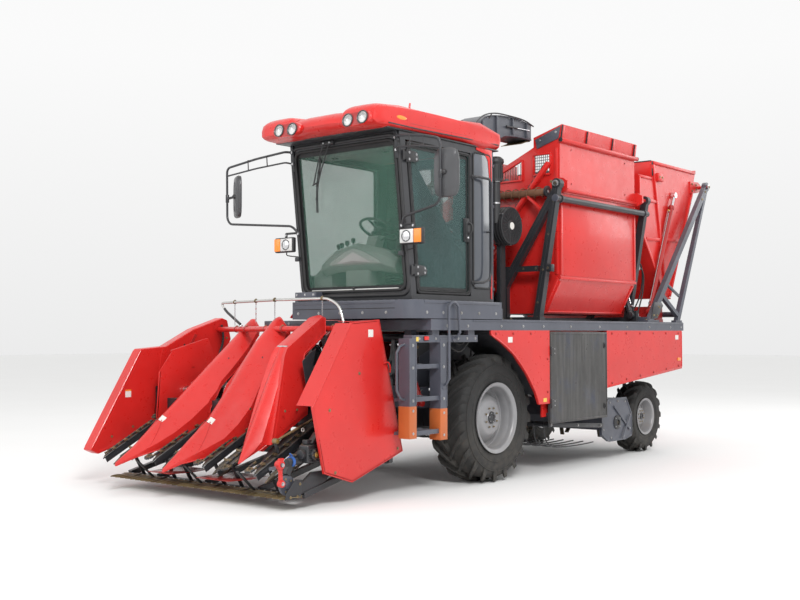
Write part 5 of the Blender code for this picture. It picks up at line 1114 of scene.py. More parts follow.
# ---------------------------------------------------------------- roof
# distance from the middle, then eleven X, Z pairs round the section from its rear underside
ROOF = ((0.722, (0.06, 3.330), (0.60, 3.322), (1.25, 3.310), (1.58, 3.300), (1.74, 3.310), (1.795, 3.340), (1.775, 3.385), (1.70, 3.412), (1.32, 3.432), (0.70, 3.437), (0.06, 3.402)),
        (0.716, (0.035, 3.316), (0.60, 3.308), (1.25, 3.294), (1.60, 3.284), (1.785, 3.290), (1.855, 3.325), (1.840, 3.398), (1.775, 3.437), (1.32, 3.461), (0.70, 3.465), (0.03, 3.424)),
        (0.690, (0.01, 3.302), (0.60, 3.296), (1.25, 3.282), (1.62, 3.272), (1.835, 3.275), (1.905, 3.304), (1.888, 3.405), (1.818, 3.451), (1.32, 3.474), (0.70, 3.474), (0.015, 3.436)),
        (0.620, (0.00, 3.272), (0.60, 3.270), (1.25, 3.268), (1.64, 3.266), (1.860, 3.270), (1.925, 3.300), (1.905, 3.408), (1.840, 3.456), (1.32, 3.474), (0.70, 3.472), (0.01, 3.440)),
        (0.420, (0.00, 3.266), (0.60, 3.266), (1.25, 3.266), (1.64, 3.266), (1.868, 3.271), (1.929, 3.302), (1.908, 3.408), (1.842, 3.458), (1.32, 3.472), (0.70, 3.468), (0.00, 3.440)),
        (0.345, (0.00, 3.266), (0.60, 3.266), (1.25, 3.266), (1.64, 3.266), (1.868, 3.272), (1.926, 3.304), (1.906, 3.404), (1.838, 3.452), (1.32, 3.468), (0.70, 3.466), (0.00, 3.438)),
        (0.312, (0.00, 3.266), (0.60, 3.266), (1.25, 3.266), (1.62, 3.266), (1.835, 3.278), (1.886, 3.318), (1.866, 3.384), (1.795, 3.436), (1.32, 3.455), (0.70, 3.456), (0.00, 3.434)),
        (0.160, (0.00, 3.266), (0.60, 3.266), (1.25, 3.266), (1.62, 3.267), (1.850, 3.286), (1.902, 3.330), (1.880, 3.386), (1.800, 3.436), (1.32, 3.457), (0.70, 3.460), (0.00, 3.436)))
roof = Piece("roof_shell", "chassis", "red_paint", ("cab_roof",), smooth=28)
sections = [[(x, 0.40 - d, z) for x, z in pairs] for d, *pairs in ROOF] + [[(x, 0.40, z) for x, z in ROOF[-1][1:]]] + [[(x, 0.40 + d, z) for x, z in pairs] for d, *pairs in reversed(ROOF)]
shell = loft_shape(sections)
bmesh.ops.subdivide_edges(shell, edges=shell.edges[:], cuts=1, smooth=0.35, use_grid_fill=True)
roof.add(RED, shell)
roof.box(DARK, (0.02, 1.72), (-0.295, 1.095), (3.2603, 3.275), 0.004)
# gutter lines along the sides and a seam between the pods
for y in (-0.3185, 1.1185):
    roof.pipe(DARK, [(0.06, y, 3.318), (0.70, y, 3.309), (1.30, y, 3.297), (1.74, y, 3.297)], 0.0065, 8)
for y in (0.092, 0.708):
    roof.pipe(RED_PAINTED_SHADE, [(1.20, y, 3.455), (1.80, y, 3.437), (1.867, y, 3.386), (1.884, y, 3.330), (1.862, y, 3.292)], 0.0045, 8, radius=0.03)
for x, y in ((0.20, -0.20), (0.20, 1.00), (1.10, -0.20), (1.10, 1.00), (0.65, 0.40)):
    roof.add(GASKET, rod_shape((x, y, 3.462 if x > 0.5 else 3.440), (x, y, 3.478 if x > 0.5 else 3.454), 0.022, 20, 0.018, 0.002))
# each pod: a backing in the darker red copy (painted shade) with two round lamps
for middle, z in ((0.0585, 3.327), (0.910, 3.325)):
    roof.add(RED, oval_shape((1.890, middle, z), (0.984, 0, 0.10), (0, 0, 1), 0.176, 0.066, 0.044, 2.6, 40))
    roof.add(RED_PAINTED_SHADE, oval_shape((1.932, middle, z), (0.984, 0, 0.10), (0, 0, 1), 0.160, 0.056, 0.0035, 2.6, 40))
for y, z in ((-0.026, 3.330), (0.143, 3.324), (0.825, 3.321), (0.995, 3.329)):
    at, way = Vector((1.935, y, z)), Vector((0.984, 0, 0.10)).normalized()
    roof.add(SHELL, turned_shape([(0.000, 0.058), (0.012, 0.059), (0.015, 0.055), (0.008, 0.049), (0.000, 0.046)], at, way, 36))
    roof.add(LENS, turned_shape([(0.002, 0.0), (0.002, 0.049), (0.006, 0.048), (0.0095, 0.034), (0.011, 0.0)], at, way, 32))
    roof.add(CHROME, turned_shape([(0.0100, 0.0), (0.0100, 0.014), (0.0125, 0.010), (0.0130, 0.0)], at, way, 20))
    for k in range(-3, 4):
        roof.add(SHELL, rod_shape(at + way * 0.010 + Vector((0, -math.sqrt(0.045 ** 2 - (k * 0.012) ** 2), k * 0.012)), at + way * 0.010 + Vector((0, math.sqrt(0.045 ** 2 - (k * 0.012) ** 2), k * 0.012)), 0.0016, 6))
for side in (1, -1):
    roof.add(AMBER, oval_shape((1.560, 0.40 + side * 0.7190, 3.366), (0, side, 0.10), (0, 0, 1), 0.070, 0.021, 0.004, 2.2, 28, crown=0.002))
    roof.pipe(RED_PAINTED_SHADE, [(0.10, 0.40 + side * 0.7190, 3.3425), (1.40, 0.40 + side * 0.7190, 3.330), (1.72, 0.40 + side * 0.712, 3.333)], 0.0045, 8)
# roof rear: vent grille and a round work lamp each side
for k in range(7):
    roof.box(PLASTIC, (-0.006, 0.004), (0.14, 0.66), (3.305 + k * 0.016, 3.313 + k * 0.016), 0.002, 1)
for y in (-0.16, 0.96):
    roof.add(PLASTIC, turned_shape([(-0.004, 0.0), (-0.004, 0.050), (0.020, 0.046), (0.024, 0.036), (0.018, 0.034), (0.018, 0.0)], (0.004, y, 3.36), (-1, 0, 0), 28))
    roof.add(LENS, turned_shape([(0.010, 0.0), (0.010, 0.034), (0.018, 0.030), (0.021, 0.0)], (0.004, y, 3.36), (-1, 0, 0), 24))
# rubber-based antenna
roof.add(PLASTIC, turned_shape([(0.0, 0.0), (0.0, 0.030), (0.012, 0.024), (0.020, 0.012), (0.026, 0.0)], (0.62, 0.42, 3.462), (0, 0, 1), 24), rod_shape((0.62, 0.42, 3.48), (0.585, 0.42, 3.700), 0.0032, 8))
roof.add(RED, rod_shape((0.588, 0.42, 3.690), (0.578, 0.42, 3.745), 0.011, 12, 0.008, 0.002))
roof.done()

# ---------------------------------------------------------------- window seals, pillars and lining
trim = Piece("cab_seals", "chassis", "black_plastic", smooth=40)


def front_loop(low, high, left, right, out, radius=0.07):
    corners = [(low, right), (high, right), (high, left), (low, left)]
    line = []
    for k in range(4):
        a, b, c = (corners[(k + d) % 4] for d in (-1, 0, 1))
        a, b, c = (Vector((q[0], q[1])) for q in (a, b, c))
        u, v = (a - b).normalized() * radius, (c - b).normalized() * radius
        for m in range(7):
            t = m / 6
            p = (b + u) * (1 - t) ** 2 + b * 2 * t * (1 - t) + (b + v) * t * t
            line.append(Vector((cab_front(p[0], out), p[1], p[0])))
    return line


trim.add(GASKET, pipe_shape(front_loop(1.858, 3.192, 1.022, -0.222, 0.001, 0.085), 0.015, 10, closed=True))
trim.add(PLASTIC, pipe_shape(front_loop(1.815, 3.235, 1.060, -0.262, -0.002, 0.10), 0.018, 10, closed=True))
# band printed round the windscreen's edge
for low, high, left, right in ((1.862, 1.905, 1.015, -0.215), (3.140, 3.188, 1.015, -0.215), (1.862, 3.188, 1.018, 0.985), (1.862, 3.188, -0.185, -0.218)):
    outline = [(cab_front(low, -0.0165), low), (cab_front(high, -0.0165), high), (cab_front(high, -0.0145), high), (cab_front(low, -0.0145), low)]
    trim.add(GASKET, plate_shape(outline, "XZ", right, left))
# pale metal strip along the windscreen's foot, where a highlight runs along the seal: painted highlight
trim.box(RAIL, (cab_front(1.872, -0.006), cab_front(1.872, 0.006)), (-0.14, 0.94), (1.866, 1.880), 0.003)
trim.rod(PLASTIC, (cab_front(1.885, -0.01), 0.40, 1.885), (cab_front(1.885, 0.018), 0.40, 1.885), 0.013, 16, bevel=0.003)


def side_loop(low, high, rear, back, y, r, material, closed=True, radius=0.06):
    corners = [Vector((rear, low)), Vector((cab_front(low, -back), low)), Vector((cab_front(high, -back), high)), Vector((rear, high))]
    line = []
    for k in range(4):
        a, b, c = corners[k - 1], corners[k], corners[(k + 1) % 4]
        u, v = (a - b).normalized() * radius, (c - b).normalized() * radius
        for m in range(6):
            t = m / 5
            p = (b + u) * (1 - t) ** 2 + b * 2 * t * (1 - t) + (b + v) * t * t
            line.append(Vector((p[0], y, p[1])))
    trim.add(material, pipe_shape(line, r, 8, closed=closed))


side_loop(2.02, 3.17, 0.30, 0.090, -0.281, 0.014, GASKET)
# rear quarter: reflective panel with a seal, behind the door
quarter = [(0.150, 1.90), (0.435, 1.90), (0.435, 3.205), (0.150, 3.205)]
trim.add(GLASS_QUARTER, plate_shape(quarter, "XZ", 1.0805, 1.0850, 0.001))
loop = []
for k in range(4):
    a, b, c = (Vector(quarter[(k + d) % 4]) for d in (-1, 0, 1))
    u, v = (a - b).normalized() * 0.045, (c - b).normalized() * 0.045
    loop += [Vector((p[0], 1.0840, p[1])) for p in ((b + u) * (1 - t) ** 2 + b * 2 * t * (1 - t) + (b + v) * t * t for t in (0, 0.25, 0.5, 0.75, 1))]
trim.add(GASKET, pipe_shape(loop, 0.009, 8, closed=True))
trim.add(RED, plate_shape([(0.125, 2.98), (0.165, 2.98), (0.190, 3.15), (0.250, 3.215), (0.385, 3.235), (0.385, 3.262), (0.125, 3.262)], "XZ", 1.0805, 1.0885, 0.002), plate_shape([(0.125, 1.80), (0.145, 1.80), (0.145, 3.22), (0.125, 3.22)], "XZ", 1.0805, 1.0870, 0.002))
# rear window seal and rear wall ribs
back_loop = [(0.118, y, z) for y, z in ((0.04, 2.34), (0.76, 2.34), (0.81, 2.39), (0.81, 3.11), (0.76, 3.16), (0.04, 3.16), (-0.01, 3.11), (-0.01, 2.39))]
trim.add(GASKET, pipe_shape([Vector(p) for p in back_loop], 0.012, 8, closed=True))
for z in (1.92, 2.08, 2.24):
    trim.add(DARK, beam_shape((0.117, -0.20, z), (0.117, 1.00, z), 0.010, 0.030, (1, 0, 0), 0.003))
# lining: headliner, rear quarter posts, floor mat and door sill
trim.box(TRIM, (0.20, 1.44), (-0.215, 1.015), (3.225, 3.252), 0.008)
trim.box(TRIM, (0.172, 0.190), (-0.22, 1.02), (1.84, 2.34), 0.004)
trim.box(PLASTIC, (0.22, 1.30), (-0.215, 1.010), (1.8125, 1.822), 0.003)
for x in spaced((0.30, 0, 0), (1.22, 0, 0), 16):
    trim.box(PLASTIC, (x.x - 0.012, x.x + 0.012), (0.66, 0.99), (1.821, 1.826), 0.002, 1)
trim.box(TRIM, (1.16, 1.42), (-0.10, 0.90), (3.14, 3.222), 0.02, 3)  # overhead panel
trim.rod(TRIM, (1.45, -0.12, 3.18), (1.45, 0.92, 3.18), 0.022, 14, bevel=0.004)  # sun blind
for y in (0.08, 0.72):
    trim.add(PLASTIC, turned_shape([(0.0, 0.0), (0.0, 0.036), (0.012, 0.032), (0.012, 0.0)], (1.30, y, 3.142), (0, 0, -1), 20))
trim.done()

# ---------------------------------------------------------------- wiper
wiper = Piece("windscreen_wiper", "chassis", "black_plastic", smooth=40)


def on_screen(y, z, out=0.020):
    return Vector((cab_front(z, out), y, z))


wiper.box(PLASTIC, (cab_front(3.24, 0.0), cab_front(3.24, 0.042)), (0.155, 0.315), (3.215, 3.258), 0.010, 3)
for y in (0.200, 0.275):
    wiper.rod(STEEL, on_screen(y, 3.236, 0.030), on_screen(y, 3.236, 0.052), 0.010, 14, bevel=0.002)
wiper.pipe(PLASTIC, [on_screen(0.275, 3.236, 0.046), on_screen(0.180, 3.060, 0.044), on_screen(0.085, 2.890, 0.036)], 0.0065, 8)
wiper.pipe(PLASTIC, [on_screen(0.200, 3.236, 0.046), on_screen(0.105, 3.050, 0.044), on_screen(0.025, 2.870, 0.036)], 0.0065, 8)
wiper.beam(PLASTIC, on_screen(0.100, 2.895, 0.036), on_screen(0.010, 2.862, 0.036), 0.014, 0.010, (1, 0, 0), 0.003)
blade = curve_through([on_screen(0.125, 3.110, 0.018), on_screen(0.085, 2.980, 0.022), on_screen(0.055, 2.860, 0.024), on_screen(0.035, 2.740, 0.022), on_screen(0.022, 2.610, 0.018)], 4)
wiper.pipe(PLASTIC, blade, 0.0055, 8)
wiper.pipe(GASKET, [p + Vector((-0.012, 0.004, 0)) for p in blade], 0.0045, 6)
for k in (4, 8, 12):
    wiper.beam(PLASTIC, blade[k] + Vector((0.004, 0.006, 0.014)), blade[k] + Vector((0.004, 0.0, -0.014)), 0.012, 0.016, (1, 0, 0), 0.003)
wiper.done()

# ---------------------------------------------------------------- door furniture
def rounded_outline(corners, radius, steps=6):
    """An outline of X, Z corners with its corners rounded off."""
    line = []
    for k in range(len(corners)):
        a, b, c = (Vector(corners[(k + d) % len(corners)]) for d in (-1, 0, 1))
        u, v = (a - b).normalized() * radius, (c - b).normalized() * radius
        line += [(b + u) * (1 - t) ** 2 + b * 2 * t * (1 - t) + (b + v) * t * t for t in (m / steps for m in range(steps + 1))]
    return line


def flat_ring(outer, inner, low, high):
    """A flat frame between two X, Z outlines, from one Y to another."""
    bm = bmesh.new()
    rings = [[bm.verts.new((p[0], y, p[1])) for p in line] for line, y in ((outer, low), (inner, low), (inner, high), (outer, high))]
    for first, second in zip(rings, rings[1:] + rings[:1]):
        for k in range(len(first)):
            bm.faces.new((first[k], first[(k + 1) % len(first)], second[(k + 1) % len(first)], second[k]))
    bmesh.ops.recalc_face_normals(bm, faces=bm.faces)
    return bm


def door_outline(low, high, rear, back, radius):
    return rounded_outline([(rear, low), (cab_front(low, -back), low), (cab_front(high, -back), high), (rear, high)], radius)


frame_ring = Piece("door_frame", "cab_door", "black_plastic", ("cab_door",), smooth=35)
frame_ring.add(GASKET, flat_ring(door_outline(1.826, 3.184, 0.476, 0.082, 0.055), door_outline(1.850, 3.160, 0.500, 0.106, 0.040), 1.048, 1.080))
frame_ring.add(PLASTIC, flat_ring(door_outline(1.834, 3.176, 0.484, 0.090, 0.050), door_outline(1.842, 3.168, 0.492, 0.098, 0.045), 1.040, 1.085))
for z in (3.046, 2.030):
    x = cab_front(z, -0.016)
    frame_ring.add(PLASTIC, rod_shape((x, 1.096, z - 0.045), (x, 1.096, z + 0.045), 0.0095, 18, bevel=0.002), rounded(box_shape((x - 0.11, x - 0.004), (1.080, 1.100), (z - 0.035, z + 0.035), 0.004, 2), 0.0))
frame_ring.done()
pane = Piece("door_glass", "cab_door", "tinted_glass", ("cab_door_window",), smooth=30)
sheet = [door_outline(1.838 + d, 3.172 - d, 0.488 + d, 0.094 + d, 0.045) for d in (0.0, 0.0015, 0.0015, 0.0)]
pane.add(GLASS_SIDE, loft_shape([[Vector((p[0], y, p[1])) for p in line] for line, y in zip(sheet, (1.0615, 1.0605, 1.0695, 1.0685))]))
pane.done()

door = Piece("door_furniture", "cab_door", "black_plastic", smooth=40)
for low, high in ((2.985, 3.105), (1.975, 2.085)):
    x = cab_front((low + high) / 2, -0.016)
    outline = [(x - 0.205, low + 0.020), (x - 0.035, low), (x - 0.035, high), (x - 0.185, high - 0.012), (x - 0.215, (low + high) / 2)]
    door.plate(PLASTIC, outline, "XZ", 1.0855, 1.1020, 0.006)
    door.bolts(STEEL, [(x - 0.175, 1.102, (low + high) / 2 + d) for d in (-0.018, 0.022)] + [(x - 0.075, 1.102, (low + high) / 2 + d) for d in (-0.030, 0.030)], (0, 1, 0), 0.008)
door.add(GASKET, pipe_shape([Vector((p[0], 1.0800, p[1])) for p in door_outline(1.853, 3.157, 0.503, 0.109, 0.040)], 0.006, 8, closed=True))
door.add(GASKET, flat_ring(door_outline(1.862, 3.148, 0.512, 0.118, 0.035), door_outline(1.888, 3.122, 0.538, 0.144, 0.030), 1.0695, 1.0702))
door.add(PLASTIC, box_shape((0.498, 0.580), (1.060, 1.0858), (2.335, 2.560), 0.006))
door.add(PLASTIC, oval_shape((0.538, 1.0855, 2.445), (0, 1, 0), (0, 0, 1), 0.036, 0.100, 0.010, 3.2, 28))
door.pipe(PLASTIC, [(0.520, 1.094, 2.515), (0.510, 1.122, 2.500), (0.508, 1.124, 2.440), (0.520, 1.094, 2.400)], 0.011, 10, radius=0.03)
door.add(CHROME, turned_shape([(0.0, 0.0), (0.0, 0.012), (0.006, 0.010), (0.007, 0.0)], (0.540, 1.095, 2.375), (0, 1, 0), 18))
door.pipe(PLASTIC, [(0.505, 1.050, 2.42), (0.530, 1.010, 2.42), (0.530, 1.000, 2.36), (0.900, 1.000, 2.20), (1.195, 1.010, 2.08), (1.240, 1.050, 2.08)], 0.010, 10, radius=0.03)
door.done()

loop = Piece("grab_rails", "chassis", "black_plastic", smooth=45)
loop.pipe(DARK, [(0.440, 1.088, 2.965), (0.420, 1.130, 2.965), (0.235, 1.140, 2.960), (0.215, 1.140, 2.900), (0.215, 1.140, 2.100), (0.235, 1.140, 1.990), (0.360, 1.140, 1.950), (0.420, 1.130, 1.950), (0.440, 1.088, 1.950)], 0.0125, 12, radius=0.06)
for z in (2.965, 1.950):
    loop.add(DARK, oval_shape((0.440, 1.085, z), (0, 1, 0), (0, 0, 1), 0.028, 0.020, 0.006, 3.0, 20))
loop.add(DARK, rod_shape((0.215, 1.086, 2.45), (0.215, 1.138, 2.45), 0.009, 12))
loop.done()

# ---------------------------------------------------------------- mirrors and side lamps
for side, root_y, arm_y, glass_y, out in (("left", 1.045, 1.500, 1.527, 1), ("right", -0.245, -1.235, -1.140, -1)):
    mirror = Piece(f"mirror_assembly_{side}", "chassis", "black_plastic", (f"mirror_{side}",), smooth=42)
    y_in = root_y + out * 0.05
    mirror.beam(DARK, (cab_front(3.26, 0.012), root_y, 3.262), (cab_front(3.02, 0.012), root_y, 3.02), 0.036, 0.016, (0, 1, 0), 0.004)
    mirror.pipe(DARK, [(cab_front(3.20, 0.018), root_y, 3.20), (1.60, y_in, 3.205), (1.53, (y_in + arm_y) / 2, 3.195), (1.500, arm_y, 3.150), (1.494, arm_y, 2.630), (1.498, arm_y - out * 0.05, 2.575),
                       (1.500, y_in, 2.500), (cab_front(2.42, 0.016), root_y, 2.425)], 0.0115, 12, radius=0.055)
    mirror.pipe(DARK, [(cab_front(3.09, 0.018), root_y, 3.09), (1.59, y_in, 3.105), (1.530, (y_in + arm_y) / 2, 3.100), (1.499, arm_y - out * 0.006, 3.070)], 0.0085, 10, radius=0.05)
    for k in (0.30, 0.62):
        a = Vector((1.60, y_in, 3.205)).lerp(Vector((1.505, arm_y, 3.185)), k)
        b = Vector((1.59, y_in, 3.105)).lerp(Vector((1.502, arm_y, 3.085)), k)
        mirror.rod(DARK, a, b, 0.0055, 8)
    for z in (3.20, 3.09, 2.425):
        mirror.add(DARK, rod_shape((cab_front(z, 0.002), root_y, z), (cab_front(z, 0.026), root_y, z), 0.022, 18, bevel=0.003))
        mirror.add(STEEL, bolt_shape((cab_front(z, 0.026), root_y, z), (1, 0, 0), 0.008))
    # clamp with a ball joint, shell, glass
    centre = Vector((1.452, glass_y, 2.855))
    mirror.add(DARK, rod_shape((1.494, arm_y, 2.800), (1.494, arm_y, 2.880), 0.018, 16, bevel=0.003), rod_shape((1.494, arm_y, 2.84), centre + Vector((0.022, 0, 0.0)), 0.013, 12))
    ball = bmesh.new()
    bmesh.ops.create_uvsphere(ball, u_segments=16, v_segments=10, radius=0.024)
    ball.transform(Matrix.Translation(centre + Vector((0.030, 0, 0.002))))
    mirror.add(PLASTIC, ball)
    facing = Vector((0.985, 0.17, 0.0) if out > 0 else (0.86, -0.51, 0.0)).normalized()
    half = 0.118
    mirror.add(SHELL, oval_shape(centre - facing * 0.028, facing, (0, 0, 1), half, 0.212, 0.040, 4.2, 44, crown=0.014))
    mirror.add(SHELL, oval_shape(centre - facing * 0.012, facing, (0, 0, 1), half + 0.003, 0.215, 0.006, 4.2, 44))
    mirror.add(GASKET, oval_shape(centre - facing * 0.026, -facing, (0, 0, 1), half - 0.004, 0.208, 0.004, 4.2, 44))
    mirror.add(MIRROR, oval_shape(centre - facing * 0.029, -facing, (0, 0, 1), half - 0.012, 0.200, 0.003, 4.2, 44))
    mirror.pipe(SHELL, [centre + facing * 0.022 + Vector((0, 0, z)) for z in (-0.15, 0.0, 0.15)], 0.006, 8)
    mirror.done()

lamps = Piece("side_lamps", "chassis", "black_plastic", smooth=35)
for at_y, out in ((1.163, 1), (-0.425, -1)):
    lamps.box(PLASTIC, (1.440, 1.488), (at_y - 0.128, at_y + 0.128), (2.252, 2.398), 0.014, 3)
    clear_low, clear_high, amber_low, amber_high = (at_y - 0.118, at_y + 0.032, at_y + 0.038, at_y + 0.120) if out > 0 else (at_y - 0.036, at_y + 0.118, at_y - 0.120, at_y - 0.042)
    lamps.box(LENS, (1.486, 1.502), (clear_low, clear_high), (2.264, 2.386), 0.007, 3)
    lamps.box(AMBER, (1.486, 1.501), (amber_low, amber_high), (2.264, 2.386), 0.007, 3)
    middle = (clear_low + clear_high) / 2
    lamps.add(SHELL, turned_shape([(0.0, 0.0), (0.0, 0.054), (0.005, 0.052), (0.006, 0.046), (0.003, 0.044), (0.003, 0.0)], (1.4995, middle, 2.325), (1, 0, 0), 32))
    lamps.add(CHROME, turned_shape([(0.002, 0.0), (0.002, 0.043), (0.0045, 0.036), (0.0050, 0.0)], (1.4995, middle, 2.325), (1, 0, 0), 28))
    for k in range(5):
        lamps.box(LENS, (1.500, 1.5045), (clear_low + 0.012 + k * 0.028, clear_low + 0.018 + k * 0.028), (2.275, 2.375), 0.001, 1)
    post = 1.045 if out > 0 else -0.245
    lamps.beam(DARK, (1.452, at_y, 2.400), (1.452, at_y, 2.440), 0.03, 0.010, (0, 1, 0), 0.002)
    lamps.pipe(DARK, [(1.452, at_y, 2.436), (1.452, post + out * 0.03, 2.436), (cab_front(2.42, 0.010), post, 2.425)], 0.011, 10, radius=0.03)
    lamps.add(DARK, beam_shape((1.455, post - 0.02, 2.20), (1.455, post - 0.02, 2.16), 0.05, 0.03, (0, 1, 0), 0.004))
    lamps.pipe(GASKET, [(1.446, at_y, 2.256), (1.430, at_y, 2.225), (1.428, post, 2.20), (cab_front(2.17, 0.004), post, 2.17)], 0.0055, 8, smooth=4)
    lamps.bolts(STEEL, [(1.458, at_y, 2.420)], (1, 0, 0), 0.008)
lamps.done()

# ---------------------------------------------------------------- inside: wheel, column, dash, console
inside = Piece("driving_controls", "chassis", "black_plastic", ("steering_console",), smooth=40)
hub = Vector((1.02, 0.40, 2.46))
axis = Vector((-0.469, 0, 0.883))  # from the column up through the rim
across, rise = Vector((0, 1, 0)), Vector((0, 1, 0)).cross(axis)
inside.add(PLASTIC, pipe_shape([hub + across * (math.cos(a) * 0.192) + rise * (math.sin(a) * 0.192) for a in (2 * math.pi * k / 40 for k in range(40))], 0.0135, 12, closed=True))
for a in (90, 210, 330):
    way = across * math.cos(math.radians(a)) + rise * math.sin(math.radians(a))
    inside.add(PLASTIC, beam_shape(hub - axis * 0.012, hub + way * 0.188, 0.030, 0.010, axis.cross(way), 0.003))
inside.add(PLASTIC, turned_shape([(-0.045, 0.0), (-0.045, 0.040), (-0.005, 0.052), (0.008, 0.046), (0.014, 0.020), (0.016, 0.0)], hub, axis, 28))
inside.add(PLASTIC, turned_shape([(0.0, 0.0), (0.0, 0.009), (0.020, 0.010), (0.038, 0.020), (0.052, 0.018), (0.060, 0.0)], hub + across * 0.165 + rise * 0.098, axis, 16))
inside.add(TRIM, loft_shape([[Vector((x + a, 0.40 + b, z)) for a, b in ((-0.055, -0.06), (0.055, -0.06), (0.055, 0.06), (-0.055, 0.06))] for x, z in ((1.215, 1.815), (1.190, 2.00), (1.125, 2.22), (1.060, 2.395))]))
inside.pipe(PLASTIC, [(1.075, 0.46, 2.35), (1.05, 0.53, 2.39), (1.03, 0.60, 2.43)], 0.007, 8, smooth=3)
dash = []
for y, x, z, d in ((-0.06, 1.285, 2.12, 0.06), (0.10, 1.305, 2.20, 0.09), (0.40, 1.315, 2.25, 0.11), (0.70, 1.305, 2.20, 0.09), (0.86, 1.285, 2.12, 0.06)):
    dash.append([Vector((x + d * a, y, z + d * b)) for a, b in ((-1.0, -1.6), (0.2, -1.8), (0.9, -1.0), (0.8, 0.0), (0.1, 0.55), (-0.8, 0.45), (-1.25, -0.3))])
inside.add(TRIM, rounded(loft_shape(dash), 0.006))
inside.add(TRIM, box_shape((1.10, 1.28), (-0.05, 0.60), (1.8125, 1.90), 0.015, 3), box_shape((1.22, 1.34), (0.25, 0.55), (1.88, 2.12), 0.02, 3))
for y in (0.32, 0.40, 0.48):
    inside.add(PLASTIC, turned_shape([(0.0, 0.0), (0.0, 0.032), (0.008, 0.034), (0.010, 0.028), (0.004, 0.0)], (1.213, y, 2.235), (-0.75, 0, 0.66), 20))
inside.box(PLASTIC, (1.12, 1.20), (0.24, 0.31), (1.90, 1.93), 0.006).box(PLASTIC, (1.12, 1.20), (0.47, 0.56), (1.90, 1.93), 0.006)
# side console with levers, switches and an arm rest
inside.add(TRIM, loft_shape([[Vector((x, y, z)) for x, y, z in ((0.42, a, 1.8125), (1.28, a, 1.8125), (1.28, a, 2.02), (1.10, a, 2.16), (0.80, a, 2.20), (0.42, a, 2.16))] for a in (-0.21, 0.02)]))
inside.box(PLASTIC, (0.78, 1.08), (-0.17, -0.02), (2.165, 2.185), 0.006)
for k, (x, y, h) in enumerate(((0.86, -0.06, 0.20), (0.95, -0.06, 0.17), (0.95, -0.13, 0.15), (1.03, -0.10, 0.13))):
    inside.rod(CHROME, (x, y, 2.17), (x + 0.02, y, 2.17 + h), 0.006, 10)
    inside.add(PLASTIC, turned_shape([(0.0, 0.0), (0.0, 0.010), (0.012, 0.020), (0.036, 0.022), (0.052, 0.016), (0.056, 0.0)], (x + 0.02, y, 2.16 + h), (0.1, 0, 1), 18))
    inside.add(PLASTIC, turned_shape([(0.0, 0.0), (0.0, 0.024), (0.016, 0.016), (0.034, 0.009), (0.034, 0.0)], (x, y, 2.182), (0.1, 0, 1), 18))
for x in spaced((0.50, 0, 0), (0.72, 0, 0), 5):
    inside.box(PLASTIC, (x.x - 0.014, x.x + 0.014), (-0.14, -0.11), (2.178, 2.198), 0.004)
inside.done()

# ---------------------------------------------------------------- seat
base = Piece("seat_base", "chassis", "black_plastic", smooth=40)
base.box(PLASTIC, (0.50, 0.84), (0.24, 0.56), (1.8125, 1.86), 0.012, 3)
for k in range(6):
    base.add(GASKET, rounded(box_shape((0.53 + 0.006 * (k % 2), 0.81 - 0.006 * (k % 2)), (0.27 + 0.006 * (k % 2), 0.53 - 0.006 * (k % 2)), (1.86 + 0.034 * k, 1.892 + 0.034 * k), 0.012, 3), 0.0))
base.box(PLASTIC, (0.46, 0.90), (0.19, 0.61), (2.060, 2.140), 0.016, 3)
base.add(PLASTIC, beam_shape((0.475, 0.40, 2.10), (0.400, 0.40, 2.70), 0.30, 0.030, (0, 1, 0), 0.010))
for y in (0.14, 0.66):
    base.add(PLASTIC, rounded(beam_shape((0.50, y, 2.44), (0.82, y, 2.46), 0.055, 0.045, (0, 1, 0), 0.016), 0.0), rod_shape((0.50, y, 2.44), (0.50, y + (0.05 if y < 0.4 else -0.05), 2.44), 0.018, 14))
base.done()


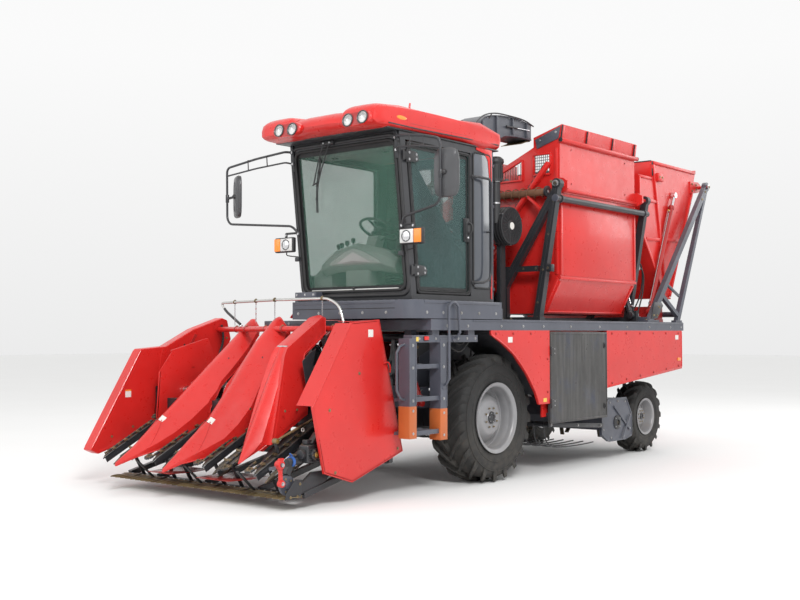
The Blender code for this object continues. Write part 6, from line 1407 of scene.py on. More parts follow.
def cushion(name, frame_matrix, half, crown, channels, body="chassis"):
    """A stuffed block: its seams are held and the cloth between them is blown up by pressure."""
    hx_, hy_, hz_ = half
    bm = bmesh.new()
    bmesh.ops.create_cube(bm, size=2.0)
    bmesh.ops.subdivide_edges(bm, edges=bm.edges[:], cuts=7, use_grid_fill=True)
    for v in bm.verts:
        x, y, z = v.co
        corner = (abs(x) ** 6 * abs(y) ** 6)
        lift = crown * (1 - x * x) * (1 - y * y) if z > 0 else 0.0
        v.co = Vector((x * hx_ * (1 - 0.035 * (1 - y * y) * abs(x) - 0.05 * corner), y * hy_ * (1 - 0.035 * (1 - x * x) * abs(y) - 0.05 * corner), z * hz_ * (1 - 0.10 * corner) + lift))
    rounded(bm, 0.010, 2, 40)
    mesh = bpy.data.meshes.new(name)
    bm.to_mesh(mesh)
    bm.free()
    raw = bpy.data.objects.new(name + "_raw", mesh)
    bpy.context.scene.collection.objects.link(raw)
    remesh = raw.modifiers.new("remesh", "REMESH")
    remesh.mode = "VOXEL"
    remesh.voxel_size = 0.006
    bpy.context.view_layer.update()
    shaped = bpy.data.meshes.new_from_object(raw.evaluated_get(bpy.context.evaluated_depsgraph_get()))
    bpy.data.objects.remove(raw, do_unlink=True)
    soft = bpy.data.objects.new(name, shaped)
    bpy.context.scene.collection.objects.link(soft)
    group = soft.vertex_groups.new(name="sewn")
    for v in shaped.vertices:
        x, y, z = v.co
        near = min([abs(x - c) for c in channels] + [9.0]) if z > 0 and abs(y) < hy_ * 0.86 else 9.0
        rim = abs(z - (hz_ - 0.014)) if (abs(x) > hx_ * 0.93 or abs(y) > hy_ * 0.93) else 9.0
        foot = abs(z + (hz_ - 0.014)) if (abs(x) > hx_ * 0.93 or abs(y) > hy_ * 0.93) else 9.0
        under = 0.0 if z < -hz_ + 0.004 else 9.0
        if min(near, rim, foot, under) < 0.0042:
            group.add([v.index], 1.0, "REPLACE")
    start = [v.co.copy() for v in shaped.vertices]
    cloth = soft.modifiers.new("cloth", "CLOTH")
    cloth.settings.quality = 5
    cloth.settings.mass = 0.3
    cloth.settings.use_pressure = True
    cloth.settings.uniform_pressure_force = 4.0
    cloth.settings.vertex_group_mass = "sewn"
    cloth.settings.effector_weights.gravity = 0.0
    cloth.settings.tension_stiffness = 12.0
    cloth.settings.compression_stiffness = 12.0
    cloth.collision_settings.use_collision = False
    cloth.point_cache.frame_start, cloth.point_cache.frame_end = 1, 20
    for number in range(1, 21):
        bpy.context.scene.frame_set(number)
    blown = bpy.data.meshes.new_from_object(soft.evaluated_get(bpy.context.evaluated_depsgraph_get()))
    moved = [v.co.copy() for v in blown.vertices]
    bpy.data.meshes.remove(blown)
    soft.modifiers.clear()
    soft.vertex_groups.clear()
    bpy.context.scene.frame_set(1)
    for v, a, b in zip(shaped.vertices, start, moved):
        step = b - a
        v.co = a + (step if step.length < 0.024 else step.normalized() * 0.024)
    shaped.polygons.foreach_set("use_smooth", [True] * len(shaped.polygons))
    shaped.transform(Matrix.Translation(SHIFT) @ frame_matrix)
    shaped.materials.clear()
    shaped.materials.append(CLOTH)
    smooth = soft.modifiers.new("smooth", "SUBSURF")
    smooth.levels = smooth.render_levels = 1
    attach(soft, body)
    return soft


seat_pad = cushion("seat_cushion", Matrix.Translation((0.680, 0.40, 2.195)), (0.235, 0.230, 0.050), 0.016, (-0.10, 0.02, 0.14))
lean_back = Matrix.Translation((0.445, 0.40, 2.560)) @ Matrix.Rotation(math.radians(80.5), 4, "Y") @ Matrix.Rotation(0, 4, "Z")
back_pad = cushion("seat_back", lean_back, (0.285, 0.220, 0.045), 0.014, (-0.16, -0.04, 0.08))
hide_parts("driver_seat")


# ================================================================ platform and deck
deck = Piece("platform_trim", "chassis", "grey_paint", smooth=32)
# slotted box at the front of the platform, fascia seam, edge strip
deck.box(GREY, (1.470, 1.482), (-0.275, -0.005), (1.755, 1.858), 0.008, 3)
deck.box(GASKET, (1.4815, 1.4835), (-0.235, -0.045), (1.772, 1.786), 0.0005, 1)
deck.bolts(STEEL, [(1.482, y, 1.835) for y in (-0.25, -0.14, -0.03)], (1, 0, 0), 0.008)
deck.box(GREY, (1.486, 1.494), (-0.28, 0.98), (1.735, 1.764), 0.003)
deck.box(GASKET, (1.4900, 1.4915), (-0.27, 0.98), (1.690, 1.696), 0.0004, 1)
deck.bolts(ZINC, [(1.490, y, 1.655) for y in (-0.22, 0.05, 0.32, 0.60, 0.88)], (1, 0, 0), 0.010)
deck.box(GREY, (0.14, 1.32), (1.179, 1.186), (1.738, 1.764), 0.003)
deck.bolts(ZINC, [(x, 1.180, 1.655) for x in (0.20, 0.48, 0.76, 1.04, 1.28)], (0, 1, 0), 0.010)
for x in spaced((0.50, 0, 0), (1.40, 0, 0), 12):  # raised lozenges of the tread plate beside the cab
    for y, lean in ((1.105, 1), (1.145, -1)):
        deck.add(GREY, beam_shape((x.x - 0.014, y - 0.010 * lean, 1.7665), (x.x + 0.014, y + 0.010 * lean, 1.7665), 0.008, 0.004, (0, 0, 1), 0.001, 1))
for y in spaced((0, -0.22, 0), (0, 1.00, 0), 15):
    for x, lean in ((1.40, 1), (1.445, -1)):
        if y.y > 0.04:
            deck.add(GREY, beam_shape((x - 0.010 * lean, y.y - 0.014, 1.7665), (x + 0.010 * lean, y.y + 0.014, 1.7665), 0.008, 0.004, (0, 0, 1), 0.001, 1))
# deck line: bolts and blank labels on the sill
deck.bolts(ZINC, [(x, 1.180, 1.535) for x in (0.98, 0.66, 0.107, -0.28, -0.659, -1.20, -1.82, -2.461, -3.02, -3.58, -3.88)], (0, 1, 0), 0.010)
deck.bolts(ZINC, [(x, -1.180, 1.535) for x in (0.50, 0.107, -0.28, -0.659, -1.20, -1.82, -2.461, -3.02, -3.58, -3.88)], (0, -1, 0), 0.010)
deck.add(GREY, beam_shape((0.58, 1.1815, 1.585), (-3.94, 1.1815, 1.585), 0.010, 0.016, (0, 1, 0), 0.003), beam_shape((0.58, -1.1815, 1.585), (-3.94, -1.1815, 1.585), 0.010, 0.016, (0, 1, 0), 0.003))
# deck stanchions and low kerb on the right side, behind the cab
for x in (-0.55, -1.25, -1.95, -2.65, -3.35):
    deck.rod(GREY, (x, -1.12, 1.60), (x, -1.12, 1.72), 0.012, 12)
deck.pipe(GREY, [(-0.50, -1.12, 1.60), (-0.50, -1.12, 1.72), (-3.42, -1.12, 1.72), (-3.42, -1.12, 1.60)], 0.012, 12, radius=0.05)
# gusset beside the platform and the beam across the front
deck.add(RED, plate_shape([(1.060, 1.790), (1.30, 1.790), (1.480, 1.618), (1.240, 1.618)], "XZ", -0.352, -0.344, 0.002), plate_shape([(0.92, 1.800), (1.04, 1.800), (1.22, 1.618), (1.02, 1.618)], "XZ", -0.600, -0.592, 0.002))
deck.add(RED_PAINTED_SHADE, beam_shape((1.08, -0.60, 1.700), (1.08, -0.31, 1.700), 0.05, 0.03, (0, 0, 1), 0.004))
deck.add(GREY, beam_shape((1.150, -0.30, 1.560), (1.150, -1.02, 1.560), 0.070, 0.060, (0, 0, 1), 0.006))
deck.add(GREY, beam_shape((1.15, -1.00, 1.53), (0.66, -1.12, 1.53), 0.06, 0.05, (0, 0, 1), 0.005))
deck.bolts(ZINC, [(1.182, y, 1.565) for y in (-0.40, -0.66, -0.92)], (1, 0, 0), 0.010)
deck.done()

# ---------------------------------------------------------------- ladder
steps = Piece("ladder_trim", "chassis", "grey_paint", smooth=32)
for x0, x1 in ((0.938, 1.042), (1.388, 1.487)):
    low = 0.498 if x0 < 1.2 else 0.538
    steps.box(ORANGE, (x0 - 0.001, x1 + 0.001), (1.0195, 1.1475), (low, low + 0.285), 0.003)
    steps.bolts(STEEL, [((x0 + x1) / 2, 1.1475, z) for z in (low + 0.045, low + 0.245)], (0, 1, 0), 0.009)
    steps.bolts(ZINC, [((x0 + x1) / 2, 1.145, z) for z in (0.872, 1.162, 1.36)], (0, 1, 0), 0.010)
    steps.add(GREY, beam_shape(((x0 + x1) / 2 - 0.045, 1.146, low + 0.30), ((x0 + x1) / 2 - 0.045, 1.146, 1.38), 0.006, 0.012, (0, 1, 0), 0.002), beam_shape(((x0 + x1) / 2 + 0.045, 1.146, low + 0.30), ((x0 + x1) / 2 + 0.045, 1.146, 1.38), 0.006, 0.012, (0, 1, 0), 0.002))
for z in (0.56, 0.86, 1.15):
    steps.add(GREY, beam_shape((1.045, 1.126, z + 0.024), (1.385, 1.126, z + 0.024), 0.012, 0.034, (0, 1, 0), 0.002), beam_shape((1.045, 0.926, z + 0.024), (1.385, 0.926, z + 0.024), 0.012, 0.034, (0, 1, 0), 0.002))
    for k in range(7):
        steps.add(GREY, beam_shape((1.05, 0.948 + k * 0.026, z + 0.031), (1.38, 0.948 + k * 0.026, z + 0.031), 0.006, 0.008, (0, 1, 0), 0.001, 1))
    for k in range(14):
        steps.add(GREY, box_shape((1.055 + k * 0.0245, 1.061 + k * 0.0245), (0.94, 1.12), (z + 0.028, z + 0.034), 0.001, 1))
steps.bolts(ZINC, [(x, 1.140, 1.418) for x in (0.49, 0.62, 0.76, 0.90, 1.10, 1.34)], (0, 1, 0), 0.009)
steps.add(GREY, box_shape((0.46, 1.43), (1.1395, 1.1435), (1.436, 1.448), 0.001, 1))
# small lamp, blank label, cables
steps.box(RED, (1.215, 1.275), (1.1385, 1.1560), (1.405, 1.440), 0.006, 3).box(GASKET, (1.208, 1.282), (1.1385, 1.1440), (1.400, 1.445), 0.003)
steps.box(YELLOW, (1.35, 1.385), (1.1395, 1.1412), (1.395, 1.435), 0.0005, 1)
for x, z in ((0.99, 0.98), (0.83, 1.415)):
    steps.add(GREY, rod_shape((x, 1.140, z), (x, 1.150, z), 0.026, 18, bevel=0.003))
steps.pipe(GASKET, [(0.40, 1.02, 1.48), (0.52, 0.99, 1.36), (0.66, 0.98, 1.40), (0.78, 0.98, 1.33), (0.92, 0.99, 1.46)], 0.008, 8, smooth=6)
steps.pipe(HOSE, [(0.30, 0.98, 1.47), (0.44, 0.94, 1.30), (0.60, 0.92, 1.34), (0.70, 0.90, 1.47)], 0.011, 8, smooth=7)
steps.done()

# ---------------------------------------------------------------- wheel arches, mudguard edges, side panels
sides = Piece("side_panel_trim", "chassis", "red_paint", smooth=32)
ARCH = [(0.28, 1.494), (0.27, 1.450), (0.10, 1.375), (-0.12, 1.250), (-0.34, 1.060), (-0.50, 0.870), (-0.57, 0.740)]
for sign in (1, -1):
    edge = [Vector((x, sign * 1.1805, z)) for x, z in ARCH]
    sides.add(RED, pipe_shape(curve_through(edge, 4), 0.0075, 10))
    liner = []
    for x, z in [(p.x, p.z) for p in curve_through(edge, 4)]:
        liner.append([Vector((x - 0.006, sign * 1.155, z + 0.004)), Vector((x - 0.012, sign * 1.155, z + 0.010)), Vector((x - 0.052, sign * 0.66, z + 0.020)), Vector((x - 0.046, sign * 0.66, z + 0.012))])
    if sign > 0:
        sides.add(DARK, loft_shape(liner[:-3]))
    else:
        sides.add(DARK, loft_shape(liner))
    # pressed swage and bolts along the lower edge of the tail panel
    sides.add(RED, beam_shape((-2.02, sign * 1.1810, 0.872), (-3.885, sign * 1.1810, 1.040), 0.008, 0.022, (0, 1, 0), 0.003), beam_shape((-3.892, sign * 1.1810, 1.045), (-3.892, sign * 1.1810, 1.485), 0.008, 0.016, (0, 1, 0), 0.003))
    sides.bolts(RED_PAINTED_SHADE, [(-2.10 - 0.34 * k, sign * 1.180, 0.905 + 0.0306 * k) for k in range(6)], (0, sign, 0), 0.010)
    sides.bolts(RED_PAINTED_SHADE, [(-2.10 - 0.34 * k, sign * 1.180, 1.462) for k in range(6)], (0, sign, 0), 0.010)
    # rear reflectors
    sides.box(AMBER, (-3.86, -3.77), sorted((sign * 1.180, sign * 1.186)), (1.12, 1.16), 0.003)
sides.bolts(RED_PAINTED_SHADE, [(0.20, 1.180, 1.462), (-0.10, 1.180, 1.462), (-0.42, 1.180, 1.462), (-0.735, 1.180, 1.20), (-0.735, 1.180, 0.86)], (0, 1, 0), 0.010)
sides.box(PALE, (-0.085, -0.005), (1.1800, 1.1818), (1.375, 1.430), 0.0008, 1).box(PALE, (-3.800, -3.715), (1.1800, 1.1818), (1.385, 1.440), 0.0008, 1).box(YELLOW, (-0.715, -0.650), (1.1800, 1.1818), (0.760, 0.800), 0.0008, 1)
# inner frame of the service opening
sides.add(DARK, beam_shape((-0.80, 1.125, 0.62), (-1.96, 1.125, 0.62), 0.02, 0.04, (0, 1, 0), 0.004), beam_shape((-1.38, 1.125, 0.64), (-1.38, 1.125, 1.46), 0.012, 0.05, (0, 1, 0), 0.004))
# tail: cross plate, lamps, tow pin
sides.add(GREY, box_shape((-3.965, -3.950), (-1.05, 1.05), (1.335, 1.475), 0.004))
for sign in (1, -1):
    sides.box(PLASTIC, (-3.990, -3.964), sorted((sign * 0.78, sign * 1.00)), (1.355, 1.455), 0.008, 3)
    sides.box(AMBER, (-3.998, -3.988), sorted((sign * 0.905, sign * 0.985)), (1.365, 1.445), 0.005, 2).box(RED, (-3.998, -3.988), sorted((sign * 0.795, sign * 0.895)), (1.365, 1.445), 0.005, 2)
sides.bolts(ZINC, [(-3.965, y, 1.405) for y in (-0.6, -0.2, 0.2, 0.6)], (-1, 0, 0), 0.012)
sides.add(DARK, beam_shape((-3.94, 0, 1.02), (-4.08, 0, 1.02), 0.12, 0.035, (0, 1, 0), 0.006), beam_shape((-3.98, 0, 1.12), (-3.95, 0, 0.98), 0.14, 0.02, (0, 1, 0), 0.004))
sides.rod(STEEL, (-4.04, 0, 0.985), (-4.04, 0, 1.075), 0.016, 16, bevel=0.003).rod(STEEL, (-4.04, 0, 1.073), (-4.04, 0, 1.083), 0.026, 16, bevel=0.003)
sides.done()

# ---------------------------------------------------------------- service door
panel = Piece("service_door_trim", "service_door", "dark_paint", smooth=32)
panel.add(DOOR, beam_shape((-0.800, 1.1855, 1.462), (-1.962, 1.1855, 1.462), 0.006, 0.014, (0, 1, 0), 0.002), beam_shape((-0.800, 1.1855, 0.545), (-1.962, 1.1855, 0.545), 0.006, 0.014, (0, 1, 0), 0.002),
          beam_shape((-0.798, 1.1855, 0.545), (-0.798, 1.1855, 1.462), 0.006, 0.014, (0, 1, 0), 0.002), beam_shape((-1.964, 1.1855, 0.545), (-1.964, 1.1855, 1.462), 0.006, 0.014, (0, 1, 0), 0.002))
for z in (0.74, 1.28):
    panel.rod(DARK, (-0.790, 1.192, z - 0.050), (-0.790, 1.192, z + 0.050), 0.009, 14, bevel=0.002)
    panel.bolts(STEEL, [(-0.86, 1.184, z - 0.022), (-0.86, 1.184, z + 0.022)], (0, 1, 0), 0.008)
    panel.box(DOOR, (-0.90, -0.83), (1.1835, 1.1870), (z - 0.036, z + 0.036), 0.001, 1)
for z in (0.66, 1.33):
    panel.add(PLASTIC, oval_shape((-1.915, 1.184, z), (0, 1, 0), (0, 0, 1), 0.022, 0.034, 0.006, 2.6, 24), beam_shape((-1.915, 1.194, z - 0.018), (-1.915, 1.194, z + 0.018), 0.010, 0.010, (0, 1, 0), 0.003))
panel.rod(DARK, (-1.38, 1.146, 0.58), (-1.38, 1.146, 1.44), 0.006, 6)
panel.done()

# ---------------------------------------------------------------- chopper and underside
under = Piece("chopper_trim", "chassis", "grey_paint", smooth=32)
for sign in (1, -1):
    y = sign * 1.021
    CH = [(-2.145, 0.31), (-2.145, 0.505), (-2.298, 0.705), (-2.722, 0.705), (-2.855, 0.505), (-2.855, 0.26), (-2.70, 0.226), (-2.30, 0.226)]
    for a, b in zip(CH, CH[1:] + CH[:1]):
        under.add(GREY, beam_shape((a[0], y, a[1]), (b[0], y, b[1]), 0.010, 0.018, (0, 1, 0), 0.003))
    under.bolts(ZINC, [(-2.18, y, 0.36), (-2.20, y, 0.53), (-2.33, y, 0.665), (-2.52, y, 0.675), (-2.70, y, 0.665), (-2.82, y, 0.50), (-2.82, y, 0.34), (-2.66, y, 0.262), (-2.36, y, 0.262)], (0, sign, 0), 0.009)
    # flange bearing and its bolts
    under.add(DARK, lathe_shape([(1.021, 0.034), (1.021, 0.082), (1.030, 0.080), (1.036, 0.050), (1.040, 0.034)], (-2.50, 0, 0.43), 32, flip=sign < 0, closed=True))
    under.bolts(ZINC, [(-2.50 + 0.066 * math.cos(a), sign * 1.029, 0.43 + 0.066 * math.sin(a)) for a in (0.78, 2.36, 3.93, 5.50)], (0, sign, 0), 0.009)
    # crossed adjusting links
    under.add(GREY, beam_shape((-2.42, sign * 1.032, 0.62), (-2.80, sign * 1.032, 0.33), 0.006, 0.026, (0, 1, 0), 0.002), beam_shape((-2.80, sign * 1.038, 0.50), (-2.60, sign * 1.038, 0.24), 0.006, 0.026, (0, 1, 0), 0.002))
    # side bar forward to the pick-up
    under.add(DARK, beam_shape((-2.12, sign * 1.045, 0.42), (-0.95, sign * 1.045, 0.50), 0.020, 0.050, (0, 1, 0), 0.005), beam_shape((-1.30, sign * 1.045, 0.47), (-1.30, sign * 0.46, 0.93), 0.05, 0.03, (1, 0, 0), 0.005))
    under.bolts(ZINC, [(-2.05, sign * 1.055, 0.425), (-1.55, sign * 1.055, 0.46), (-1.00, sign * 1.055, 0.497)], (0, sign, 0), 0.011)
under.add(DARK, rod_shape((-0.98, -1.04, 0.500), (-0.98, 1.04, 0.500), 0.024, 18), rod_shape((-1.60, -1.04, 0.455), (-1.60, 1.04, 0.455), 0.020, 18))
for k in range(16):
    y = -0.975 + k * 0.13
    under.pipe(DARK, [(-0.98, y, 0.488), (-1.02, y, 0.330), (-1.16, y, 0.252), (-1.42, y, 0.232), (-1.74, y, 0.228), (-2.02, y, 0.236)], 0.0075, 6, smooth=3)
    under.add(DARK, rod_shape((-0.98, y - 0.014, 0.50), (-0.98, y + 0.014, 0.50), 0.030, 14))
# axle details: hub flanges, tie rod, steering cylinder, spring seats
for sign in (1, -1):
    under.add(DARK, rod_shape((0.0, sign * 0.60, 0.6325), (0.0, sign * 0.62, 0.6325), 0.235, 28, bevel=0.004))
    under.bolts(ZINC, [(0.215 * math.cos(a), sign * 0.62, 0.6325 + 0.215 * math.sin(a)) for a in (2 * math.pi * k / 10 for k in range(10))], (0, sign, 0), 0.012)
    under.add(GREY, beam_shape((0.0, sign * 0.47, 1.02), (0.0, sign * 0.47, 0.78), 0.16, 0.012, (1, 0, 0), 0.003))
    under.bolts(ZINC, [(x, sign * 0.477, z) for x in (-0.05, 0.05) for z in (0.82, 0.98)], (0, sign, 0), 0.013)
under.add(DARK, rod_shape((0.24, 0.0, 0.66), (0.30, 0.0, 0.70), 0.11, 26, bevel=0.006), rod_shape((-0.24, 0.0, 0.64), (-0.34, 0.0, 0.64), 0.13, 26, bevel=0.006))
under.bolts(ZINC, [(-0.34, 0.105 * math.cos(a), 0.64 + 0.105 * math.sin(a)) for a in (2 * math.pi * k / 8 for k in range(8))], (-1, 0, 0), 0.012)
under.add(IRON, rod_shape((-0.34, 0, 0.64), (-1.20, 0.0, 1.02), 0.035, 20), rod_shape((-1.20, 0, 1.02), (-1.30, 0, 1.06), 0.06, 20, bevel=0.004))
# tanks and boxes between the rails and the side panels
under.add(GREY, box_shape((-2.95, -2.10), (0.50, 1.02), (1.14, 1.47), 0.03, 4), box_shape((-1.95, -0.85), (-1.02, -0.52), (1.00, 1.46), 0.03, 4))
for x in (-2.75, -2.30):
    under.add(DARK, box_shape((x - 0.02, x + 0.02), (0.495, 1.025), (1.132, 1.478), 0.006))
for x in (-1.75, -1.05):
    under.add(DARK, box_shape((x - 0.02, x + 0.02), (-1.025, -0.515), (0.992, 1.468), 0.006))
for y in (-0.47, 0.47):
    under.pipe(STEEL, [(-0.50, y * 1.02, 1.135), (-2.0, y * 1.02, 1.135), (-3.3, y * 1.02, 1.135)], 0.007, 8)
    under.pipe(STEEL, [(-0.50, y * 0.98, 1.130), (-2.0, y * 0.98, 1.130), (-3.3, y * 0.98, 1.130)], 0.007, 8)
    for x in (-0.8, -1.5, -2.2, -2.9):
        under.box(PLASTIC, (x - 0.014, x + 0.014), (y - 0.022, y + 0.022), (1.118, 1.150), 0.004)
under.done()


# ================================================================ main bin
bin_trim = Piece("main_bin_trim", "main_bin", "red_paint", smooth=32)
X0, X1 = -2.86, -1.16
# rolled tubes with dark caps at the foot and head of the smooth upper band
for y, z, r in ((1.098, 3.005, 0.022), (1.106, 3.540, 0.024)):
    bin_trim.rod(RED, (X0 - 0.02, y, z), (X1 + 0.02, y, z), r, 20, bevel=0.003)
    for x in (X0 - 0.026, X1 + 0.018):
        bin_trim.rod(GASKET, (x, y, z), (x + 0.008, y, z), r * 1.03, 20, bevel=0.002)
# ribs with dark edges on the flared band above the upper tube
for x in (X1 - 0.030, -1.72, -2.30, X0 + 0.030):
    bin_trim.add(RED, beam_shape((x, 1.092, 3.565), (x, 1.114, 3.705), 0.018, 0.045, (0, 1, 0), 0.004))
    bin_trim.add(DARK, beam_shape((x + 0.024, 1.096, 3.567), (x + 0.024, 1.117, 3.700), 0.018, 0.006, (0, 1, 0), 0.001))
for x in (-1.40, -2.62):
    bin_trim.bolts(RED_PAINTED_SHADE, [(x, 1.0805, z) for z in (3.09, 3.46)], (0, 1, 0), 0.008)
# pressed panel on the middle band and the fold below it
bin_trim.add(RED, plate_shape([(X1 - 0.045, 2.965), (X1 - 0.045, 2.085), (X0 + 0.045, 2.085), (X0 + 0.045, 2.965)], "XZ", 1.0800, 1.0835, 0.002))
for x in (X1 - 0.022, X0 + 0.022):
    bin_trim.add(RED, beam_shape((x, 1.084, 2.09), (x, 1.084, 2.96), 0.016, 0.040, (0, 1, 0), 0.004))
bin_trim.rod(RED, (X0 + 0.01, 1.078, 2.060), (X1 - 0.01, 1.078, 2.060), 0.016, 14, bevel=0.002)
slope = Vector((0, -0.20, -0.38)).normalized()
bin_trim.add(RED, beam_shape((X1 - 0.030, 1.066, 2.02), (X1 - 0.030, 0.893, 1.695), 0.014, 0.035, (0, 1, 0), 0.003), beam_shape((X0 + 0.030, 1.066, 2.02), (X0 + 0.030, 0.893, 1.695), 0.014, 0.035, (0, 1, 0), 0.003),
             beam_shape((X0 + 0.02, 0.896, 1.700), (X1 - 0.02, 0.896, 1.700), 0.014, 0.030, (0, 0, 1), 0.003))
# front wall: stiffeners, the hood's frames, mesh window, bracket box and long round bar
FRONT = X1 + 0.003
for (y0, z0), (y1, z1) in (((1.04, 2.10), (1.04, 3.46)), ((0.10, 1.74), (-0.38, 2.44)), ((0.06, 1.72), (0.86, 1.72)), ((0.88, 1.74), (1.05, 2.06)), ((-0.39, 2.50), (-0.39, 3.26)),
                           ((1.04, 3.10), (0.42, 2.10)), ((0.42, 2.10), (0.42, 1.74)), ((-0.36, 2.95), (1.02, 2.95))):
    bin_trim.add(RED, beam_shape((FRONT - 0.002, y0, z0), (FRONT - 0.002, y1, z1), 0.038, 0.028, (0, 0.7, 0.7) if abs(y1 - y0) < 1e-6 else (0, 1, 0), 0.005))
for z0, z1, y0, y1 in ((3.145, 3.235, 0.30, 0.61), (3.185, 3.405, 0.75, 0.97)):
    for a, b in (((y0, z0), (y1, z0)), ((y0, z0), (y0, z1)), ((y1, z0), (y1, z0 + (0.22 if y0 < 0.5 else z1 - z0)))):
        bin_trim.add(RED, beam_shape((FRONT + 0.006, *a), (FRONT + 0.006, *b), 0.020, 0.020, (1, 0, 0), 0.003))
bin_trim.add(RED, beam_shape((FRONT + 0.006, 0.30, 3.235), (FRONT + 0.006, 0.61, 3.370), 0.020, 0.020, (1, 0, 0), 0.003), beam_shape((FRONT + 0.006, 0.75, 3.41), (FRONT + 0.006, 0.97, 3.41), 0.020, 0.020, (1, 0, 0), 0.003))
for k in range(1, 9):  # bars of the openings
    bin_trim.rod(DARK, (FRONT - 0.012, 0.75 + k * 0.0245, 3.19), (FRONT - 0.012, 0.75 + k * 0.0245, 3.405), 0.0035, 6)
    bin_trim.rod(DARK, (FRONT - 0.012, 0.31 + k * 0.033, 3.15), (FRONT - 0.012, 0.31 + k * 0.033, 3.235 + k * 0.0125), 0.0035, 6)
for k in range(1, 7):
    bin_trim.rod(DARK, (FRONT - 0.014, 0.755, 3.19 + k * 0.031), (FRONT - 0.014, 0.965, 3.19 + k * 0.031), 0.0035, 6)
# grey flap on the front corner
bin_trim.add(GREY, plate_shape([(0.78, 3.575), (1.10, 3.690), (1.07, 3.560), (0.80, 3.47)], "YZ", FRONT + 0.002, FRONT + 0.010, 0.003))
for y, z in ((0.84, 3.56), (1.04, 3.63)):
    bin_trim.bolts(STEEL, [(FRONT + 0.010, y, z)], (1, 0, 0), 0.009)
# rear wall: cross ribs and a lip; right wall: two long ribs
for z in (2.30, 2.75, 3.20):
    bin_trim.add(RED, beam_shape((X0 - 0.010, -0.36, z), (X0 - 0.010, 1.04, z), 0.016, 0.040, (1, 0, 0), 0.004))
for y in (0.0, 0.55):
    bin_trim.add(RED, beam_shape((X0 - 0.012, y, 1.90), (X0 - 0.012, y, 3.25), 0.040, 0.018, (0, 1, 0), 0.004))
for z in (2.55, 2.90, 3.20):
    bin_trim.add(RED, beam_shape((X0 + 0.04, -0.430, z), (X1 - 0.04, -0.430, z), 0.020, 0.040, (0, 1, 0), 0.004))
for x in (-1.45, -2.00, -2.55):
    bin_trim.add(RED, beam_shape((x, -0.431, 2.47), (x, -0.431, 3.28), 0.035, 0.018, (1, 0, 0), 0.004))
    bin_trim.add(RED, beam_shape((x, -0.400, 2.43), (x, 0.055, 1.71), 0.035, 0.022, (1, 0, 0), 0.004))
bin_trim.rod(RED, (X0 + 0.01, -0.420, 3.305), (X1 - 0.01, -0.420, 3.305), 0.016, 14, bevel=0.002)
# pivot lugs' bolts
for x in (X1 + 0.022, X0 - 0.022):
    way = (1 if x > -2 else -1, 0, 0)
    bin_trim.bolts(GOLD, [(x - way[0] * 0.001, y, z) for y, z in ((0.985, 3.00), (0.985, 3.10), (1.06, 3.115))], way, 0.011)
bin_trim.done()

# ---------------------------------------------------------------- loading arm and auger carried by the stand
loader = Piece("bin_loading_arm", "chassis", "red_paint", smooth=32)
# brown auger tube behind the openings, with its flight
loader.rod(RUST, (FRONT + 0.075, -0.02, 2.985), (FRONT + 0.075, 0.96, 2.985), 0.040, 24, bevel=0.004)
flight = [Vector((FRONT + 0.075 + 0.055 * math.cos(a), 0.06 + a * 0.0155, 2.985 + 0.055 * math.sin(a))) for a in (k * 0.35 for k in range(160))]
loader.pipe(RUST, flight, 0.006, 6)
loader.rod(DARK, (FRONT + 0.075, 0.96, 2.985), (FRONT + 0.075, 0.985, 2.985), 0.064, 24, bevel=0.004)
loader.bolts(STEEL, [(FRONT + 0.075, 0.985, 2.985)], (0, 1, 0), 0.014)
# stowed loading arm: red beam with a roller chain, bracket box, round bar
loader.add(RED, beam_shape((FRONT + 0.055, 0.98, 3.30), (FRONT + 0.055, 0.40, 2.62), 0.060, 0.045, (1, 0, 0), 0.006))
for k in range(26):
    p = Vector((FRONT + 0.055, 0.98, 3.30)).lerp(Vector((FRONT + 0.055, 0.40, 2.62)), 0.04 + k * 0.036) + Vector((0, -0.024, 0.021))
    loader.add(IRON, rod_shape(p - Vector((0.012, 0, 0)), p + Vector((0.012, 0, 0)), 0.0085, 8))
    if k % 2:
        q = p + Vector((0, -0.0204, -0.0238))
        loader.add(DARK, beam_shape(p + Vector((0.013, 0, 0)), q + Vector((0.013, 0, 0)), 0.003, 0.014, (1, 0, 0), 0.0))
loader.box(RED, (FRONT + 0.010, FRONT + 0.100), (0.30, 0.52), (2.50, 2.64), 0.010, 3)
loader.bolts(GOLD, [(FRONT + 0.100, y, z) for y in (0.335, 0.41, 0.485) for z in (2.535, 2.605)], (1, 0, 0), 0.011)
loader.rod(RED, (FRONT + 0.075, 0.44, 2.50), (FRONT + 0.075, 0.02, 1.98), 0.032, 20, bevel=0.004)
for k in (0.15, 0.5, 0.85):
    p = Vector((FRONT + 0.075, 0.44, 2.50)).lerp(Vector((FRONT + 0.075, 0.02, 1.98)), k)
    d = Vector((0, -0.42, -0.52)).normalized() * 0.012
    loader.rod(RED_PAINTED_SHADE, p - d, p + d, 0.038, 20, bevel=0.003)
loader.box(RED, (FRONT + 0.008, FRONT + 0.090), (-0.03, 0.05), (1.90, 2.00), 0.008)
loader.add(RED, beam_shape((-1.085, 0.70, 2.97), (-1.040, 0.98, 2.75), 0.050, 0.030, (1, 0, 0), 0.005), beam_shape((-1.085, 0.14, 2.13), (-1.030, 0.42, 1.95), 0.040, 0.030, (1, 0, 0), 0.005))
loader.done()

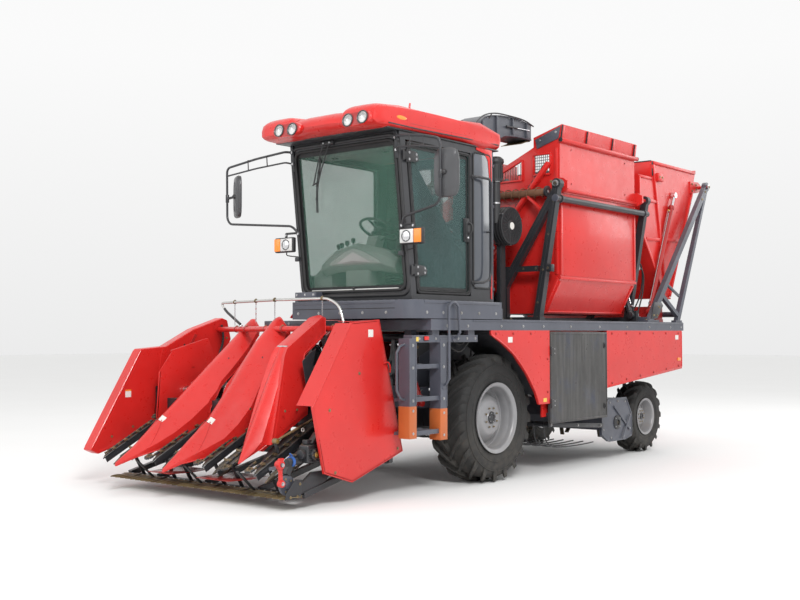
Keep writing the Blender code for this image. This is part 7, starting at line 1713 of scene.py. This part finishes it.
# ---------------------------------------------------------------- stand of the main bin
stand_trim = Piece("bin_stand_trim", "chassis", "dark_paint", smooth=32)
stand_trim.rod(GREY, (-0.965, 1.135, 2.895), (-0.985, 1.135, 2.895), 0.040, 18, bevel=0.003)
for x in (-1.075, -2.975):
    stand_trim.rod(DARK, (x - 0.012, 1.135, 2.895), (x + 0.012, 1.135, 2.895), 0.046, 20, bevel=0.003)
for x, out in ((-0.978, 1), (-3.062, -1)):
    stand_trim.add(STEEL, rod_shape((x, 1.14, 3.05), (x + out * 0.018, 1.14, 3.05), 0.036, 22, bevel=0.003))
    stand_trim.add(IRON, bolt_shape((x + out * 0.018, 1.14, 3.05), (out, 0, 0), 0.014))
    stand_trim.add(DARK, beam_shape((x, 0.885, 1.70), (x, 1.138, 3.00), 0.006, 0.014, (1, 0, 0), 0.002))
    for t in (0.10, 0.36, 0.64, 0.9):
        p = Vector((x + out * 0.002, 0.885, 1.66)).lerp(Vector((x + out * 0.002, 1.138, 3.00)), t)
        stand_trim.add(IRON, bolt_shape(p, (out, 0, 0), 0.009))
for x in (-1.02, -3.02):
    stand_trim.bolts(IRON, [(x - 0.032, y, 1.640) for y in (0.20, 0.87)] + [(x + 0.030, y, 1.640) for y in (0.24, 0.90)], (0, 0, 1), 0.012)
for a, b in (((0.21, 1.64), (1.09, 2.93)),):
    stand_trim.add(DARK, beam_shape((-0.982, a[0] + 0.02, a[1] + 0.02), (-0.982, b[0], b[1]), 0.008, 0.016, (1, 0, 0), 0.002))
stand_trim.box(DARK, (-1.052, -0.988), (0.985, 1.075), (2.12, 2.20), 0.008)
stand_trim.bolts(IRON, [(-0.988, y, 2.16) for y in (0.56, 0.72, 0.88, 1.03)], (1, 0, 0), 0.010)
stand_trim.done()

# ---------------------------------------------------------------- rear bin
ear_bin = Piece("rear_bin_trim", "rear_bin", "red_paint", smooth=32)
for sign in (1, -1):
    y = sign * 1.001
    # rim channel, hinge plate, ribs that follow the sloped floor
    ear_bin.add(RED, beam_shape((-3.49, sign * 1.008, 3.585), (-4.70, sign * 1.008, 3.585), 0.030, 0.036, (0, 1, 0), 0.006))
    ear_bin.add(RED, beam_shape((-3.13, sign * 1.006, 3.380), (-3.48, sign * 1.006, 3.380), 0.024, 0.030, (0, 1, 0), 0.005))
    ear_bin.add(RED, beam_shape((-3.135, sign * 1.006, 2.77), (-3.135, sign * 1.006, 3.38), 0.022, 0.030, (0, 1, 0), 0.005))
    ear_bin.add(RED, beam_shape((-3.15, sign * 1.007, 2.745), (-3.80, sign * 1.007, 1.925), 0.026, 0.040, (0, 1, 0), 0.005))
    ear_bin.add(RED, beam_shape((-3.93, sign * 1.007, 1.93), (-4.64, sign * 1.007, 3.36), 0.026, 0.036, (0, 1, 0), 0.005))
    ear_bin.add(RED, beam_shape((-3.50, sign * 1.008, 3.56), (-3.82, sign * 1.008, 2.02), 0.026, 0.050, (0, 1, 0), 0.006))
    ear_bin.add(RED, beam_shape((-3.30, sign * 1.006, 2.62), (-4.28, sign * 1.006, 2.66), 0.022, 0.040, (0, 1, 0), 0.005))
    ear_bin.add(RED, beam_shape((-3.16, sign * 1.006, 3.10), (-3.58, sign * 1.006, 3.10), 0.022, 0.036, (0, 1, 0), 0.005))
    for x, z in ((-4.60, 3.34), (-4.60, 3.43), (-4.72, 3.37), (-4.72, 3.43)):
        ear_bin.bolts(GOLD, [(x, sign * 1.018, z)], (0, sign, 0), 0.011)
    ear_bin.rod(RED, (-3.92, sign * 1.012, 1.905), (-3.79, sign * 1.012, 1.905), 0.014, 12)
    ear_bin.add(DARK, beam_shape((-3.492, sign * 1.002, 3.42), (-3.492, sign * 1.002, 3.60), 0.016, 0.016, (0, 1, 0), 0.004))
# lug bracket at the rim, front flap with a dark lip, ribs on the floor and the back
ear_bin.box(RED, (-3.70, -3.55), (1.002, 1.055), (3.36, 3.46), 0.010)
ear_bin.bolts(GOLD, [(-3.66, 1.055, 3.41), (-3.59, 1.055, 3.41)], (0, 1, 0), 0.011)
ear_bin.box(RED, (-3.500, -3.482), (-0.98, 0.98), (3.40, 3.612), 0.006)
ear_bin.box(DARK, (-3.503, -3.479), (-0.985, 0.985), (3.600, 3.616), 0.004)
for y in spaced((0, -0.80, 0), (0, 0.80, 0), 5):
    ear_bin.add(RED, beam_shape((-3.155, y.y, 2.735), (-3.79, y.y, 1.94), 0.040, 0.020, (0, 1, 0), 0.005))
    ear_bin.add(RED, beam_shape((-3.945, y.y, 1.94), (-4.665, y.y, 3.36), 0.040, 0.020, (0, 1, 0), 0.005))
for t in (0.18, 0.50, 0.82):
    a = Vector((-3.93, 0, 1.92)).lerp(Vector((-4.67, 0, 3.40)), t) + Vector((-0.008, 0, -0.004))
    ear_bin.add(RED, beam_shape((a.x, -0.97, a.z), (a.x, 0.97, a.z), 0.045, 0.016, (0.45, 0, 0.9), 0.004))
ear_bin.rod(RED, (-4.735, -1.0, 3.610), (-4.735, 1.0, 3.610), 0.016, 14)
for z in (2.92, 3.20):
    ear_bin.add(RED, beam_shape((-3.112, -0.96, z), (-3.112, 0.96, z), 0.014, 0.036, (1, 0, 0), 0.004))
ear_bin.done()

rear_stand_trim = Piece("rear_stand_trim", "chassis", "grey_paint", smooth=32)
for sign in (1, -1):
    out = sign * 1.141
    for t in (0.04, 0.10, 0.90, 0.96):
        p = Vector((-3.159, out, 1.612)).lerp(Vector((-4.80, out, 3.40)), t)
        rear_stand_trim.bolts(GOLD, [p], (0, sign, 0), 0.011)
    rear_stand_trim.add(STEEL, rod_shape((-4.80, sign * 1.150, 3.40), (-4.80, sign * 1.165, 3.40), 0.034, 22, bevel=0.003))
    rear_stand_trim.add(GOLD, bolt_shape((-4.80, sign * 1.165, 3.40), (0, sign, 0), 0.013))
    rear_stand_trim.add(GREY, beam_shape((-3.60, sign * 1.110, 2.085), (-3.98, sign * 1.110, 1.93), 0.030, 0.030, (0, 1, 0), 0.004))
    rear_stand_trim.add(DARK, plate_shape([(-3.14, 1.64), (-3.30, 1.64), (-3.46, 1.80), (-3.42, 1.84), (-3.22, 1.84)], "XZ", *sorted((sign * 1.139, sign * 1.147)), 0.002))
    rear_stand_trim.bolts(GOLD, [(-3.20, sign * 1.146, 1.68), (-3.30, sign * 1.146, 1.68), (-3.36, sign * 1.146, 1.78)], (0, sign, 0), 0.010)
    rear_stand_trim.bolts(GOLD, [(-3.34, sign * 1.105, 1.625), (-3.08, sign * 1.105, 1.625), (-3.97, sign * 1.105, 1.625)], (0, 0, 1), 0.011)
rear_stand_trim.done()

# ---------------------------------------------------------------- cylinder fittings
for name, body, base, eye, at, plane, long, paint in (("main_bin_ram", "main_bin_ram", (0.98, 1.68), (0.68, 2.70), -2.935, "YZ", 0.97, DARK),
                                                      ("rear_ram_left", "rear_bin_ram_left", (-3.30, 1.72), (-4.01, 3.22), 1.040, "XZ", 1.50, RED_PAINTED_SHADE),
                                                      ("rear_ram_right", "rear_bin_ram_right", (-3.30, 1.72), (-4.01, 3.22), -1.040, "XZ", 1.50, RED_PAINTED_SHADE),
                                                      ("header_ram_left", "header_lift_left", (0.66, 0.80), (0.95, 1.36), 0.610, "XZ", 0.42, RED_PAINTED_SHADE),
                                                      ("header_ram_right", "header_lift_right", (0.66, 0.80), (0.95, 1.36), -0.460, "XZ", 0.42, RED_PAINTED_SHADE)):
    def spot(u, z):
        return Vector((u, at, z)) if plane == "XZ" else Vector((at, u, z))

    b, e = spot(*base), spot(*eye)
    way = (e - b).normalized()
    r = 0.035 if "header" in name else 0.030
    across = Vector((0, 1, 0)) if plane == "XZ" else Vector((1, 0, 0))
    up = way.cross(across)
    if up.z < 0:
        up = -up
    ram_piece = Piece(name + "_fittings", body + "_barrel", "steel", smooth=32)
    ram_piece.rod(paint, b + way * (long - 0.045), b + way * long, r + 0.006, 24, bevel=0.003)
    ram_piece.rod(GASKET, b + way * (long + 0.0005), b + way * (long + 0.006), r - 0.004, 24)
    ram_piece.rod(paint, b + way * 0.055, b + way * 0.075, r + 0.005, 24, bevel=0.003)
    for k in (0.10, long - 0.09):
        p = b + way * k
        ram_piece.rod(STEEL, p + up * (r - 0.002), p + up * (r + 0.016), 0.012, 6)
        ram_piece.rod(YELLOW if "rear" in name and k > 0.2 else STEEL, p + up * (r + 0.014), p + up * (r + 0.030), 0.009, 12)
    ram_piece.rod(STEEL, b + way * 0.13 + up * (r + 0.010), b + way * (long - 0.12) + up * (r + 0.010), 0.005, 10)
    ram_piece.done()

# ---------------------------------------------------------------- spout
spout = Piece("spout_trim", "stalk_spout", "grey_paint", smooth=35)
TOP = [(-0.10, 3.500), (-0.17, 3.640), (-0.30, 3.720), (-0.55, 3.760), (-0.85, 3.7745), (-1.13, 3.745)]
for y in (0.440, 0.740):
    side = 1 if y > 0.6 else -1
    spout.add(PAD, pipe_shape(curve_through([(x + 0.004, y + side * 0.001, z - 0.012) for x, z in TOP], 4), 0.007, 8))
    line = curve_through([(x, y, z - 0.026) for x, z in TOP], 4)
    for p in line[2::3]:
        spout.add(STEEL, turned_shape([(0.0, 0.0), (0.0, 0.006), (0.003, 0.005), (0.004, 0.0)], p + Vector((0, side * 0.0005, 0)), (0, side, 0), 10))
    under = [(-0.40, 3.40), (-0.41, 3.42), (-0.47, 3.490), (-0.62, 3.543), (-0.85, 3.565), (-1.13, 3.565)]
    spout.add(PAD, pipe_shape([Vector((x, y, z + 0.008)) for x, z in under], 0.006, 8))
for k, x in enumerate((-0.20, -0.45, -0.75, -1.02)):
    top = 3.665 if k == 0 else 3.745 if k == 1 else 3.764 if k == 2 else 3.750
    spout.add(PAD, beam_shape((x, 0.752, top - 0.01), (x, 0.752, 3.58 if k > 1 else 3.48), 0.024, 0.020, (0, 1, 0), 0.003))
# tan flap under the mouth and its hinge and link
spout.add(GOLD, beam_shape((-1.10, 0.59, 3.560), (-0.96, 0.59, 3.512), 0.270, 0.006, (0, 1, 0), 0.002))
spout.rod(DARK, (-1.108, 0.445, 3.560), (-1.108, 0.735, 3.560), 0.009, 12)
spout.add(PAD, beam_shape((-1.118, 0.59, 3.735), (-1.122, 0.59, 3.640), 0.286, 0.006, (0, 1, 0), 0.002))
spout.rod(DARK, (-1.112, 0.445, 3.742), (-1.112, 0.735, 3.742), 0.009, 12)
spout.rod(CHROME, (-0.80, 0.759, 3.655), (-1.06, 0.759, 3.665), 0.006, 10).rod(DARK, (-0.62, 0.759, 3.648), (-0.82, 0.759, 3.656), 0.011, 14)
# thin rail over the hood on posts
rail_line = curve_through([(0.02, 0.775, 3.42), (-0.02, 0.775, 3.56), (-0.16, 0.775, 3.685), (-0.38, 0.775, 3.748), (-0.66, 0.775, 3.762), (-0.94, 0.775, 3.756), (-1.12, 0.775, 3.716)], 5)
spout.add(DARK, pipe_shape(rail_line, 0.0075, 10))
for k in (6, 14, 22):
    p = rail_line[k]
    spout.rod(DARK, p, Vector((p.x, 0.738, p.z - 0.05)), 0.006, 8)
spout.done()
duct = Piece("duct_trim", "chassis", "grey_paint", smooth=32)
for z in (1.92, 2.35, 2.78, 3.20):
    for a, b in ((((-0.405, 0.435)), (-0.095, 0.435)), ((-0.095, 0.435), (-0.095, 0.745)), ((-0.095, 0.745), (-0.405, 0.745)), ((-0.405, 0.745), (-0.405, 0.435))):
        duct.add(PAD, beam_shape((*a, z), (*b, z), 0.030, 0.012, (0, 0, 1), 0.003))
for x, y in ((-0.43, 0.40), (-0.43, 0.78), (-0.08, 0.40), (-0.08, 0.78), (-0.25, 0.395), (-0.25, 0.785)):
    duct.bolts(GOLD, [(x, y, 1.72)], (0, 0, 1), 0.010)
duct.add(DARK, plate_shape([(-0.36, 2.05), (-0.14, 2.05), (-0.14, 2.55), (-0.36, 2.55)], "XZ", 0.7400, 0.7460, 0.003))
duct.bolts(GOLD, [(x, 0.746, z) for x in (-0.345, -0.155) for z in (2.07, 2.30, 2.53)], (0, 1, 0), 0.008)
duct.done()


# ================================================================ engine bay behind the cab
motor = Piece("engine_parts", "chassis", "worn_iron", smooth=34)
# block ribs, heads, covers, sump, pulleys and belts at the front, fan housing on the left
for k in range(6):
    x = -0.82 + k * 0.112
    motor.add(GREY, box_shape((x - 0.042, x + 0.042), (-0.300, 0.120), (2.515, 2.560), 0.014, 3))
    motor.bolts(STEEL, [(x, y, 2.560) for y in (-0.26, 0.08)], (0, 0, 1), 0.009)
    motor.add(IRON, box_shape((x - 0.012, x + 0.012), (-0.495, -0.478), (1.70, 2.26), 0.005))
    motor.pipe(STEEL, [(x, 0.10, 2.56), (x, 0.18, 2.585), (x, 0.26, 2.52), (x, 0.285, 2.41)], 0.005, 6, smooth=3)
    motor.add(IRON, rod_shape((x, -0.36, 2.43), (x, -0.425, 2.43), 0.030, 14, bevel=0.003))
motor.add(RUST, rod_shape((-0.86, -0.44, 2.43), (-0.22, -0.44, 2.43), 0.036, 20, bevel=0.004), rod_shape((-0.66, -0.44, 2.43), (-0.66, -0.24, 2.555), 0.034, 18, bevel=0.003), rod_shape((-0.66, -0.24, 2.52), (-0.66, -0.24, 2.60), 0.046, 20, bevel=0.003))
motor.add(IRON, turned_shape([(0.0, 0.0), (0.0, 0.085), (0.05, 0.095), (0.09, 0.07), (0.11, 0.03), (0.11, 0.0)], (-0.40, -0.475, 2.42), (0, -1, 0), 28))
for (x, z), r in (((-0.53, 1.95), 0.150), ((-0.30, 2.20), 0.070), ((-0.76, 2.24), 0.060), ((-0.72, 1.78), 0.085)):
    motor.add(DARK, turned_shape([(0.0, 0.0), (0.0, r), (0.010, r), (0.014, r * 0.90), (0.026, r * 0.90), (0.030, r), (0.040, r), (0.040, r * 0.30), (0.055, r * 0.28), (0.055, 0.0)], (x, -0.532, z), (0, -1, 0), 36))
    motor.add(STEEL, bolt_shape((x, -0.587, z), (0, -1, 0), 0.014))
belt = [(-0.53, 1.80), (-0.385, 1.91), (-0.232, 2.215), (-0.30, 2.268), (-0.76, 2.298), (-0.82, 2.245), (-0.802, 1.80), (-0.72, 1.698)]
motor.add(GASKET, pipe_shape([Vector((x, -0.552, z)) for x, z in belt], 0.008, 8, closed=True))
# radiator screen on the left face: frame, mesh, catches
motor.add(DARK, ring_shape([(-0.945, 1.665), (-0.115, 1.665), (-0.115, 2.395), (-0.945, 2.395)], [(-0.90, 1.71), (-0.16, 1.71), (-0.16, 2.35), (-0.90, 2.35)], "XZ", 0.319, 0.334, 0.003))
for k in range(23):
    x = -0.885 + k * 0.0322
    motor.add(DARK, box_shape((x - 0.002, x + 0.002), (0.3205, 0.3245), (1.71, 2.35), 0.0, 1))
for k in range(20):
    z = 1.725 + k * 0.0322
    motor.add(DARK, box_shape((-0.90, -0.16), (0.3215, 0.3255), (z - 0.002, z + 0.002), 0.0, 1))
motor.bolts(GOLD, [(x, 0.334, z) for x in (-0.925, -0.53, -0.135) for z in (1.685, 2.375)], (0, 1, 0), 0.009)
motor.add(GREY, box_shape((-0.93, -0.13), (0.275, 0.318), (2.395, 2.45), 0.012, 3), rod_shape((-0.60, 0.297, 2.45), (-0.60, 0.297, 2.478), 0.030, 20, bevel=0.004))
# filters, starter, hydraulic pump and pipes at the rear
for x, z in ((-0.955, 1.95), (-0.955, 2.10)):
    motor.add(YELLOW, turned_shape([(0.0, 0.0), (0.0, 0.045), (0.16, 0.045), (0.175, 0.036), (0.18, 0.0)], (x - 0.03, -0.25, z - 0.08), (0, 1, 0), 24)) if z < 2.0 else motor.add(RED_PAINTED_SHADE, turned_shape([(0.0, 0.0), (0.0, 0.040), (0.15, 0.040), (0.165, 0.032), (0.17, 0.0)], (x - 0.03, -0.25, z), (0, 1, 0), 24))
motor.add(DARK, rod_shape((-0.92, -0.06, 1.78), (-1.03, -0.06, 1.78), 0.085, 26, bevel=0.006), rod_shape((-1.03, -0.06, 1.78), (-1.06, -0.06, 1.78), 0.055, 22, bevel=0.004))
motor.pipe(HOSE, [(-0.90, 0.22, 2.30), (-0.98, 0.20, 2.28), (-1.02, 0.10, 2.12), (-1.00, -0.02, 1.92), (-0.97, -0.05, 1.84)], 0.020, 12, smooth=5)
motor.pipe(HOSE, [(-0.13, 0.20, 2.30), (-0.05, 0.18, 2.30), (-0.02, 0.05, 2.38), (-0.06, -0.10, 2.42), (-0.20, -0.16, 2.45), (-0.27, -0.16, 2.46)], 0.024, 12, smooth=5)
# ribbed intake trunk from the air cleaner to the engine
trunk = curve_through([(-0.70, 0.56, 2.60), (-0.70, 0.50, 2.60), (-0.69, 0.42, 2.62), (-0.62, 0.30, 2.66), (-0.50, 0.18, 2.64), (-0.42, 0.10, 2.60), (-0.40, 0.06, 2.565)], 5)
motor.add(HOSE, pipe_shape(trunk, 0.052, 18))
for p, q in list(zip(trunk, trunk[1:]))[3:-3]:
    w = (q - p).normalized()
    motor.add(HOSE, rod_shape(p - w * 0.004, p + w * 0.004, 0.058, 20, bevel=0.002))
for p, q in ((trunk[1], trunk[2]), (trunk[-3], trunk[-2])):
    w = (q - p).normalized()
    motor.add(STEEL, rod_shape(p - w * 0.008, p + w * 0.008, 0.0555, 22, bevel=0.001))
motor.done()

air = Piece("air_cleaner_trim", "chassis", "black_plastic", smooth=34)
for y in (0.605, 0.640, 0.675, 0.710, 0.745):
    air.lathe(PLASTIC, [(y - 0.006, 0.196), (y - 0.004, 0.206), (y + 0.004, 0.206), (y + 0.006, 0.196)], (-0.70, 0, 2.60), 44, closed=True)
air.lathe(PLASTIC, [(0.758, 0.0), (0.758, 0.196), (0.768, 0.200), (0.774, 0.190), (0.766, 0.178), (0.766, 0.060), (0.772, 0.052), (0.772, 0.0)], (-0.70, 0, 2.60), 44)
for k in range(24):
    a = 2 * math.pi * k / 24
    air.add(PLASTIC, beam_shape((-0.70 + 0.075 * math.cos(a), 0.768, 2.60 + 0.075 * math.sin(a)), (-0.70 + 0.172 * math.cos(a), 0.768, 2.60 + 0.172 * math.sin(a)), 0.006, 0.006, (0, 1, 0), 0.001))
air.lathe(PALE, [(0.771, 0.0), (0.771, 0.040), (0.775, 0.038), (0.776, 0.0)], (-0.70, 0, 2.60), 30)
for a in (0.6, 2.7, 4.8):
    p = Vector((-0.70 + 0.205 * math.cos(a), 0.74, 2.60 + 0.205 * math.sin(a)))
    air.add(STEEL, beam_shape(p + Vector((0, -0.028, 0)), p + Vector((0, 0.030, 0)), 0.022, 0.005, Vector((-math.sin(a), 0, math.cos(a))), 0.002))
# intake stack: hood with slots
air.lathe(PLASTIC, [(3.235, 0.076), (3.262, 0.090), (3.292, 0.086), (3.318, 0.055), (3.325, 0.0)], (-0.53, 0.68, 0), 36, axis="Z")
for k in range(18):
    a = 2 * math.pi * k / 18
    air.add(GASKET, beam_shape((-0.53 + 0.0755 * math.cos(a), 0.68 + 0.0755 * math.sin(a), 3.09), (-0.53 + 0.0755 * math.cos(a), 0.68 + 0.0755 * math.sin(a), 3.225), 0.008, 0.004, Vector((-math.sin(a), math.cos(a), 0)), 0.001))
for z in (2.83, 3.06):
    air.lathe(STEEL, [(z - 0.008, 0.0495), (z - 0.008, 0.0535), (z + 0.008, 0.0535), (z + 0.008, 0.0495)], (-0.53, 0.68, 0), 30, closed=True, axis="Z")
air.add(DARK, beam_shape((-0.70, 0.63, 2.40), (-0.70, 0.63, 1.62), 0.09, 0.05, (1, 0, 0), 0.006), box_shape((-0.80, -0.60), (0.56, 0.72), (1.602, 1.616), 0.003))
air.bolts(GOLD, [(x, y, 1.616) for x in (-0.78, -0.62) for y in (0.58, 0.70)], (0, 0, 1), 0.010)
air.done()

pipe = Piece("exhaust_trim", "chassis", "worn_iron", smooth=34)
for z in (2.64, 2.85, 3.06):
    pipe.lathe(RUST, [(z - 0.012, 0.083), (z - 0.010, 0.0905), (z + 0.010, 0.0905), (z + 0.012, 0.083)], (-0.66, -0.24, 0), 32, closed=True, axis="Z")
pipe.add(RUST, turned_shape([(0.0, 0.086), (0.035, 0.058), (0.050, 0.040), (0.050, 0.030), (0.0, 0.030)], (-0.66, -0.24, 3.095), (0, 0, 1), 32))
for k in range(9):
    z = 2.70 + k * 0.038
    pipe.add(STEEL, loft_shape([[Vector((-0.66 + math.cos(a) * r, -0.24 + math.sin(a) * r, zz)) for r, zz in ((0.098, z), (0.102, z), (0.102, z + 0.022), (0.098, z + 0.022))] for a in (math.radians(d) for d in range(30, 151, 12))]))
for a in (30, 90, 150):
    a = math.radians(a)
    pipe.add(STEEL, beam_shape((-0.66 + 0.098 * math.cos(a), -0.24 + 0.098 * math.sin(a), 2.69), (-0.66 + 0.098 * math.cos(a), -0.24 + 0.098 * math.sin(a), 3.07), 0.012, 0.004, Vector((-math.sin(a), math.cos(a), 0)), 0.001))
pipe.add(DARK, beam_shape((-0.66, -0.155, 2.75), (-0.66, 0.00, 2.60), 0.04, 0.010, (1, 0, 0), 0.002))
pipe.done()

# ---------------------------------------------------------------- ear elevator on the right side
lift_trim = Piece("elevator_trim", "chassis", "red_paint", smooth=32)
low, high = Vector((1.15, 0, 0.95)), Vector((-2.76, 0, 3.42))
climb = (high - low).normalized()
rise = Vector((-climb.z, 0, climb.x))
if rise.z < 0:
    rise = -rise
length = (high - low).length
for y, out in ((-1.0705, -1), (-0.6095, 1)):
    for h in (0.150, -0.150):
        lift_trim.add(RED, beam_shape(low + climb * 0.04 + rise * h + Vector((0, y, 0)), high - climb * 0.04 + rise * h + Vector((0, y, 0)), 0.010, 0.024, (0, 1, 0), 0.003))
    for k in range(8):
        p = low + climb * (0.18 + k * (length - 0.36) / 7)
        lift_trim.add(RED, beam_shape(p + rise * 0.150 + Vector((0, y, 0)), p - rise * 0.150 + Vector((0, y, 0)), 0.012, 0.034, (0, 1, 0), 0.003))
        lift_trim.bolts(GOLD, [p + rise * h + Vector((0, y + out * 0.006, 0)) for h in (0.10, -0.10)], (0, out, 0), 0.010)
    for end in (low + climb * 0.10, high - climb * 0.12):
        c = end + Vector((0, y, 0))
        lift_trim.add(DARK, turned_shape([(0.0, 0.0), (0.0, 0.085), (0.012, 0.080), (0.016, 0.050), (0.034, 0.044), (0.036, 0.0)], c, (0, out, 0), 30))
        lift_trim.bolts(GOLD, [c + Vector((0.064 * math.cos(a), out * 0.011, 0.064 * math.sin(a))) for a in (0.78, 2.36, 3.93, 5.50)], (0, out, 0), 0.008)
# drive sprocket guard and top covers
top_cover = high - climb * 0.10
lift_trim.add(RED_PAINTED_SHADE, turned_shape([(0.0, 0.0), (0.0, 0.150), (0.030, 0.150), (0.040, 0.135), (0.040, 0.0)], Vector((top_cover.x, -1.080, top_cover.z)), (0, -1, 0), 36))
lift_trim.bolts(GOLD, [(top_cover.x + 0.12 * math.cos(a), -1.120, top_cover.z + 0.12 * math.sin(a)) for a in (0.5, 2.1, 3.7, 5.3)], (0, -1, 0), 0.008)
for k in range(5):
    a = low + climb * (0.30 + k * 0.86) + rise * 0.171
    b = low + climb * (0.30 + k * 0.86 + 0.78) + rise * 0.171
    lift_trim.add(RED, beam_shape(a + Vector((0, -0.84, 0)), b + Vector((0, -0.84, 0)), 0.40, 0.008, (0, 1, 0), 0.003))
    for t in (0.08, 0.92):
        lift_trim.bolts(GOLD, [a.lerp(b, t) + rise * 0.004 + Vector((0, y, 0)) for y in (-1.02, -0.66)], rise, 0.009)
lift_trim.rod(CHROME, (-2.62, -1.06, 3.60), (-2.88, -1.06, 3.60), 0.010, 12)
lift_trim.box(RED, (-2.93, -2.60), (-1.064, -1.056), (3.35, 3.61), 0.002)
lift_trim.done()
